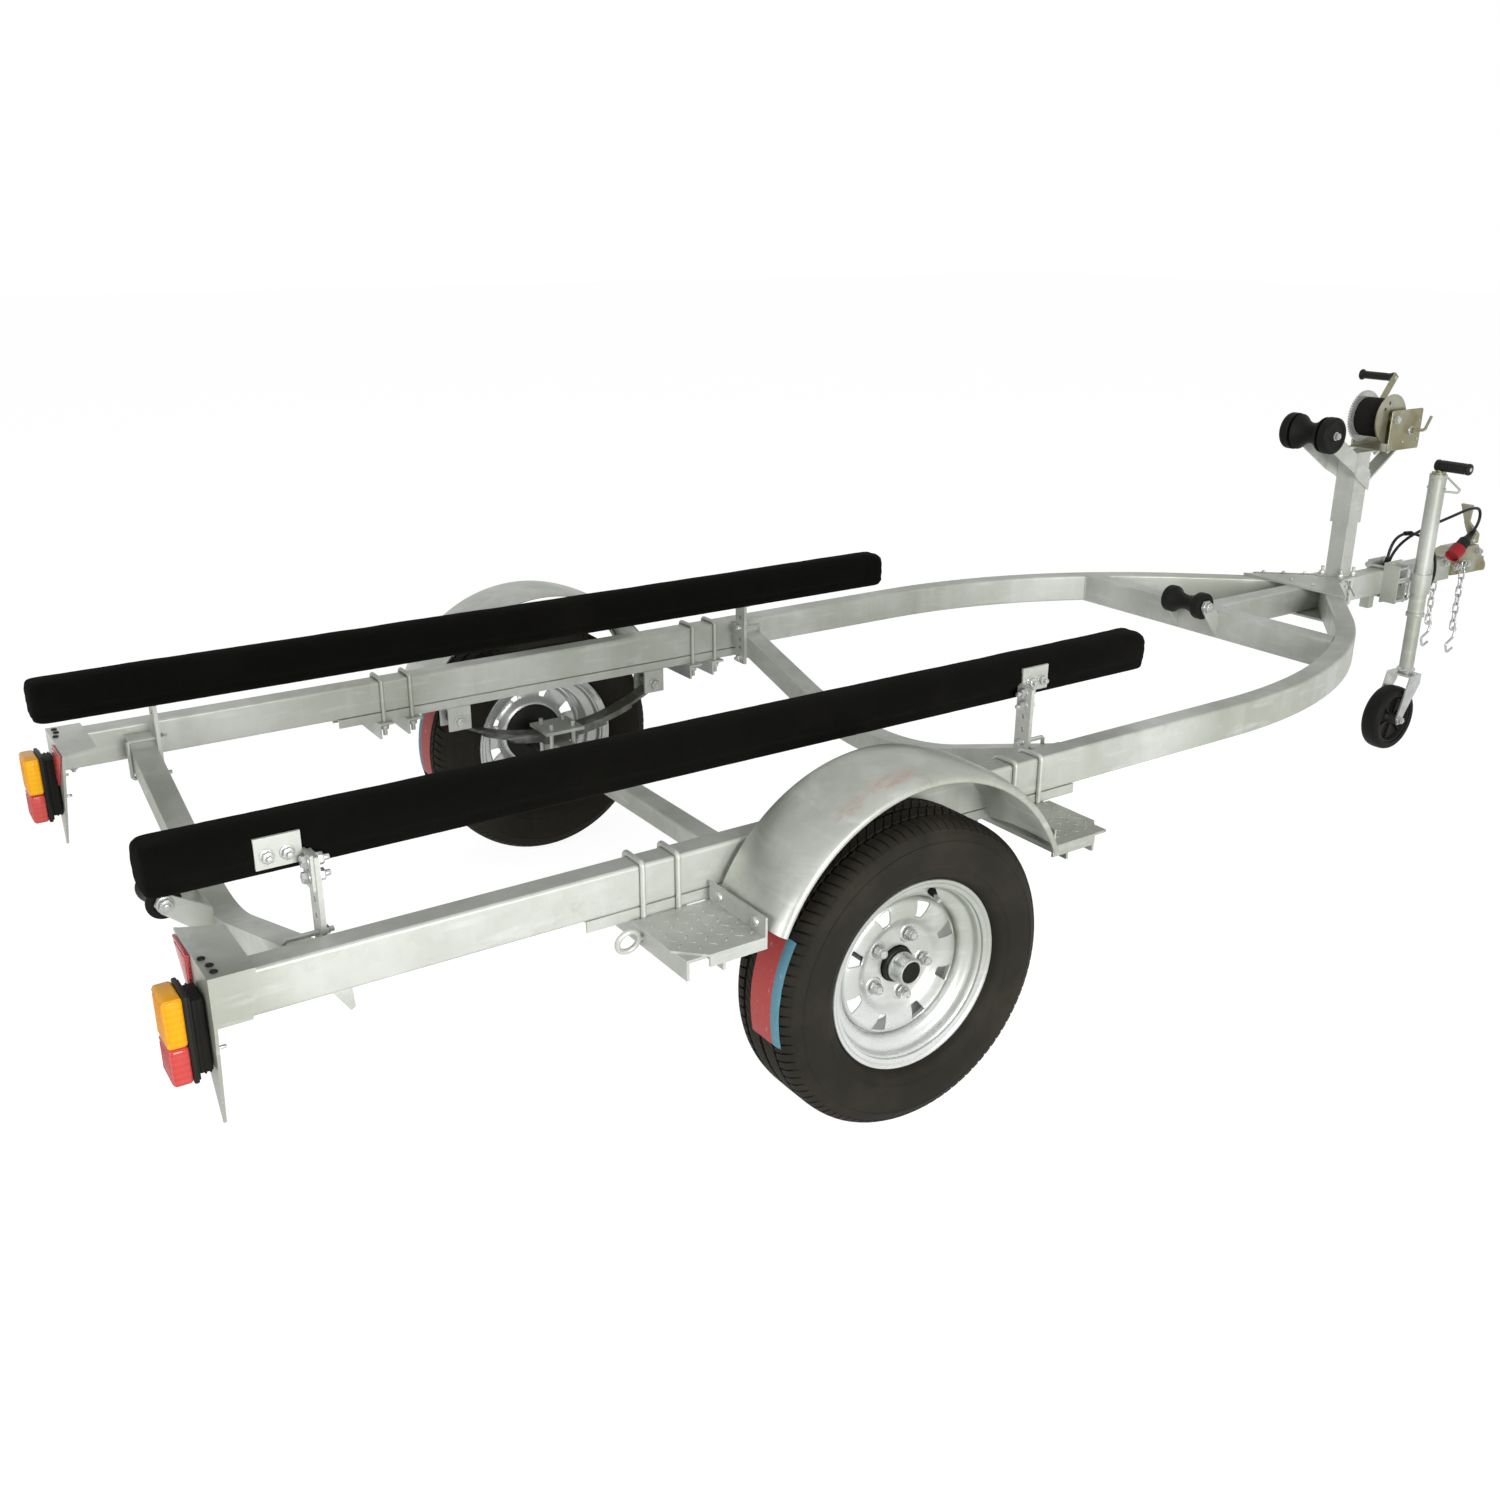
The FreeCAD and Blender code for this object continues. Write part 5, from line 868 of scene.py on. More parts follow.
@dataclass
class Wheel:
    """A road wheel: tyre with its cut tread, pressed rim, hub casting, nuts and valve."""

    side: str
    sign: int
    axle: tuple = (AXLE_X, 729, 294)
    pitches: int = 96
    # rows of (radius, outboard of the centre plane)
    casing: tuple = ((166.2, 56), (166.2, 61), (172, 64), (183.6, 64.4), (186.5, 67.5), (189, 73.5), (193, 78.5),
                     (200, 83), (207, 86.2), (208.2, 87.6), (209.6, 87.6), (210.8, 87), (219, 89), (231, 90.6),
                     (243, 91), (254, 89.6), (258, 88.6), (259, 89.3), (260.4, 89.1), (261.4, 87.4), (268, 84.2),
                     (274, 80.6), (278.5, 77.2), (282.5, 72), (285, 64), (286, 50), (286.2, 24))
    # rows of (outboard, tread radius)
    crown: tuple = ((0, 294), (44, 293.6), (54, 292.6), (62, 290.6), (69, 287), (74.5, 282.8), (79, 278.4))
    floor: tuple = ((0, 284.5), (50, 284.5), (64, 283.4), (72, 280.6), (77, 276.6), (79, 273.5))
    rim_front: tuple = ((182.4, 65.6), (182.4, 67.2), (181.4, 68.6), (179.2, 69), (176.4, 68), (173.2, 65.2),
                        (170.4, 61.2), (166.8, 58.4), (162.4, 56.4), (160.6, 53), (160, 45), (158.6, 41.6),
                        (155, 39.2), (149, 37.2), (142, 34.8), (138, 31.4), (135.8, 26), (135.2, 18))
    rim_back: tuple = ((180.4, 65), (172, 64.6), (166, 62.6), (164.9, 56), (164.6, 44), (161, 37.6),
                       (150, 34.6), (142.4, 31), (139, 24))
    dish: tuple = ((34, 14), (44, 14), (56, 14), (68, 14), (76, 14.6), (82, 18.2), (88, 23.6), (94, 27.4),
                   (100, 29.4), (107, 30.4), (114, 30.4), (121, 29.6), (127, 27.8), (131, 24.6), (133.6, 19.6),
                   (134.6, 13))
    vents: int = 8
    # first and last row of the dish's profile that a vent spans, and its columns of faces
    vent_rows: tuple = (7, 12)
    vent_columns: int = 4
    # half width of a vent at its inner and outer edge, in degrees
    vent_taper: tuple = (3.6, 7.4)
    # columns of faces from vent to vent
    columns: int = 12
    stud_circle: float = 60.3
    stud_turn: float = 67.0
    studs: int = 5
    # the paper band: edges outboard of the centre plane, and its start and end round the tyre in degrees
    band: tuple = (-19, 61)
    band_turn: tuple = (152, 191)
    # foot and tip of the valve as (radius, outboard of the centre plane, degrees)
    valve: tuple = ((150, 40, 69), (140.5, 64, 69))
    # the middle of the groove between the tread's rows
    groove: float = 39.5

    @property
    def centre(self) -> Vector:
        """The wheel's middle."""
        return Vector((self.axle[0], self.sign * self.axle[1], self.axle[2]))

    def place(self, radius: float, out: float, degrees: float) -> Vector:
        """A point of the wheel.

        Args:
            radius: distance from the axle.
            out: distance outboard of the centre plane.
            degrees: turn up from +X.

        Returns:
            The point in the row frame.
        """
        a = math.radians(degrees)
        return self.centre + Vector((radius * math.cos(a), self.sign * out, radius * math.sin(a)))

    def build(self) -> None:
        """Make the wheel's pieces."""
        self._tyre()
        self._label()
        self._rim()
        self._hub()
        self._nuts()
        self._valve()

    def _piece(self, name: str, finish: Finish) -> Piece:
        """A piece that turns with this wheel."""
        return Piece("%s_%s" % (name, self.side), finish, "wheel_" + self.side)

    def _tyre(self) -> None:
        """Turn the casing and cut its tread into blocks."""
        tyre = self._piece("tread_tyre", TYRE)
        rows = list(self.casing) + [(self.casing[-1][0], 0.0)] + [(r, -h) for r, h in reversed(self.casing)]
        tyre.turned(rows, self.centre, Y * self.sign, 144)
        for hand in (1, -1):
            tyre.absorb(self._rib(hand, 5.0, 36.0, 2, 0.90, 5.0))
            tyre.absorb(self._rib(hand, 43.0, 79.0, 6, 0.84, -1.6))
        tyre.done(30, replaces=("tyre_" + self.side,))

    def _rib(self, hand: int, low: float, high: float, across: int, fill: float, slant: float) -> Piece:
        """One ring of tread blocks.

        Args:
            hand: 1 outboard, -1 inboard of the centre plane.
            low: edge nearer to the centre plane.
            high: other edge.
            across: steps across the block.
            fill: share of the pitch that the block takes.
            slant: how far its ends lean round the tyre, in degrees.

        Returns:
            The ring as a piece that isn't finished.
        """
        ring = self._piece("rib", TYRE)
        bmesh.ops.create_grid(ring.bm, x_segments=2, y_segments=across, size=0.5)
        faces = list(ring.bm.faces)
        new = bmesh.ops.extrude_face_region(ring.bm, geom=faces)["geom"]
        top = {g for g in new if isinstance(g, bmesh.types.BMVert)}
        span = 360.0 / self.pitches * fill
        for v in ring.bm.verts:
            taper = 0.95 if v in top else 1.0
            share = v.co.y + 0.5
            h = low + (high - low) * (0.5 + (share - 0.5) * (0.985 if v in top else 1.0))
            r = laid(self.crown if v in top else self.floor, h)
            v.co = self.place(r, hand * h, v.co.x * span * taper + hand * slant * (share - 0.5))
        return ring.ring_of(self.pitches, self.centre, Y)

    def _label(self) -> None:
        """Lay the blank paper band over part of the tread."""
        band = self._piece("tread_label", LABEL)
        bmesh.ops.create_grid(band.bm, x_segments=56, y_segments=26, size=0.5)
        for v in band.bm.verts:
            h = self.band[0] + (self.band[1] - self.band[0]) * (v.co.y + 0.5)
            turn = self.band_turn[0] + (self.band_turn[1] - self.band_turn[0]) * (v.co.x + 0.5)
            phase = (turn * self.pitches / 360.0) % 1.0
            dip = 0.9 * max(0.0, 1 - abs(abs(h) - self.groove) / 4.0) + 0.5 * max(0.0, 1 - abs(phase - 0.5) / 0.18)
            wave = 0.25 * noise.noise(Vector((h, turn, 0)) * 0.16)
            torn = max(abs(v.co.x), abs(v.co.y)) > 0.49
            edge = 0.6 * noise.noise(Vector((turn, h, 3.0)) * 0.3) if torn else 0.0
            v.co = self.place(laid(self.crown, abs(h)) + 0.75 - dip * 0.7 + wave, h + edge, turn + edge * 0.4)
        bmesh.ops.solidify(band.bm, geom=list(band.bm.faces), thickness=0.25)
        band.done(60)

    def _rim(self) -> None:
        """Turn the barrel and press the dish with its vents."""
        barrel = self._piece("rim_barrel", GALV_RIM)
        front = list(self.rim_front)
        rear = [(r, -h) for r, h in reversed(self.rim_front)]
        back = [(r, -h) for r, h in self.rim_back] + list(reversed(self.rim_back))
        barrel.turned(front + rear + back, self.centre, Y * self.sign, 120)
        barrel.done(40, replaces=("rim_" + self.side,))
        dish = self._piece("rim_dish", GALV_RIM)
        dish.lathe(list(self.dish), self.centre, Y * self.sign, self.vents * self.columns)
        self._cut_vents(dish)
        for f in dish.bm.faces:
            f.normal_update()
        bmesh.ops.recalc_face_normals(dish.bm, faces=dish.bm.faces)
        bmesh.ops.solidify(dish.bm, geom=list(dish.bm.faces), thickness=4.5)
        dish.done(50, round_up=1)

    def _cut_vents(self, dish: Piece) -> None:
        """Take out the faces of the dish where its vents are, and draw the vents' sides straight.

        Args:
            dish: the turned dish.
        """
        inner, outer = (self.dish[row][0] for row in self.vent_rows)
        half = 180.0 * self.vent_columns / (self.vents * self.columns)
        narrow, wide = self.vent_taper
        gone = [f for f in dish.bm.faces if self._in_vent(f.calc_center_median(), inner, outer, half)]
        bmesh.ops.delete(dish.bm, geom=gone, context="FACES")
        for v in dish.bm.verts:
            if v.is_boundary and self._in_vent(v.co, inner - 1, outer + 1, half + 0.1):
                radius, turn = self._from_vent(v.co)
                want = narrow + (wide - narrow) * (radius - inner) / (outer - inner)
                slew = Matrix.Rotation(math.radians(turn - turn * want / half), 3, "Y")
                v.co = self.centre + slew @ (v.co - self.centre)

    def _from_vent(self, point: Vector) -> tuple:
        """A point's radius, and its turn from the nearest vent's middle in degrees.

        Args:
            point: a point in the row frame.

        Returns:
            The radius and the turn.
        """
        way = point - self.centre
        span = 360.0 / self.vents
        return math.hypot(way.x, way.z), math.degrees(math.atan2(way.z, way.x)) % span - span / 2

    def _in_vent(self, point: Vector, inner: float, outer: float, half: float) -> bool:
        """Whether a point lies in a vent.

        Args:
            point: a point in the row frame.
            inner: lowest radius.
            outer: highest radius.
            half: half width of the vent, in degrees.

        Returns:
            True where it does.
        """
        radius, turn = self._from_vent(point)
        return inner < radius < outer and abs(turn) < half

    def _hub(self) -> None:
        """Turn the painted hub casting, its grease cap and the cap's rubber bung."""
        axis = Y * self.sign
        casting = self._piece("hub_casting", BLACK_PLASTIC)
        casting.turned([(16.2, -98), (30, -98), (32, -95), (32, -10), (36, -4), (70, -1), (76, 2), (76, 8.5),
                        (33, 8.7), (32.6, 22), (30, 24), (16.2, 24)], self.centre, axis, 64)
        casting.done(35, replaces=("hub_" + self.side,))
        cap = self._piece("grease_cap", BRIGHT_ZINC)
        cap.lathe([(0, 23), (26, 23), (27.5, 24), (28.6, 26), (28.6, 29), (27, 31), (26.4, 36), (26, 52),
                   (25.4, 55.4), (24, 57.2), (21.8, 57.6), (20.6, 56.4), (20.2, 54), (0, 53)], self.centre, axis, 64)
        cap.done(35)
        bung = self._piece("cap_bung", RUBBER)
        bung.lathe([(0, 53), (20.0, 53), (20.0, 55.8), (18.6, 57.4), (12, 58), (9, 57.2), (0, 56.8)],
                   self.centre, axis, 48)
        bung.done(35)

    def _nuts(self) -> None:
        """Set the coned wheel nuts on their pressed bosses."""
        nuts = self._piece("wheel_nuts", BRIGHT_ZINC)
        axis = Y * self.sign
        for i in range(self.studs):
            seat = self.place(self.stud_circle, 13.5, self.stud_turn + 360.0 / self.studs * i)
            nuts.lathe([(19, 0), (17.6, 1.6), (15.4, 2.6), (13.6, 2.4), (11.6, 0)], seat, axis, 32)
            nuts.rod(seat, seat + axis * 5.5, 8.4, 24, end=11.4)
            nuts.nut(seat + axis * 5.0, axis, 19.0, 12.0, turn=0.4 + i, washer=False)
            nuts.lathe([(0, 15.5), (4.8, 15.6), (5.4, 16.8), (8.6, 17.0), (9.0, 18.6), (8.4, 21.0), (6.8, 22.6),
                        (5.4, 22.6), (5.0, 21), (0, 20.6)], seat, axis, 24)
        nuts.done(35)

    def _valve(self) -> None:
        """Fit the snap-in valve."""
        stem = self._piece("valve_stem", BRIGHT_ZINC)
        foot, tip = (self.place(*end) for end in self.valve)
        stem.rod(foot.lerp(tip, 0.35), tip, 3.9, 16, bevel=0.6)
        stem.rod(foot.lerp(tip, 0.72), tip + (tip - foot) * 0.04, 4.7, 12, bevel=0.5)
        stem.done()
        boot = self._piece("valve_boot", RUBBER)
        boot.rod(foot - (tip - foot) * 0.1, foot.lerp(tip, 0.45), 8.6, 24, end=5.0, bevel=0.8)
        boot.done()


@dataclass
class RunningGear:
    """Springs' fastenings, guard bolts and the chequered steps."""

    axle_x: float = AXLE_X
    rail_in: float = RAIL_IN
    rail_out: float = 620.0
    # a rail's U-bolt as heights of its ends, its top and the plate under its nuts
    ubolt: tuple = (428, 561, 453)
    # the post's U-bolt as half its width and heights of its ends, its bottom and the plate under its nuts
    post_ubolt: tuple = (31, 588, 476, 564)
    wire: float = 5.0
    # U-bolts and spring pins, ahead of and behind the axle
    bolts: tuple = (384, 452)
    pins: float = 267.0
    spring: tuple = (595, 424)
    post_bolts: tuple = (1391.9, 1331.9)
    # chequer: first place, pitch and rows along the trailer, then the same across it
    along: tuple = (332, 25, 6)
    across: tuple = (640, 21.5, 8)
    # the step's outer edge, and its cut corner as a sum of both distances
    step_edge: float = 790.0
    step_corner: float = 1214.0
    step_top: float = 464.2
    guard_holes: tuple = (326, 481)
    eye: tuple = (-1419, -647, 440)
    eye_radius: float = 20.0

    def build(self) -> None:
        """Make the fastenings, the chequer and the tie-down eye."""
        self._rail_bolts()
        self._spring_fixings()
        self._chequer()
        self._step_bolts()
        self._eye_bolt()

    def _rail_bolts(self) -> None:
        """Bend the U-bolts over the rails and the winch post's foot, and set their nuts."""
        bolts = Piece("rail_ubolts", GALV)
        out, inner, wire = self.rail_out + self.wire, self.rail_in - self.wire, self.wire
        ends, top, plate = self.ubolt
        for reach in self.bolts:
            for x in (self.axle_x + reach, self.axle_x - reach):
                bolts.tube([(x, out, ends), (x, out, top), (x, inner, top), (x, inner, ends)], wire, 16, 8)
                for y in (out, inner):
                    bolts.nut((x, y, plate), (0, 0, -1), 16)
        bolts.both_sides()
        half, ends, low, plate = self.post_ubolt
        for x in self.post_bolts:
            bolts.tube([(x, half, ends), (x, half, low), (x, -half, low), (x, -half, ends)], wire, 16, 8)
            for y in (half, -half):
                bolts.nut((x, y, plate), (0, 0, 1), 16)
        bolts.done(replaces=("ubolts",))

    def _spring_fixings(self) -> None:
        """Set the nuts of the spring pins."""
        fix = Piece("spring_fixings", GALV)
        for end in (1, -1):
            x = self.axle_x + end * self.pins
            for way in (1, -1):
                fix.nut((x, self.spring[0] + way * 28.5, self.spring[1]), (0, way, 0), 22, 10, 4)
        fix.both_sides().done()

    def _chequer(self) -> None:
        """Roll the raised chequer pattern on the four steps."""
        pattern = Piece("step_chequer", GALV_SHEET)
        bars = [(self.along[0] + i * self.along[1], self.across[0] + j * self.across[1], (i + j) % 2)
                for i in range(self.along[2]) for j in range(self.across[2])]
        for end in (1, -1):
            for away, y, odd in bars:
                if y <= self.step_edge and away + y <= self.step_corner:
                    x, low = self.axle_x + end * away, self.step_top
                    turn = Matrix.Rotation(math.radians(45 if odd else -45), 4, "Z")
                    pattern.block((x - 7.0, y - 1.7, low), (x + 7.0, y + 1.7, low + 1.8), 0.9, 1, turn)
        pattern.both_sides().done(50)

    def _step_bolts(self) -> None:
        """Bolt the guards to the steps' tabs."""
        bolts = Piece("guard_bolts", BRIGHT_ZINC)
        z = self.guard_holes[1]
        for end in (1, -1):
            x = self.axle_x + end * self.guard_holes[0]
            for y in (660, 768):
                bolts.rod((x - end, y, z), (x + end * 4.5, y, z), 10.5, 24, end=8.0, bevel=1.2)
                bolts.rod((x - end * 7, y, z), (x, y, z), 5, 16)
        bolts.both_sides().done()

    def _eye_bolt(self) -> None:
        """Screw the tie-down eye into the rear right step."""
        eye = Piece("tie_down_eye", GALV)
        x, y, z = self.eye
        turns = [2 * math.pi * k / 24 for k in range(24)]
        eye.tube([(x + self.eye_radius * math.cos(a), y - 5 * math.sin(a), z + self.eye_radius * math.sin(a))
                  for a in turns], 4.8, 12, closed=True)
        eye.rod((x + 19, y - 1, z), (x + 47, y - 1, z + 2), 4.2, 14)
        eye.nut((x + 39, y - 1, z + 1), (-1, 0, 0), 14, 7)
        eye.done()


@dataclass
class Bunk:
    """A plank wrapped in padding and needled covering, and its mirror image."""

    rear: float = -2114.0
    front: float = -34.0
    middle: float = 452.0
    under: float = 632.0
    # rows of (aside, above the underside), half of the section
    half: tuple = ((30, 0.6), (36, 4), (39, 11), (40, 22), (40.6, 36), (41, 52), (40.4, 66), (37, 73.5), (30, 80.5),
                   (25, 83.2), (12, 84), (0, 84))
    # rows of (from the end, share of the full section)
    ends: tuple = ((0.8, 0.84), (3.5, 0.885), (9, 0.95), (14, 0.99), (22, 1))
    # height of the section's middle above the underside
    core: float = 42.0
    # length of a step between sections, and of the rounded end
    station: float = 34.0
    rounded: float = 30.0
    # size of the covering's even mesh, in metres
    weave: float = 0.0075
    # furthest that the padding may push the covering, and its pressure
    cap: float = 3.2
    pressure: float = 4.0
    frames: int = 20

    def build(self) -> None:
        """Make the left cover, let it swell, and take the right one from it."""
        left = self._wrapped()
        self._swell(left)
        right = stand("bunk_cover_right", left.data.copy())
        right.data.name = "bunk_cover_right"
        bm = bmesh.new()
        bm.from_mesh(right.data)
        bmesh.ops.scale(bm, vec=(1, -1, 1), verts=bm.verts)
        bmesh.ops.reverse_faces(bm, faces=bm.faces)
        bm.to_mesh(right.data)
        bm.free()
        for obj, (side, sign), seed in ((left, SIDES[0], 3.0), (right, SIDES[1], 11.0)):
            self._crease(obj, sign, seed)
            obj.data.materials.clear()
            obj.data.materials.append(paint(CARPET))
            sub = obj.modifiers.new("rounding", "SUBSURF")
            sub.levels = sub.render_levels = 1
            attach(obj, "chassis")
            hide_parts("bunk_" + side)
            LOG.info("%s: %d faces", obj.name, len(obj.data.polygons))

    def _wrapped(self) -> bpy.types.Object:
        """The cover before it swells.

        Returns:
            The left cover, evenly meshed.
        """
        bm = bmesh.new()
        ring = list(self.half) + [(-a, b) for a, b in reversed(self.half[:-1])]
        run = self.front - self.rear - 2 * self.rounded
        count = int(run / self.station)
        places = [(self.rear + d, k) for d, k in self.ends]
        places += [(self.rear + self.rounded + run / count * (i + 1), 1.0) for i in range(count - 1)]
        places += [(self.front - d, k) for d, k in reversed(self.ends)]
        x0, k0 = places[0]
        face = bm.faces.new([bm.verts.new((x0, self.middle + a * k0, self.under + self.core + (b - self.core) * k0))
                             for a, b in ring])
        for x, share in places[1:]:
            new = bmesh.ops.extrude_face_region(bm, geom=[face])["geom"]
            face = next(g for g in new if isinstance(g, bmesh.types.BMFace))
            bmesh.ops.translate(bm, verts=list(face.verts), vec=(x - x0, 0, 0))
            bmesh.ops.scale(bm, verts=list(face.verts), vec=(1, share / k0, share / k0),
                            space=Matrix.Translation((-x, -self.middle, -self.under - self.core)))
            x0, k0 = x, share
        bmesh.ops.recalc_face_normals(bm, faces=bm.faces)
        bmesh.ops.scale(bm, vec=(MM, MM, MM), verts=bm.verts)
        mesh = bpy.data.meshes.new("bunk_cover_left")
        bm.to_mesh(mesh)
        bm.free()
        obj = stand("bunk_cover_left", mesh)
        even = obj.modifiers.new("even", "REMESH")
        even.mode, even.voxel_size, even.use_smooth_shade = "VOXEL", self.weave, True
        return self._settle(obj)

    @staticmethod
    def _settle(obj: bpy.types.Object) -> bpy.types.Object:
        """Turn an object's modifiers into its mesh.

        Args:
            obj: the object.

        Returns:
            The same object, without modifiers.
        """
        shape = obj.evaluated_get(bpy.context.evaluated_depsgraph_get())
        mesh = bpy.data.meshes.new_from_object(shape)
        name = obj.data.name
        obj.modifiers.clear()
        old, obj.data = obj.data, mesh
        bpy.data.meshes.remove(old)
        mesh.name = name
        return obj

    def _swell(self, obj: bpy.types.Object) -> None:
        """Press the padding out against its covering, held along the plank.

        Args:
            obj: the cover.
        """
        held = obj.vertex_groups.new(name="held")
        for v in obj.data.vertices:
            height = v.co.z / MM - self.under
            held.add([v.index], 1.0 if height < 16 else max(0.0, 1 - (height - 16) / 10), "REPLACE")
        cloth = obj.modifiers.new("swell", "CLOTH")
        rules = cloth.settings
        rules.vertex_group_mass = held.name
        rules.use_pressure, rules.uniform_pressure_force = True, self.pressure
        rules.effector_weights.gravity = 0.0
        rules.mass, rules.quality = 0.25, 5
        rules.tension_stiffness = rules.compression_stiffness = 12.0
        rules.bending_stiffness = 0.8
        cloth.collision_settings.use_collision = False
        for number in range(1, self.frames + 1):
            bpy.context.scene.frame_set(number)
        shape = obj.evaluated_get(bpy.context.evaluated_depsgraph_get())
        moved = [v.co.copy() for v in shape.data.vertices]
        obj.modifiers.clear()
        obj.vertex_groups.clear()
        bpy.context.scene.frame_set(1)
        for v, place in zip(obj.data.vertices, moved):
            way = place - v.co
            v.co += way * min(1.0, self.cap * MM / max(way.length, 1e-9))

    def _crease(self, obj: bpy.types.Object, hand: int, seed: float) -> None:
        """Press in the line where the covering is tacked to the plank, and its small waves.

        Args:
            obj: the cover.
            hand: 1 for the left bunk, -1 for the right one.
            seed: place in the noise, so that the two covers differ.
        """
        obj.data.update()
        for v in obj.data.vertices:
            x, y, z = v.co / MM
            aside, height = hand * y - self.middle, z - self.under
            flank = max(0.0, min(1.0, (abs(aside) - 30) / 8))
            line = 23.0 + 3.0 * noise.noise(Vector((x * 0.006, seed, hand)))
            press = 2.6 * flank * math.exp(-((height - line) / 4.2) ** 2)
            tacks = 0.7 * flank * math.exp(-((height - line) / 9) ** 2) * math.cos(x * 2 * math.pi / 92)
            wave = 1.1 * noise.noise(Vector((x * 0.012, aside * 0.03, seed + height * 0.03)))
            fine = 0.35 * noise.noise(Vector((x * 0.07, aside * 0.07, seed - height * 0.07)))
            rise = (wave + fine) * min(1.0, max(0.2, (height - 4) / 20)) - press + tacks
            near = min(x - self.rear, self.front - x)
            fold = 1.4 * math.exp(-(near / 14) ** 2) * math.sin(height * 0.32 + aside * 0.22 + seed)
            v.co += v.normal * (rise + fold) * MM


@dataclass
class BunkFixings:
    """Bolts of the bunk bars, their angles and the clamps on the crossmembers."""

    bar_y: float = 519.0
    angle_y: float = 499.0
    # heights of the bolts through the bar and the angle, and of the bolts into the plank
    bar_bolts: tuple = (655, 629)
    plank_bolts: float = 668.0
    # rows of (bar's face on the crossmember, way the bar stands, dip of the crossmember)
    bars: tuple = ((-1882, 1, 358), (-416, -1, 372))

    def build(self) -> None:
        """Set the nuts and bolt ends of the bunk supports."""
        bolts = Piece("bunk_bolts", BRIGHT_ZINC)
        for face, way, dip in self.bars:
            front = face + way * 8
            back = face - way * 5
            level = dip + self.bar_y * math.tan(ARM_LEAN)
            low = level - 50 / math.cos(ARM_LEAN) - 14
            for z in (level + 14, low):
                bolts.nut((front, self.bar_y, z), (way, 0, 0), 14, 7, 5)
            for z in self.bar_bolts:
                bolts.nut((front, self.bar_y, z), (way, 0, 0), 17, 9, 9)
                bolts.nut((back, self.bar_y, z), (-way, 0, 0), 17, 8)
            for step in (22, 52):
                bolts.nut((face - way * (5 + step), self.angle_y, self.plank_bolts), (0, 1, 0), 17, 8, 8)
        bolts.both_sides().done()


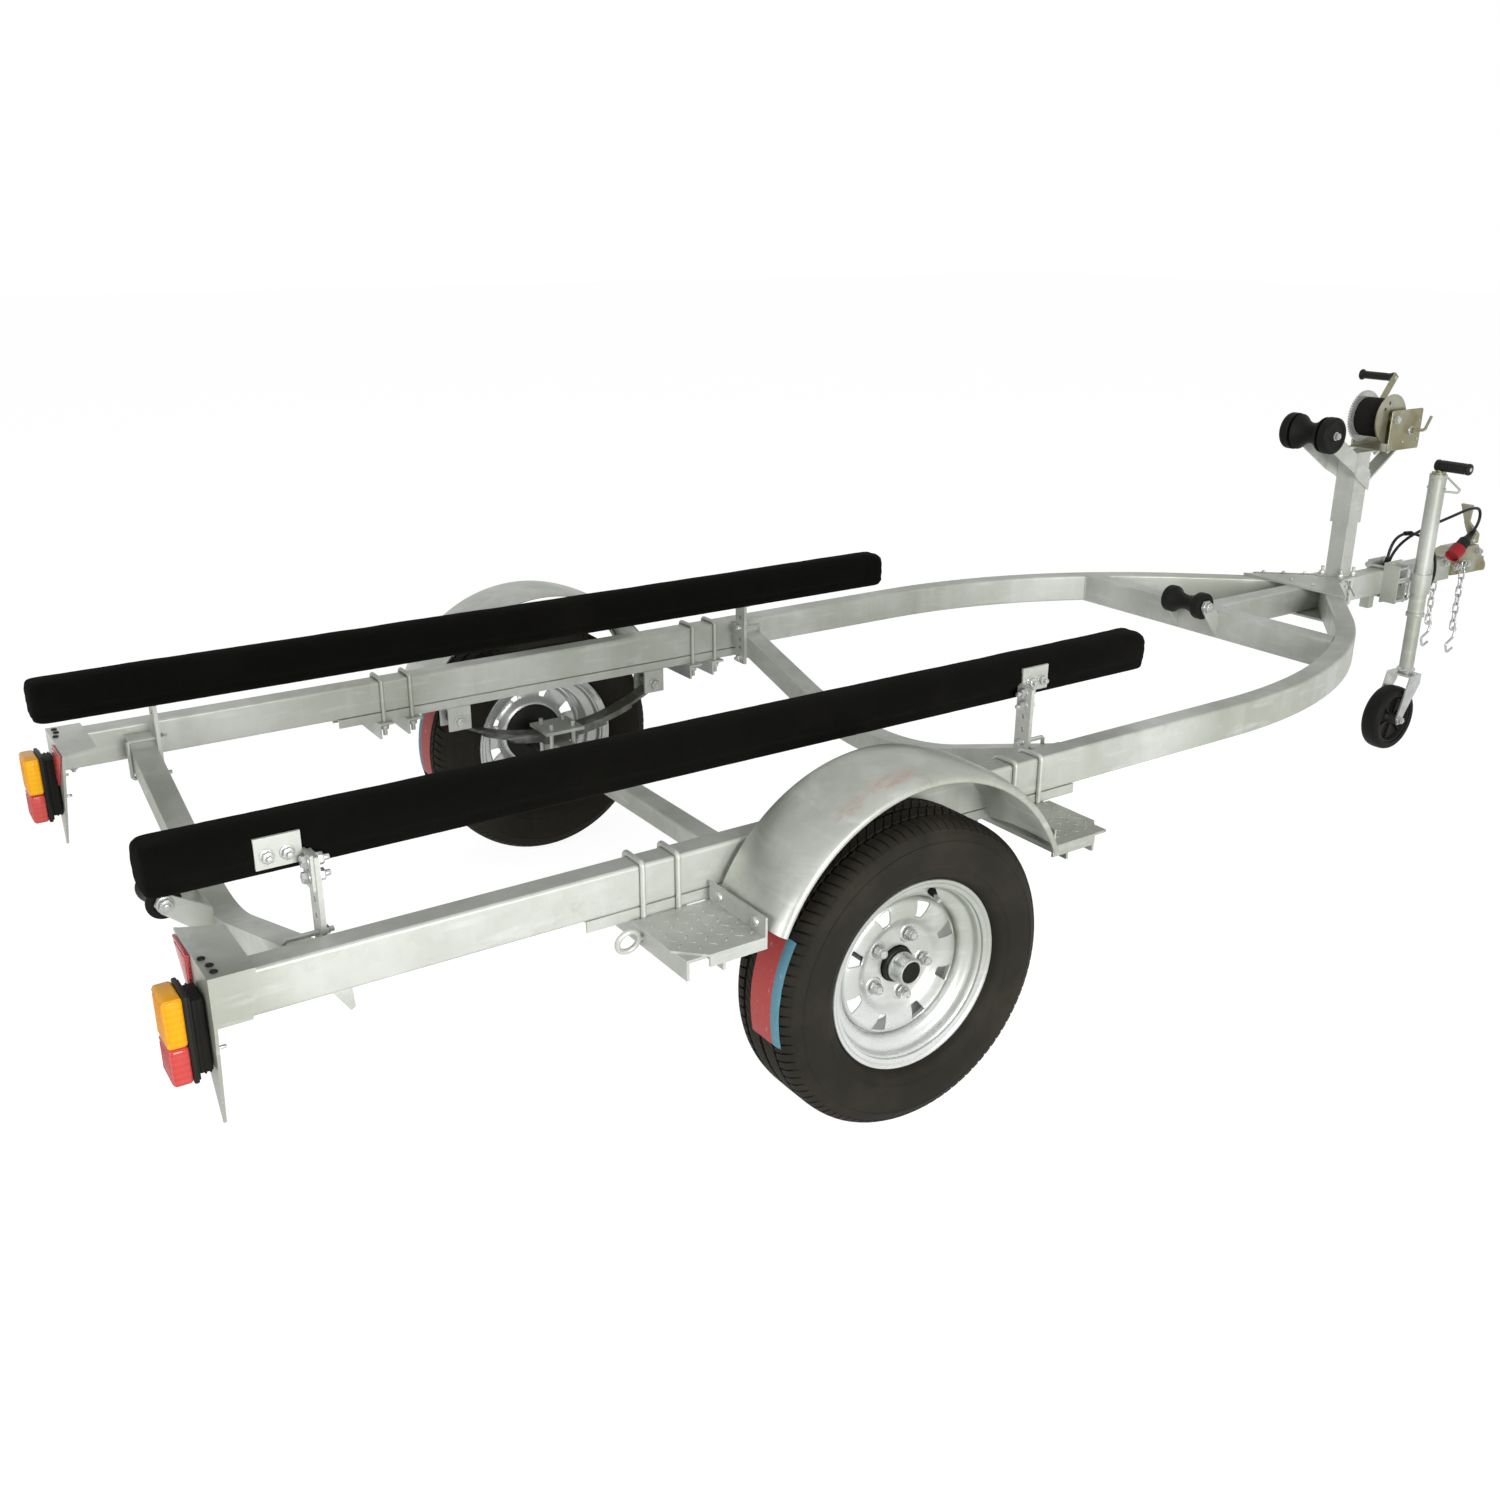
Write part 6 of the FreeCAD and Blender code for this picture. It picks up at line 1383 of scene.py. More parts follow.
@dataclass
class RearLights:
    """Two rear lamps with ribbed lenses, their studs and the light brackets' bolts."""

    lamp_y: float = 567.0
    half: float = 33.0
    face: float = -2071.0
    # lower and upper edges
    amber: tuple = (452.4, 530)
    red: tuple = (392, 451.6)
    flutes: int = 7
    # blocks of the shell and the foot: depths behind the face, pull-in at the sides, edges, bevel and its steps
    shell: tuple = ((31.2, 23.5, 0, 390.4, 531.6, 2.6, 3), (32.8, 24, 1, 450.6, 453.4, 0.8, 2),
                    (24, 21, 3, 394, 528, 1.2, 2))
    foot: tuple = ((22, 1, 0, 400, 520, 4, 3), (7.6, 4.4, -1, 399, 521, 1.4, 2), (14.6, 11.4, -1, 399, 521, 1.4, 2))
    stud_heights: tuple = (470, 424)
    # the bracket's top bolts
    top_bolts: tuple = ((-2057, 606), (-2057, 584), (-2062, 558))
    bracket_top: float = 560.9

    def build(self) -> None:
        """Mould the lamps and bolt the brackets."""
        self._lens(AMBER, self.amber, "lamp_amber")
        self._lens(RED_LENS, self.red, "lamp_red")
        self._shells()
        self._studs()
        self._reflectors()

    def _lens(self, finish: Finish, edges: tuple, node: str) -> None:
        """One colour of lens on both lamps, with its upright flutes.

        Args:
            finish: its surface, which it is named after.
            edges: lower and upper edge.
            node: the CAD node that it replaces.
        """
        lens_piece = Piece(finish.name, finish)
        y, half, (low, high) = self.lamp_y, self.half, edges
        front, back = self.face - 60, self.face - 31.4
        lens_piece.block((front + 1.2, y - half, low), (back, y + half, high), 5.0, 3)
        for i in range(self.flutes):
            place = y - half + 10 + (2 * half - 20) * i / (self.flutes - 1)
            lens_piece.rod((front + 2.4, place, low + 9), (front + 2.4, place, high - 9), 2.6, 10, bevel=0.8)
        for z in (low + 5.5, high - 5.5):
            lens_piece.block((front + 0.3, y - half + 4, z - 1.4), (front + 6, y + half - 4, z + 1.4), 1.0, 2)
        for way in (1, -1):
            flank = y + way * (half - 0.9)
            lens_piece.block((front + 12, flank - 1, low + 7), (back - 7, flank + 1, high - 7), 0.9, 2)
        lens_piece.both_sides().done(32, replaces=(node,))

    def _shells(self) -> None:
        """The black back shells and the rubber feet they stand on."""
        for name, finish, half, rows, nodes in (
                ("lamp_shells", BLACK_PLASTIC, self.half + 1.6, self.shell, ("lamp_bases",)),
                ("lamp_feet", RUBBER, 28.0, self.foot, ())):
            part = Piece(name, finish)
            for far, near, pull, low, high, bevel, steps in rows:
                side = half - pull
                part.block((self.face - far, self.lamp_y - side, low), (self.face - near, self.lamp_y + side, high),
                           bevel, steps)
            part.both_sides().done(32, replaces=nodes)

    def _studs(self) -> None:
        """Nuts behind the lamps and bolts through the brackets."""
        studs = Piece("light_fixings", BRIGHT_ZINC)
        for z in self.stud_heights:
            studs.nut((self.face + 5, self.lamp_y + 10, z), (1, 0, 0), 10, 5, 12)
        studs.nut((-2034, 595, 481), (0, 0, -1), 14, 7, 5)
        studs.both_sides().done()
        heads = Piece("bracket_bolts", BLACK_PLASTIC)
        z = self.bracket_top
        for x, y in self.top_bolts:
            heads.rod((x, y, z), (x, y, z + 2.5), 6.0, 18, bevel=1.0)
            heads.rod((x, y, z + 2.1), (x, y, z + 3.3), 3.0, 12, bevel=0.4)
        heads.both_sides().done()

    def _reflectors(self) -> None:
        """Triangular reflectors in their frames."""
        for name, corners, seat, thick, bevel, nodes in (
                ("reflector_frames", ((446, 556), (528, 556), (528, 468)), 0.4, 5.0, 1.2, ("reflectors",)),
                ("reflector_faces", ((460, 551), (523, 551), (523, 483.5)), 5.0, 1.6, 0.5, ())):
            face = Piece(name, PRISM)
            face.plate([(self.face - seat, y, z) for y, z in corners], (-thick, 0, 0), bevel)
            face.both_sides().done(32, replaces=nodes)


@dataclass
class Frame:
    """Weld beads and small tabs of the welded frame."""

    rail_in: float = RAIL_IN
    # rows of (rear face, dip) of the bowed crossmembers, and the width of their section
    bowed: tuple = ((-1932, 358), (-416, 372))
    section: float = 50.0
    carrier_ends: tuple = (-1479, -369)
    gusset_top: float = 557.0
    gusset_bolts: tuple = ((1208, 144), (1252, 106), (1296, 64), (1196, 36))
    post: float = 1361.9
    post_foot: float = 565.0
    # corners of the tab under the rail's rear end as (along, height), and its outer face
    tab: tuple = ((-1899, 482), (-1865, 482), (-1862, 442), (-1869, 437))
    tab_y: float = 604.0

    def build(self) -> None:
        """Lay the welds and add the tabs."""
        self._welds()
        self._tabs()

    def _welds(self) -> None:
        """Lay the weld beads."""
        beads = Piece("frame_welds", GALV)
        y, wide = self.rail_in, self.section
        for x, dip in self.bowed:
            top = dip + y * math.tan(ARM_LEAN)
            for edge in (x, x + wide):
                beads.weld((edge, y, top - wide), (edge, y, top - 2), 2.6)
            beads.weld((x, y, top + 1), (x + wide, y, top + 1), 2.6)
        beads.weld((745, 418, 484), (745, 418, 553), 2.6)
        for x in self.carrier_ends:
            beads.weld((x, 576, 480), (x, 614, 480), 2.6)
        beads.weld((1199, 172, self.gusset_top), (1338, 50, self.gusset_top), 2.8)
        beads.weld((1338, 46, self.gusset_top), (1338, 4, self.gusset_top), 2.8)
        beads.both_sides()
        x, foot = self.post, self.post_foot
        for side in (1, -1):
            beads.weld((x - 25, side * 25.5, foot), (x + 25, side * 25.5, foot), 2.6)
            beads.weld((x + side * 25.5, -25, foot), (x + side * 25.5, 25, foot), 2.6)
            beads.weld((x + 30.6, side * 36.4, 817), (x + 30.6, side * 36.4, 866), 2.2)
        beads.weld((x + 30.6, -19, 822), (x + 30.6, 19, 822), 2.4)
        beads.done(60)

    def _tabs(self) -> None:
        """Set the gusset's small bolts and the tabs under the rails."""
        tabs = Piece("frame_tabs", GALV)
        for x, y in self.gusset_bolts:
            tabs.nut((x, y, self.gusset_top + 4.8), (0, 0, 1), 9, 3.5, 1.5)
        tabs.plate([(x, self.tab_y, z) for x, z in self.tab], (0, -5, 0), 1.0)
        tabs.both_sides().done()


@dataclass
class KeelRollers:
    """Moulded keel rollers with their pins' nuts."""

    # axis along the trailer, axis height, radius and half length
    rear: tuple = (-2010, 422, 31, 44)
    front: tuple = (694, 574, 36, 62)
    # rows of (share of the radius, share of the half length) from the middle out
    rear_shape: tuple = ((0.76, 0), (0.80, 0.30), (0.93, 0.62), (0.99, 0.80), (1, 0.86), (1, 0.93), (0.97, 0.975))
    front_shape: tuple = ((0.54, 0), (0.58, 0.20), (0.68, 0.38), (0.84, 0.55), (0.97, 0.62), (1, 0.66), (1, 0.80),
                          (0.985, 0.815), (0.985, 0.83), (1, 0.845), (1, 0.93), (0.96, 0.98))

    def build(self) -> None:
        """Turn both rollers and set the nuts on their pins."""
        self._roller("keel_roller_rear", self.rear, self.rear_shape)
        self._roller("keel_roller_front", self.front, self.front_shape)
        pins = Piece("roller_pin_nuts", BRIGHT_ZINC)
        for x, z, _, half in (self.rear, self.front):
            pins.nut((x, half + 5.5, z), (0, 1, 0), 24, 10, 5)
            pins.rod((x, half + 5.4, z), (x, half + 7.4, z), 15.5, 32, bevel=0.4)
        pins.both_sides().done()

    def _roller(self, node: str, size: tuple, shape: tuple) -> None:
        """One roller from its half profile.

        Args:
            node: CAD node, which is also its body.
            size: as rear and front.
            shape: as rear_shape and front_shape.
        """
        x, z, radius, half = size
        piece = Piece(node + "_rubber", RUBBER, node)
        rows = [(radius * r, half * h) for r, h in shape]
        rows += [(radius * r, half - h) for r, h in ((0.90, 0.3), (0.62, 0.3), (0.58, 2.5), (0.44, 2.5), (0.42, 0.2))]
        rows.append((8.1, half - 0.2))
        piece.turned([(r, -h) for r, h in reversed(rows[1:])] + rows, (x, 0, z), Y, 72)
        piece.done(30, replaces=(node,))


@dataclass
class BowStop:
    """Moulded bow roller with its end bells and bolt."""

    axis: tuple = (1146.95, 0, 994)
    # rows of (radius, aside), from the middle out
    waist: tuple = ((28.6, 0), (29.4, 8), (32.6, 17), (37.4, 25), (42.4, 31.5), (45.6, 35), (47.6, 37.6),
                    (48.4, 39.4), (47.8, 41), (45, 41.4), (20, 41.4), (18, 39), (8.1, 39))
    bell: tuple = ((8.1, 48.7), (46.5, 48.7), (48.8, 49.2), (50, 50.6), (50, 58), (49.3, 59), (49.3, 60.4),
                   (50, 61.4), (50, 68.5), (49, 71.8), (46.6, 74.4), (43, 75.8), (38, 76.2), (35.6, 75.6),
                   (34.4, 73.8), (22, 73.2), (20.4, 74.6), (8.1, 74.6))

    def build(self) -> None:
        """Turn the waisted roller and the two bells, and set the bolt's nuts."""
        rubber_piece = Piece("bow_rubber", RUBBER, "bow_roller")
        rubber_piece.turned([(r, -h) for r, h in reversed(self.waist[1:])] + list(self.waist), self.axis, Y, 80)
        for way in (1, -1):
            bell = Piece("bell", RUBBER, "bow_roller")
            rubber_piece.absorb(bell.turned(self.bell, self.axis, Y * way, 80))
        rubber_piece.done(32, replaces=("bow_roller",))
        nuts = Piece("bow_bolt_nuts", BRIGHT_ZINC)
        for way in (1, -1):
            nuts.nut((self.axis[0], way * 75.0, self.axis[2]), (0, way, 0), 17, 8, 4)
        nuts.done()


@dataclass
class WinchPost:
    """Bolts that hold the winch to the post's shelf."""

    bolts: tuple = ((1432, 18), (1432, -18), (1490, 18), (1490, -18))
    shelf: float = 924.0

    def build(self) -> None:
        """Set the nuts under the shelf."""
        nuts = Piece("post_fixings", BRIGHT_ZINC)
        for x, y in self.bolts:
            nuts.nut((x, y, self.shelf), (0, 0, -1), 13, 6, 4)
        nuts.done()


@dataclass
class Winch:
    """Hand winch: pressed cheeks, wound strap, shaft nuts, pawl and the crank's grip."""

    drum: tuple = (1445.95, 1016)
    crank: tuple = (1523.4, 981)
    # half width over the cheeks
    half: float = 60.0
    # bottom, top, back and front of the cheeks
    cheek: tuple = (934, 1040, -21, 124)
    rivets: tuple = ((34, 26), (34, -26), (-34, -30))
    # corners of the pawl and ends of its pin, from the middle of the crank's shaft
    pawl: tuple = ((-22, -44, 42), (20, -20, 54))
    pin: tuple = ((-14, -58, 48), (-14, -18, 48))
    # rows of (radius, aside) of the wound strap
    wound: tuple = ((26.4, -37.4), (54, -37.4), (55.2, -36.6), (55.8, -34), (55.4, -20), (55.9, -2), (55.5, 14),
                    (55.9, 30), (55.5, 38), (54.6, 41), (26.4, 41.2))

    def build(self) -> None:
        """Dress the winch."""
        self._frame()
        self._strap()
        self._grip()
        self._crank_fixings()

    def _frame(self) -> None:
        """Nuts on the drum bolt, the shaft's bush, rivets, the pawl and the cheeks' rolled edges."""
        x, z = self.drum
        nuts = Piece("winch_nuts", BRIGHT_ZINC)
        for way in (1, -1):
            nuts.nut((x, way * self.half, z), (0, way, 0), 18, 7, 0)
        cx, cz = self.crank
        bush = [(8.2, 0), (12.5, 0), (12.5, 2), (11.5, 3), (10.4, 3.2), (10, 8), (8.2, 8)]
        nuts.lathe(bush, (cx, -self.half, cz), (0, -1, 0), 40)
        for dx, dz in self.rivets:
            nuts.rod((cx + dx, -self.half, cz + dz), (cx + dx, -self.half - 2.0, cz + dz), 3.6, 18, bevel=0.9)
        nuts.done()
        pawl = Piece("winch_pawl", BLACK_PLASTIC)
        shaft = Vector((cx, 0, cz))
        pawl.block(*(shaft + Vector(corner) for corner in self.pawl), 2.4, 3)
        pawl.rod(*(shaft + Vector(end) for end in self.pin), 4.5, 16, bevel=0.6)
        pawl.done()
        rim = Piece("winch_cheek_rims", YELLOW_ZINC)
        low, high, back, front = self.cheek
        for way in (1, -1):
            y = way * (self.half - 2)
            rim.tube([(x + back, y, low), (x + back, y, high - 3), (x + back + 3, y, high), (x + front - 3, y, high),
                      (x + front, y, high - 3), (x + front, y, low)], 2.35, 10, 3)
        rim.done()

    def _strap(self) -> None:
        """The wound webbing with its uneven layers."""
        strap = Piece("wound_strap", WEBBING, "winch_drum")
        x, z = self.drum
        strap.turned(self.wound, (x, 0, z), Y, 96)
        for v in strap.bm.verts:
            way = Vector((v.co.x - x, 0, v.co.z - z))
            if way.length > 50:
                turn = math.atan2(way.z, way.x)
                v.co -= way.normalized() * 0.45 * (1 + math.sin(turn * 3 + v.co.y * 0.06))
        strap.done(40, replaces=("winch_strap",))

    @staticmethod
    def _grip_end() -> tuple:
        """The middle of the CAD grip's inner end.

        Returns:
            Its place in the row frame.
        """
        low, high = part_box("winch_grip")
        return (low[0] + high[0]) / 2 / MM, low[1] / MM, (low[2] + high[2]) / 2 / MM

    def _grip(self) -> None:
        """The moulded crank grip with its flared end."""
        grip = Piece("crank_grip", BLACK_PLASTIC, "winch_crank")
        x, y, z = self._grip_end()
        rows = [(0, 0.2), (13.6, 0.2), (14.6, 1.4), (14.6, 4.5), (13, 7), (11.6, 12), (11, 24)]
        rows += ridges(11.0, 11.5, (26, 27.6, 30.4, 32), 7.2)
        rows += [(11.8, 96), (14.2, 100), (15.8, 103), (15.8, 106), (14.4, 107.8), (6, 107.9), (5, 106.4), (0, 106.2)]
        grip.lathe(rows, (x, y, z), Y, 56)
        grip.done(35, replaces=("winch_grip",))

    def _crank_fixings(self) -> None:
        """Nut on the crank shaft and the grip's bolt."""
        cx, cz = self.crank
        nuts = Piece("crank_nuts", BRIGHT_ZINC, "winch_crank")
        nuts.nut((cx, 82, cz), (0, 1, 0), 17, 8, 4)
        x, _, z = self._grip_end()
        nuts.rod((x, 74.0, z), (x, 76.4, z), 6, 20, bevel=1.0)
        nuts.done()


@dataclass
class JockeyWheel:
    """Clamp bolts, crank hoop, grip, fork nuts and the moulded wheel."""

    leg: tuple = (1652, -92)
    wheel: tuple = (1594, -92, 100)
    ties: tuple = ((1568, 562), (1568, 475), (1628, 562), (1628, 475))
    # rows of (bottom, top, front end) of the wire latches
    latches: tuple = ((535, 567, 1612), (469, 527, 1625))
    latch_rear: float = 1557.0
    latch_y: float = -74.0
    # height of the crank grip's middle, and the way that the wire hoop stands out
    grip_height: float = 873.0
    hoop_way: tuple = (0.829, -0.559, 0)
    # heights of the two pins that cross the head
    pins: tuple = (800, 806)
    spokes: int = 6
    # rows of (radius, aside), from the middle out
    tread: tuple = ((76.3, 0), (76.3, 25), (78, 27.2), (82, 28), (88, 28), (90, 27.2), (91, 27.6), (94, 25.4),
                    (97, 21.4), (99, 16), (99.9, 9), (100, 0))
    hub: tuple = ((6.1, 34.6), (12, 34.6), (14, 33.6), (16, 31), (19, 14), (24, 8.6), (60, 6.8), (66, 9), (69, 18),
                  (71, 22.5), (74, 23.4), (75.9, 22.6), (75.9, 0))

    def build(self) -> None:
        """Dress the jockey wheel."""
        self._clamp()
        self._head()
        self._wheel()

    def _clamp(self) -> None:
        """Nuts on the clamp's ties and stud, and its bright wire latches."""
        nuts = Piece("jockey_clamp_nuts", BRIGHT_ZINC)
        for x, z in self.ties:
            for way in (1, -1):
                nuts.nut((x, way * 31.0, z), (0, way, 0), 16, 8, 4)
        nuts.nut((1606, -66, 518), (0, -1, 0), 17, 8, 5)
        rear, y = self.latch_rear, self.latch_y
        for low, high, end in self.latches:
            nuts.tube([(rear, y, low), (end, y, low), (end, y, high), (rear, y, high)], 4.4, 14, 5)
        nuts.done()

    def _head(self) -> None:
        """The tube's cap, the crank's wire hoop and its moulded grip."""
        x, y = self.leg
        cap = Piece("jockey_head", GALV)
        cap.lathe([(0, 848.2), (19, 848.2), (23.2, 847.6), (24.7, 846), (24.7, 838), (24.1, 836), (24.1, 834)],
                  (x, y, 0), Z, 56)
        for z, way in zip(self.pins, (X, Y)):
            seat = Vector((x, y, z))
            cap.rod(seat - way * 29, seat + way * 29, 4.2, 16, bevel=0.8)
        out, middle = Vector(self.hoop_way), Vector((x, y, 0))
        hoop = [middle + out * away + Z * up for away, up in ((23, 842), (72, 800), (66, 792), (24, 796))]
        cap.tube(hoop, 3.2, 12, 5)
        cap.lathe([(24.15, 415.4), (26.4, 415.4), (26.9, 417), (26.9, 424), (26.4, 426), (24.1, 427)],
                  (x, y, 0), Z, 56)
        cap.done()
        grip = Piece("jockey_grip_sleeve", BLACK_PLASTIC, "jockey_crank")
        rows = [(0, -53.9), (13, -53.9), (15.6, -52.6), (16.9, -49.5), (16.9, -44), (15.6, -41)]
        rows += ridges(15.4, 16.4, (-38, -36, -33, -31), 8.6)
        rows += [(15.6, 41), (16.9, 44), (16.9, 49.5), (15.6, 52.6), (13, 53.9), (7, 53.9), (6, 52), (0, 51.8)]
        z = self.grip_height
        grip.lathe(rows, (x, y - 42, z), Y, 56)
        grip.done(35, replaces=("jockey_grip",))
        bung = Piece("jockey_grip_core", BRIGHT_ZINC, "jockey_crank")
        bung.rod((x, y + 10.5, z), (x, y + 12.8, z), 6, 20, bevel=0.8)
        bung.rod((x, y - 96.3, z), (x, y - 94, z), 6, 20, bevel=0.8)
        bung.done()

    def _wheel(self) -> None:
        """Turn the solid tyre and the spoked plastic centre."""
        x, y, z = self.wheel
        tyre = Piece("jockey_solid_tyre", RUBBER, "jockey_wheel")
        tyre.turned(list(self.tread) + [(r, -h) for r, h in reversed(self.tread[1:-1])], (x, y, z), Y, 96)
        tyre.done(30, replaces=("jockey_tyre",))
        centre = Piece("jockey_wheel_centre", BLACK_PLASTIC, "jockey_wheel")
        centre.turned(list(self.hub) + [(r, -h) for r, h in reversed(self.hub[:-1])], (x, y, z), Y, 80)
        for i in range(self.spokes):
            a = math.radians(360 / self.spokes * i + 15)
            way = Vector((math.cos(a), 0, math.sin(a)))
            turn = Matrix.Rotation(-a, 4, "Y")
            mid = Vector((x, y, z)) + way * 43
            centre.block(mid - Vector((26, 17, 2.4)), mid + Vector((26, 17, 2.4)), 1.2, 2, turn)
        centre.done(35, replaces=("jockey_rim",))
        nuts = Piece("jockey_axle_nuts", BRIGHT_ZINC, "jockey_fork")
        for way in (1, -1):
            nuts.nut((x, y + way * 41.2, z), (0, way, 0), 19, 8, 4)
        nuts.lathe([(21.2, 242), (25, 242.4), (27, 244), (27.2, 248), (24, 252), (21.3, 254)],
                   (self.leg[0], y, 0), Z, 48)
        nuts.done()


@dataclass
class Nose:
    """Coupling fixings, chain links, plug and cable fittings."""

    # rows of (along, aside, height) of the bolts through the coupling
    bolts: tuple = ((1880, 25.2, 538), (1938, 30.2, 520))
    pivot: tuple = (2058, 30, 556)
    catch: tuple = (2040, 590)
    # corners of the catch's tongue, its tilt in degrees, and the points of its wire
    tongue: tuple = ((2010, -9, 576), (2052, 9, 584))
    tilt: float = -12.0
    wire: tuple = ((2018, 0, 580), (2002, 0, 596), (1990, 0, 592))
    # the chain's bolt, the length, width and thickness of a link, and the number of links
    chain: tuple = (1960, 43, 532)
    link: tuple = (40, 22, 6)
    links: int = 8
    # corners of the hook as (along, height) from the last link's bend
    hook: tuple = ((2, 0), (22, 0), (14, -34), (-22, -52), (-8, -82), (20, -70))
    # the plug's open end and its lean in degrees
    plug: tuple = (1868, -53.3, 566)
    lean: float = 35.0
    # rows of (radius, along the plug)
    shell: tuple = ((0, 6), (17.5, 6), (18, 0.6), (21.6, 0.3), (22.8, 1.4), (22.8, 9), (21.8, 10), (21.8, 34),
                    (22.8, 35), (22.8, 39), (21.6, 39.8), (0, 39.8))
    rear: tuple = ((0, 40.2), (18.2, 40.2), (18.9, 41.2), (18.9, 45), (17.6, 46.4), (17.6, 66), (18.6, 67.4),
                   (18.6, 72), (17, 74), (13.4, 80), (11.4, 88), (10, 94.6), (0, 95))
    # rows of (radius, height) round the cable where it leaves the drawbar
    gland: tuple = ((4.7, 555.4), (12, 555.4), (12.6, 557), (12, 559), (8.6, 560), (8.2, 566), (6.4, 576), (5.2, 584),
                    (4.7, 585))
    gland_x: float = 1605.0
    sleeve: tuple = ((1668, -4.6, 652.6), (1696, -11.2, 652))

    def build(self) -> None:
        """Dress the nose."""
        self._coupling()
        self._chains()
        self._plug()
        self._cable_fittings()

    def _coupling(self) -> None:
        """Bolts through the coupling, its catch and lever pivot."""
        bolts = Piece("coupling_bolts", BRIGHT_ZINC)
        for way in (1, -1):
            for x, y, z in self.bolts:
                bolts.nut((x, way * y, z), (0, way, 0), 19, 9, 5)
            x, y, z = self.pivot
            bolts.nut((x, way * y, z), (0, way, 0), 17, 8, 4)
            x, z = self.catch
            bolts.rod((x, way * 15.0, z), (x, way * 20, z), 6.5, 18, bevel=0.8)
        bolts.done()
        tongue = Piece("coupling_catch", YELLOW_ZINC)
        tongue.block(*self.tongue, 2.0, 2, Matrix.Rotation(math.radians(self.tilt), 4, "Y"))
        tongue.tube(self.wire, 3.0, 12, 5)
        tongue.done()

    def _chains(self) -> None:
        """Round links in place of the flat-sided ones, with hooks and pins."""
        x, y, z = self.chain
        long, wide, thick = self.link
        step = long - 2 * thick - 0.3
        steel = Piece("safety_chains", BRIGHT_ZINC)
        top = z + 4.5 + 0.3 + thick
        bow, run = wide / 2 - thick / 2, long / 2 - wide / 2
        # a link's points as (aside, up), its bends lifted by half the length of its straight sides
        turns = [(2 * math.pi * k / 20, lift) for k, lift in enumerate([0] + [run] * 9 + [0] + [-run] * 9)]
        flat = [(bow * math.cos(a), bow * math.sin(a) + lift) for a, lift in turns]
        for i in range(self.links):
            middle = Vector((x, y, top - long / 2 - i * step))
            across = (X, Y)[i % 2]
            steel.tube([middle + across * u + Z * v for u, v in flat], thick / 2 * 0.97, 10, closed=True)
        seat = top - long - (self.links - 1) * step + thick + 4.3
        steel.tube([(x + along, y, seat + up) for along, up in self.hook], 4.0, 12, 9)
        steel.rod((x, y - 13, z), (x, y + 13, z), 4.5, 16)
        steel.nut((x, y + 11, z), (0, 1, 0), 15, 7, 3)
        steel.both_sides().done(40, replaces=("chains",))

    @staticmethod
    def _ribs(piece: Piece, seat: Vector, way: Vector, count: int, radius: float, run: tuple, thick: float) -> None:
        """Ribs round a turned part of the plug.

        Args:
            piece: the part.
            seat: where its axis has its zero.
            way: the way of its axis.
            count: number of ribs.
            radius: where they stand.
            run: where they start and end along the axis.
            thick: radius of a rib.
        """
        for i in range(count):
            a = 2 * math.pi * i / count
            foot = seat + (way.cross(Y).normalized() * math.cos(a) + Y * math.sin(a)) * radius
            piece.rod(foot + way * run[0], foot + way * run[1], thick, 8, bevel=0.3)

    def _plug(self) -> None:
        """The ribbed plug with its collar, its black rear and the cable's rubber strain relief."""
        lean = math.radians(self.lean)
        way = Vector((math.cos(lean), 0, math.sin(lean)))
        seat = Vector(self.plug)
        red = Piece("plug_shell", RED_PLASTIC)
        red.lathe(self.shell, seat, way, 56)
        self._ribs(red, seat, way, 18, 21.8, (10, 34), 1.2)
        red.done(35, replaces=("plug_socket",))
        black = Piece("plug_rear", BLACK_PLASTIC)
        black.lathe(self.rear, seat, way, 56)
        self._ribs(black, seat, way, 12, 17.5, (47, 66), 1.3)
        black.done(35, replaces=("plug_body",))
        relief = Piece("plug_strain_relief", RUBBER)
        rows = [(5.2, 94), (9.2, 94), (9.4, 96), (8.6, 98)]
        for i in range(5):
            r = 8.4 - i * 0.6
            rows += [(r, 99.4 + i * 4.6), (r, 101.4 + i * 4.6), (r - 1.2, 102.2 + i * 4.6),
                     (r - 1.2, 103.4 + i * 4.6)]
        rows += [(5.4, 124), (4.7, 126)]
        relief.lathe(rows, seat, way, 32)
        relief.done(35)

    def _cable_fittings(self) -> None:
        """The gland on the drawbar and the sleeve round the cable."""
        gland = Piece("cable_gland", RUBBER)
        gland.lathe(self.gland, (self.gland_x, 0, 0), Z, 40)
        gland.done(35)
        sleeve = Piece("cable_sleeve", RUBBER)
        sleeve.rod(*self.sleeve, 6.8, 24, bevel=1.2)
        sleeve.done(35)


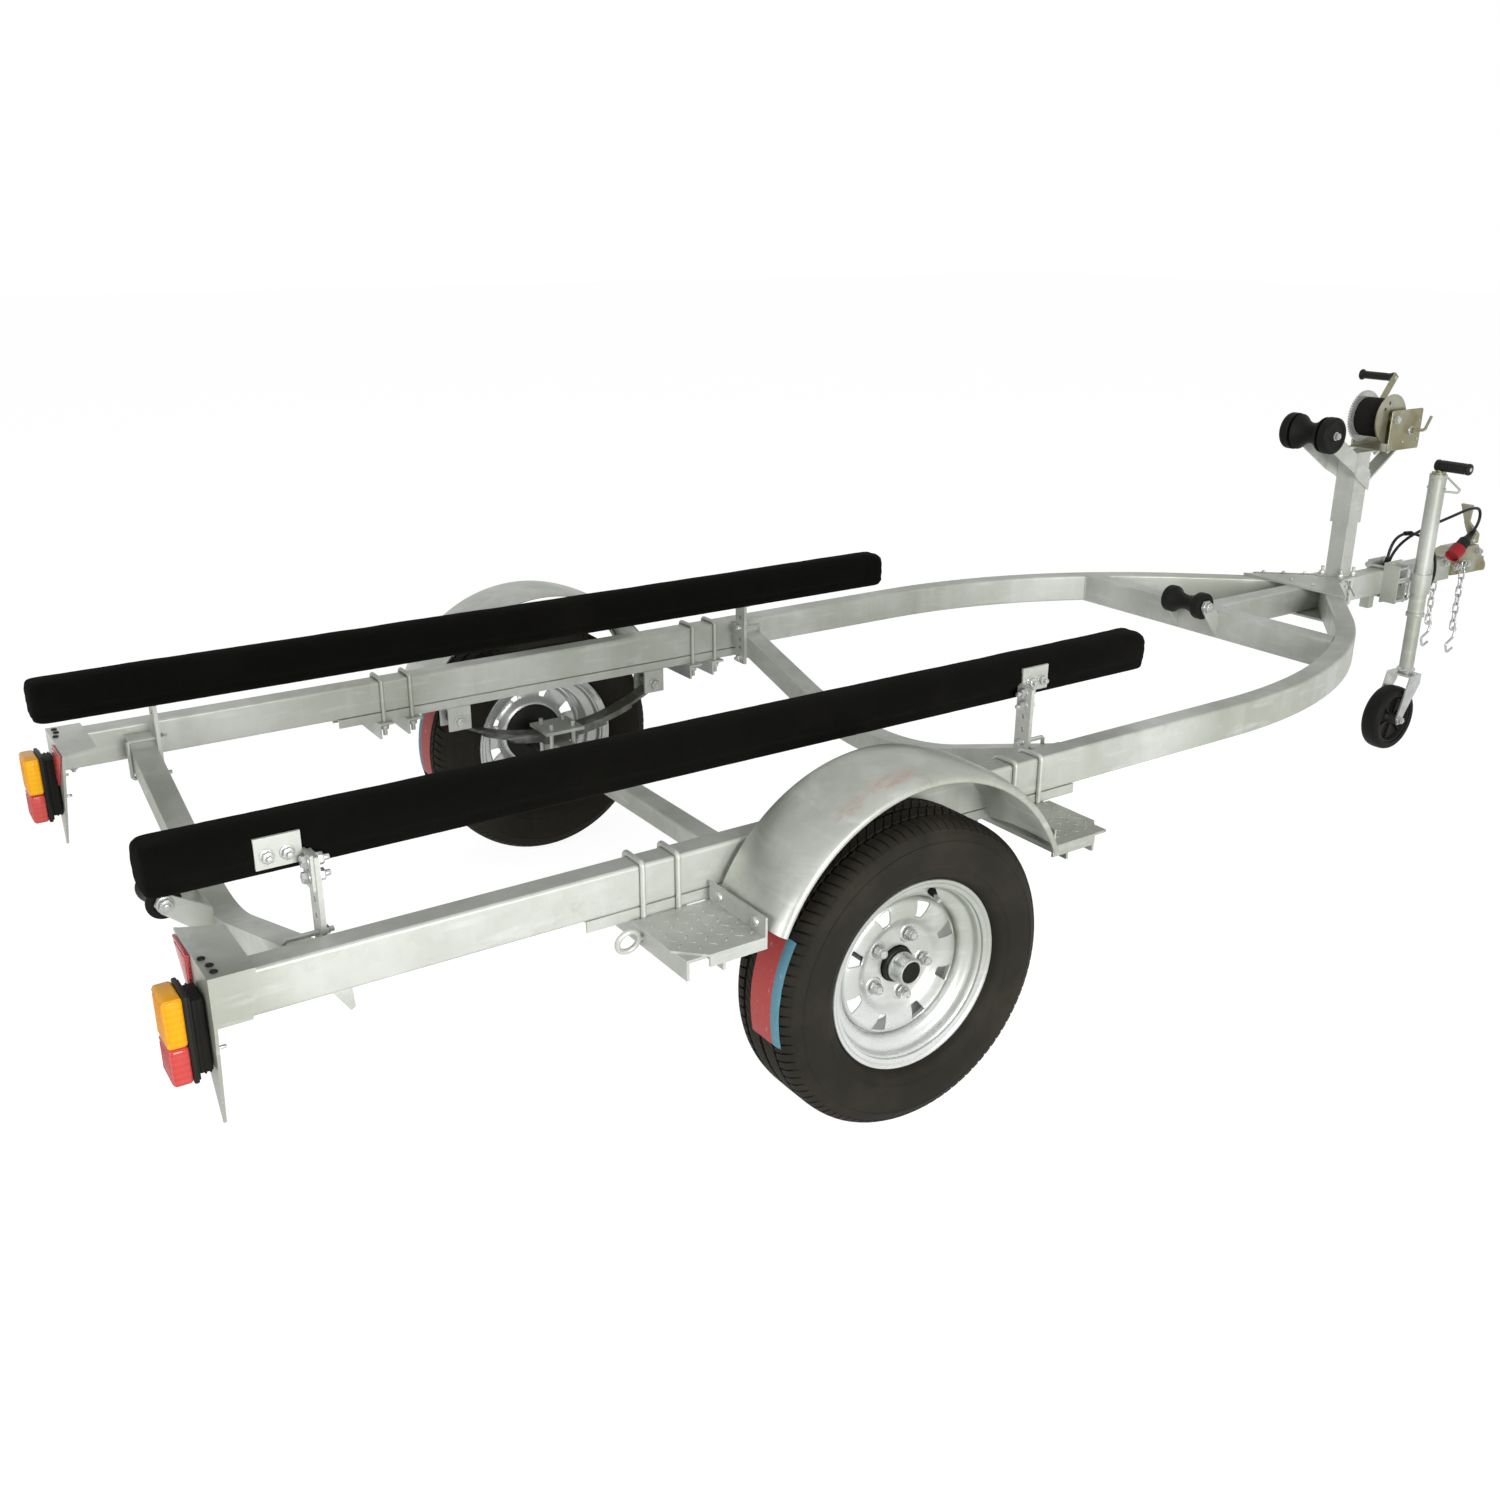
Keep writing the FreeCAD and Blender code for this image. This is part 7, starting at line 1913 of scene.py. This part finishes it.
@dataclass
class Mudguard:
    """A rolled steel guard with its curled outer lip."""

    side: str
    sign: int
    centre: tuple = (-924, 337)
    # half of its sweep, in degrees
    half: float = 66.8
    steps: int = 72
    thick: float = 2.0
    # rows of (radius, outboard) from the inner edge over the crown and round the lip
    section: tuple = ((337.5, 637.2), (340, 636.2), (341.4, 641), (343.6, 654), (346.2, 671), (348.2, 688),
                      (348.9, 704), (348.95, 728), (348.8, 752), (348, 770), (346.4, 787), (344.2, 803),
                      (341.6, 814), (338.6, 820.6), (334.8, 824.6), (330.4, 825.9), (326.6, 824.6), (325.4, 821.8),
                      (326.8, 819.6), (329.4, 819.4))

    def build(self) -> None:
        """Roll the sheet and turn it to thickness."""
        guard = Piece("mudguard_sheet_" + self.side, GUARD_SHEET)
        x, z = self.centre
        rows = [(r, self.sign * y) for r, y in self.section]
        rise = math.radians(90 - self.half)
        guard.lathe(rows, (x, 0, z), Y, self.steps, -math.radians(2 * self.half), -rise)
        bmesh.ops.recalc_face_normals(guard.bm, faces=guard.bm.faces)
        top = max(guard.bm.faces, key=lambda f: f.calc_center_median().z)
        if top.normal.z < 0:
            bmesh.ops.reverse_faces(guard.bm, faces=guard.bm.faces)
        bmesh.ops.solidify(guard.bm, geom=list(guard.bm.faces), thickness=self.thick)
        guard.done(50, replaces=("mudguard_" + self.side,))


# CAD nodes of each finish, with * for the left and the right one
CAD_FINISH = {
    GALV: ("rail_*", "drawbar", "crossmember_front", "crossmember_rear", "crossmember_middle", "frame_plates",
           "spring_set_*", "axle", "ubolts", "bunk_brackets", "keel_brackets", "winch_mast", "winch_sleeve",
           "jockey_tube", "jockey_leg", "jockey_clamp"),
    GALV_SHEET: ("mudguard_*", "steps_*", "light_bracket_*"),
    DARK_STEEL: ("leaf_spring_*",),
    GALV_RIM: ("rim_*", "hub_*"),
    YELLOW_ZINC: ("winch_frame", "winch_drum", "winch_crank", "coupling", "jockey_crank"),
    BRIGHT_ZINC: ("winch_gear", "chains", "jockey_fork"),
    TYRE: ("tyre_*",),
    RUBBER: ("keel_roller_rear", "keel_roller_front", "bow_roller", "jockey_tyre"),
    CABLE_SKIN: ("cable",),
    CARPET: ("bunk_*",),
    BLACK_PLASTIC: ("lamp_bases", "winch_grip", "jockey_grip", "plug_body"),
    RED_PLASTIC: ("plug_socket",),
    AMBER: ("lamp_amber",),
    RED_LENS: ("lamp_red",),
    PRISM: ("reflectors",),
    WEBBING: ("winch_strap",),
    GREY_PLASTIC: ("jockey_rim",),
}


def dress_frame() -> None:
    """Give every CAD node its finish."""
    for finish, names in CAD_FINISH.items():
        for name in dict.fromkeys(name.replace("*", side) for name in names for side, _ in SIDES):
            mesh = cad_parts[name].data
            mesh.materials.clear()
            mesh.materials.append(paint(finish))
            for poly in mesh.polygons:
                poly.use_smooth = True
            mesh.set_sharp_from_angle(angle=math.radians(32))


@dataclass
class Cable:
    """The lighting cable from the drawbar to the plug."""

    route: tuple = ((1605, 0, 556), (1606, 0, 630), (1682, -4, 660), (1758, -36, 628), (1800, -46, 556),
                    (1800, -44, 478), (1746, -14, 436), (1694, 38, 466), (1680, 46, 544), (1706, 28, 616),
                    (1774, -14, 664), (1850, -42, 692), (1922, -54, 712), (1984, -55, 706), (1987.6, -53.3, 649.7),
                    (1946.6, -53.3, 621.1))
    radius: float = 4.5

    def build(self) -> None:
        """Lay the cable as one smooth curve on the route."""
        curve = bpy.data.curves.new("lighting_cable", "CURVE")
        curve.dimensions = "3D"
        line = curve.splines.new("NURBS")
        line.points.add(len(self.route) - 1)
        for point, place in zip(line.points, self.route):
            point.co = (*(v * MM for v in place), 1)
        line.order_u = 3
        line.use_endpoint_u = True
        line.resolution_u = 10
        curve.bevel_depth = self.radius * MM
        curve.bevel_resolution = 5
        obj = stand("lighting_cable", curve)
        curve.materials.append(paint(CABLE_SKIN))
        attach(obj, "chassis")
        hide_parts("cable")
        LOG.info("lighting_cable: %d points", len(self.route))


@dataclass
class Studio:
    """Floor, lights, backdrop and camera."""

    eye: tuple = (-2.4366, -2.5052, 1.5595)
    right: tuple = (0.82911424, -0.55906234, 0.00434375)
    up: tuple = (0.19121116, 0.29085846, 0.93746448)
    lens: float = 34.637
    # name, place, size and power of each lamp
    lamps: tuple = (("key", (-1.6, -6, 1.7), 2.4, 350), ("fill", (-6, -0.8, 1.6), 2.6, 80),
                    ("top", (0.6, 0.6, 5.5), 4.5, 24))
    # strength of the room's light, the floor's colour, its glow and the glow's share where it is seen
    sky: float = 0.22
    floor: float = 0.88
    glow: float = 1.3
    glow_share: float = 0.72
    floor_half: float = 30.0
    # what the lamps face
    aim: tuple = (0, 0, 0.4)

    def build(self) -> None:
        """Set the stage."""
        self._camera()
        for name, place, size, power in self.lamps:
            self._lamp(name, Vector(place), size, power)
        self._floor()
        self._world()
        bpy.context.scene.view_settings.view_transform = "Standard"

    def _camera(self) -> None:
        """Stand the camera behind the trailer's right rear corner."""
        camera = stand("camera", bpy.data.cameras.new("camera"))
        right, up = Vector(self.right), Vector(self.up)
        rot = Matrix((right, up, right.cross(up))).transposed().to_4x4()
        camera.matrix_world = Matrix.Translation(self.eye) @ rot
        camera.data.lens = self.lens
        camera.data.sensor_width = 36.0
        camera.data.clip_end = 100.0
        bpy.context.scene.camera = camera

    def _lamp(self, name: str, place: Vector, size: float, power: float) -> None:
        """Hang one soft lamp that faces the trailer's middle.

        Args:
            name: the lamp's name.
            place: where it hangs, in metres.
            size: side of its square, in metres.
            power: its power, in watts.
        """
        lamp = bpy.data.lights.new(name, "AREA")
        lamp.energy, lamp.size = power, size
        obj = stand(name, lamp)
        way = (Vector(self.aim) - place).normalized()
        obj.matrix_world = Matrix.Translation(place) @ way.to_track_quat("-Z", "Y").to_matrix().to_4x4()

    def _floor(self) -> None:
        """Lay the pale floor, which keeps the trailer's shadow."""
        tree = Tree(bpy.data.materials.new("studio_floor"))
        diffuse = tree.raw("ShaderNodeBsdfDiffuse", {"Color": (self.floor, self.floor, self.floor, 1)})
        glow = tree.raw("ShaderNodeEmission", {"Color": (1, 1, 1, 1), "Strength": self.glow})
        share = tree.seen() * self.glow_share
        tree.close(tree.raw("ShaderNodeMixShader", {0: share, 1: diffuse.outputs[0], 2: glow.outputs[0]}))
        bm = bmesh.new()
        low = Matrix.Translation((0, 0, -0.001))
        bmesh.ops.create_grid(bm, x_segments=1, y_segments=1, size=self.floor_half, matrix=low)
        mesh = bpy.data.meshes.new("floor")
        bm.to_mesh(mesh)
        bm.free()
        mesh.materials.append(tree.owner)
        obj = stand("floor", mesh)

    def _world(self) -> None:
        """Give the room its soft light and its white backdrop."""
        world = bpy.data.worlds.new("studio")
        bpy.context.scene.world = world
        tree = Tree(world)
        dim = tree.raw("ShaderNodeBackground", {"Color": (0.96, 0.98, 1, 1), "Strength": self.sky})
        white = tree.raw("ShaderNodeBackground", {"Color": (1, 1, 1, 1), "Strength": 1.0})
        mixed = tree.raw("ShaderNodeMixShader", {0: tree.seen(), 1: dim.outputs[0], 2: white.outputs[0]})
        tree.close(mixed, "ShaderNodeOutputWorld")


def main() -> None:
    """Build the looks piece by piece."""
    Studio().build()
    dress_frame()
    Nose().build()
    Cable().build()
    Bunk().build()
    for side, sign in SIDES:
        Wheel(side, sign).build()
        Mudguard(side, sign).build()
    for maker in (RunningGear, BunkFixings, RearLights, Frame, KeelRollers, BowStop, WinchPost, Winch, JockeyWheel):
        maker().build()
    bpy.context.view_layer.update()


if __name__ == "__main__":
    main()
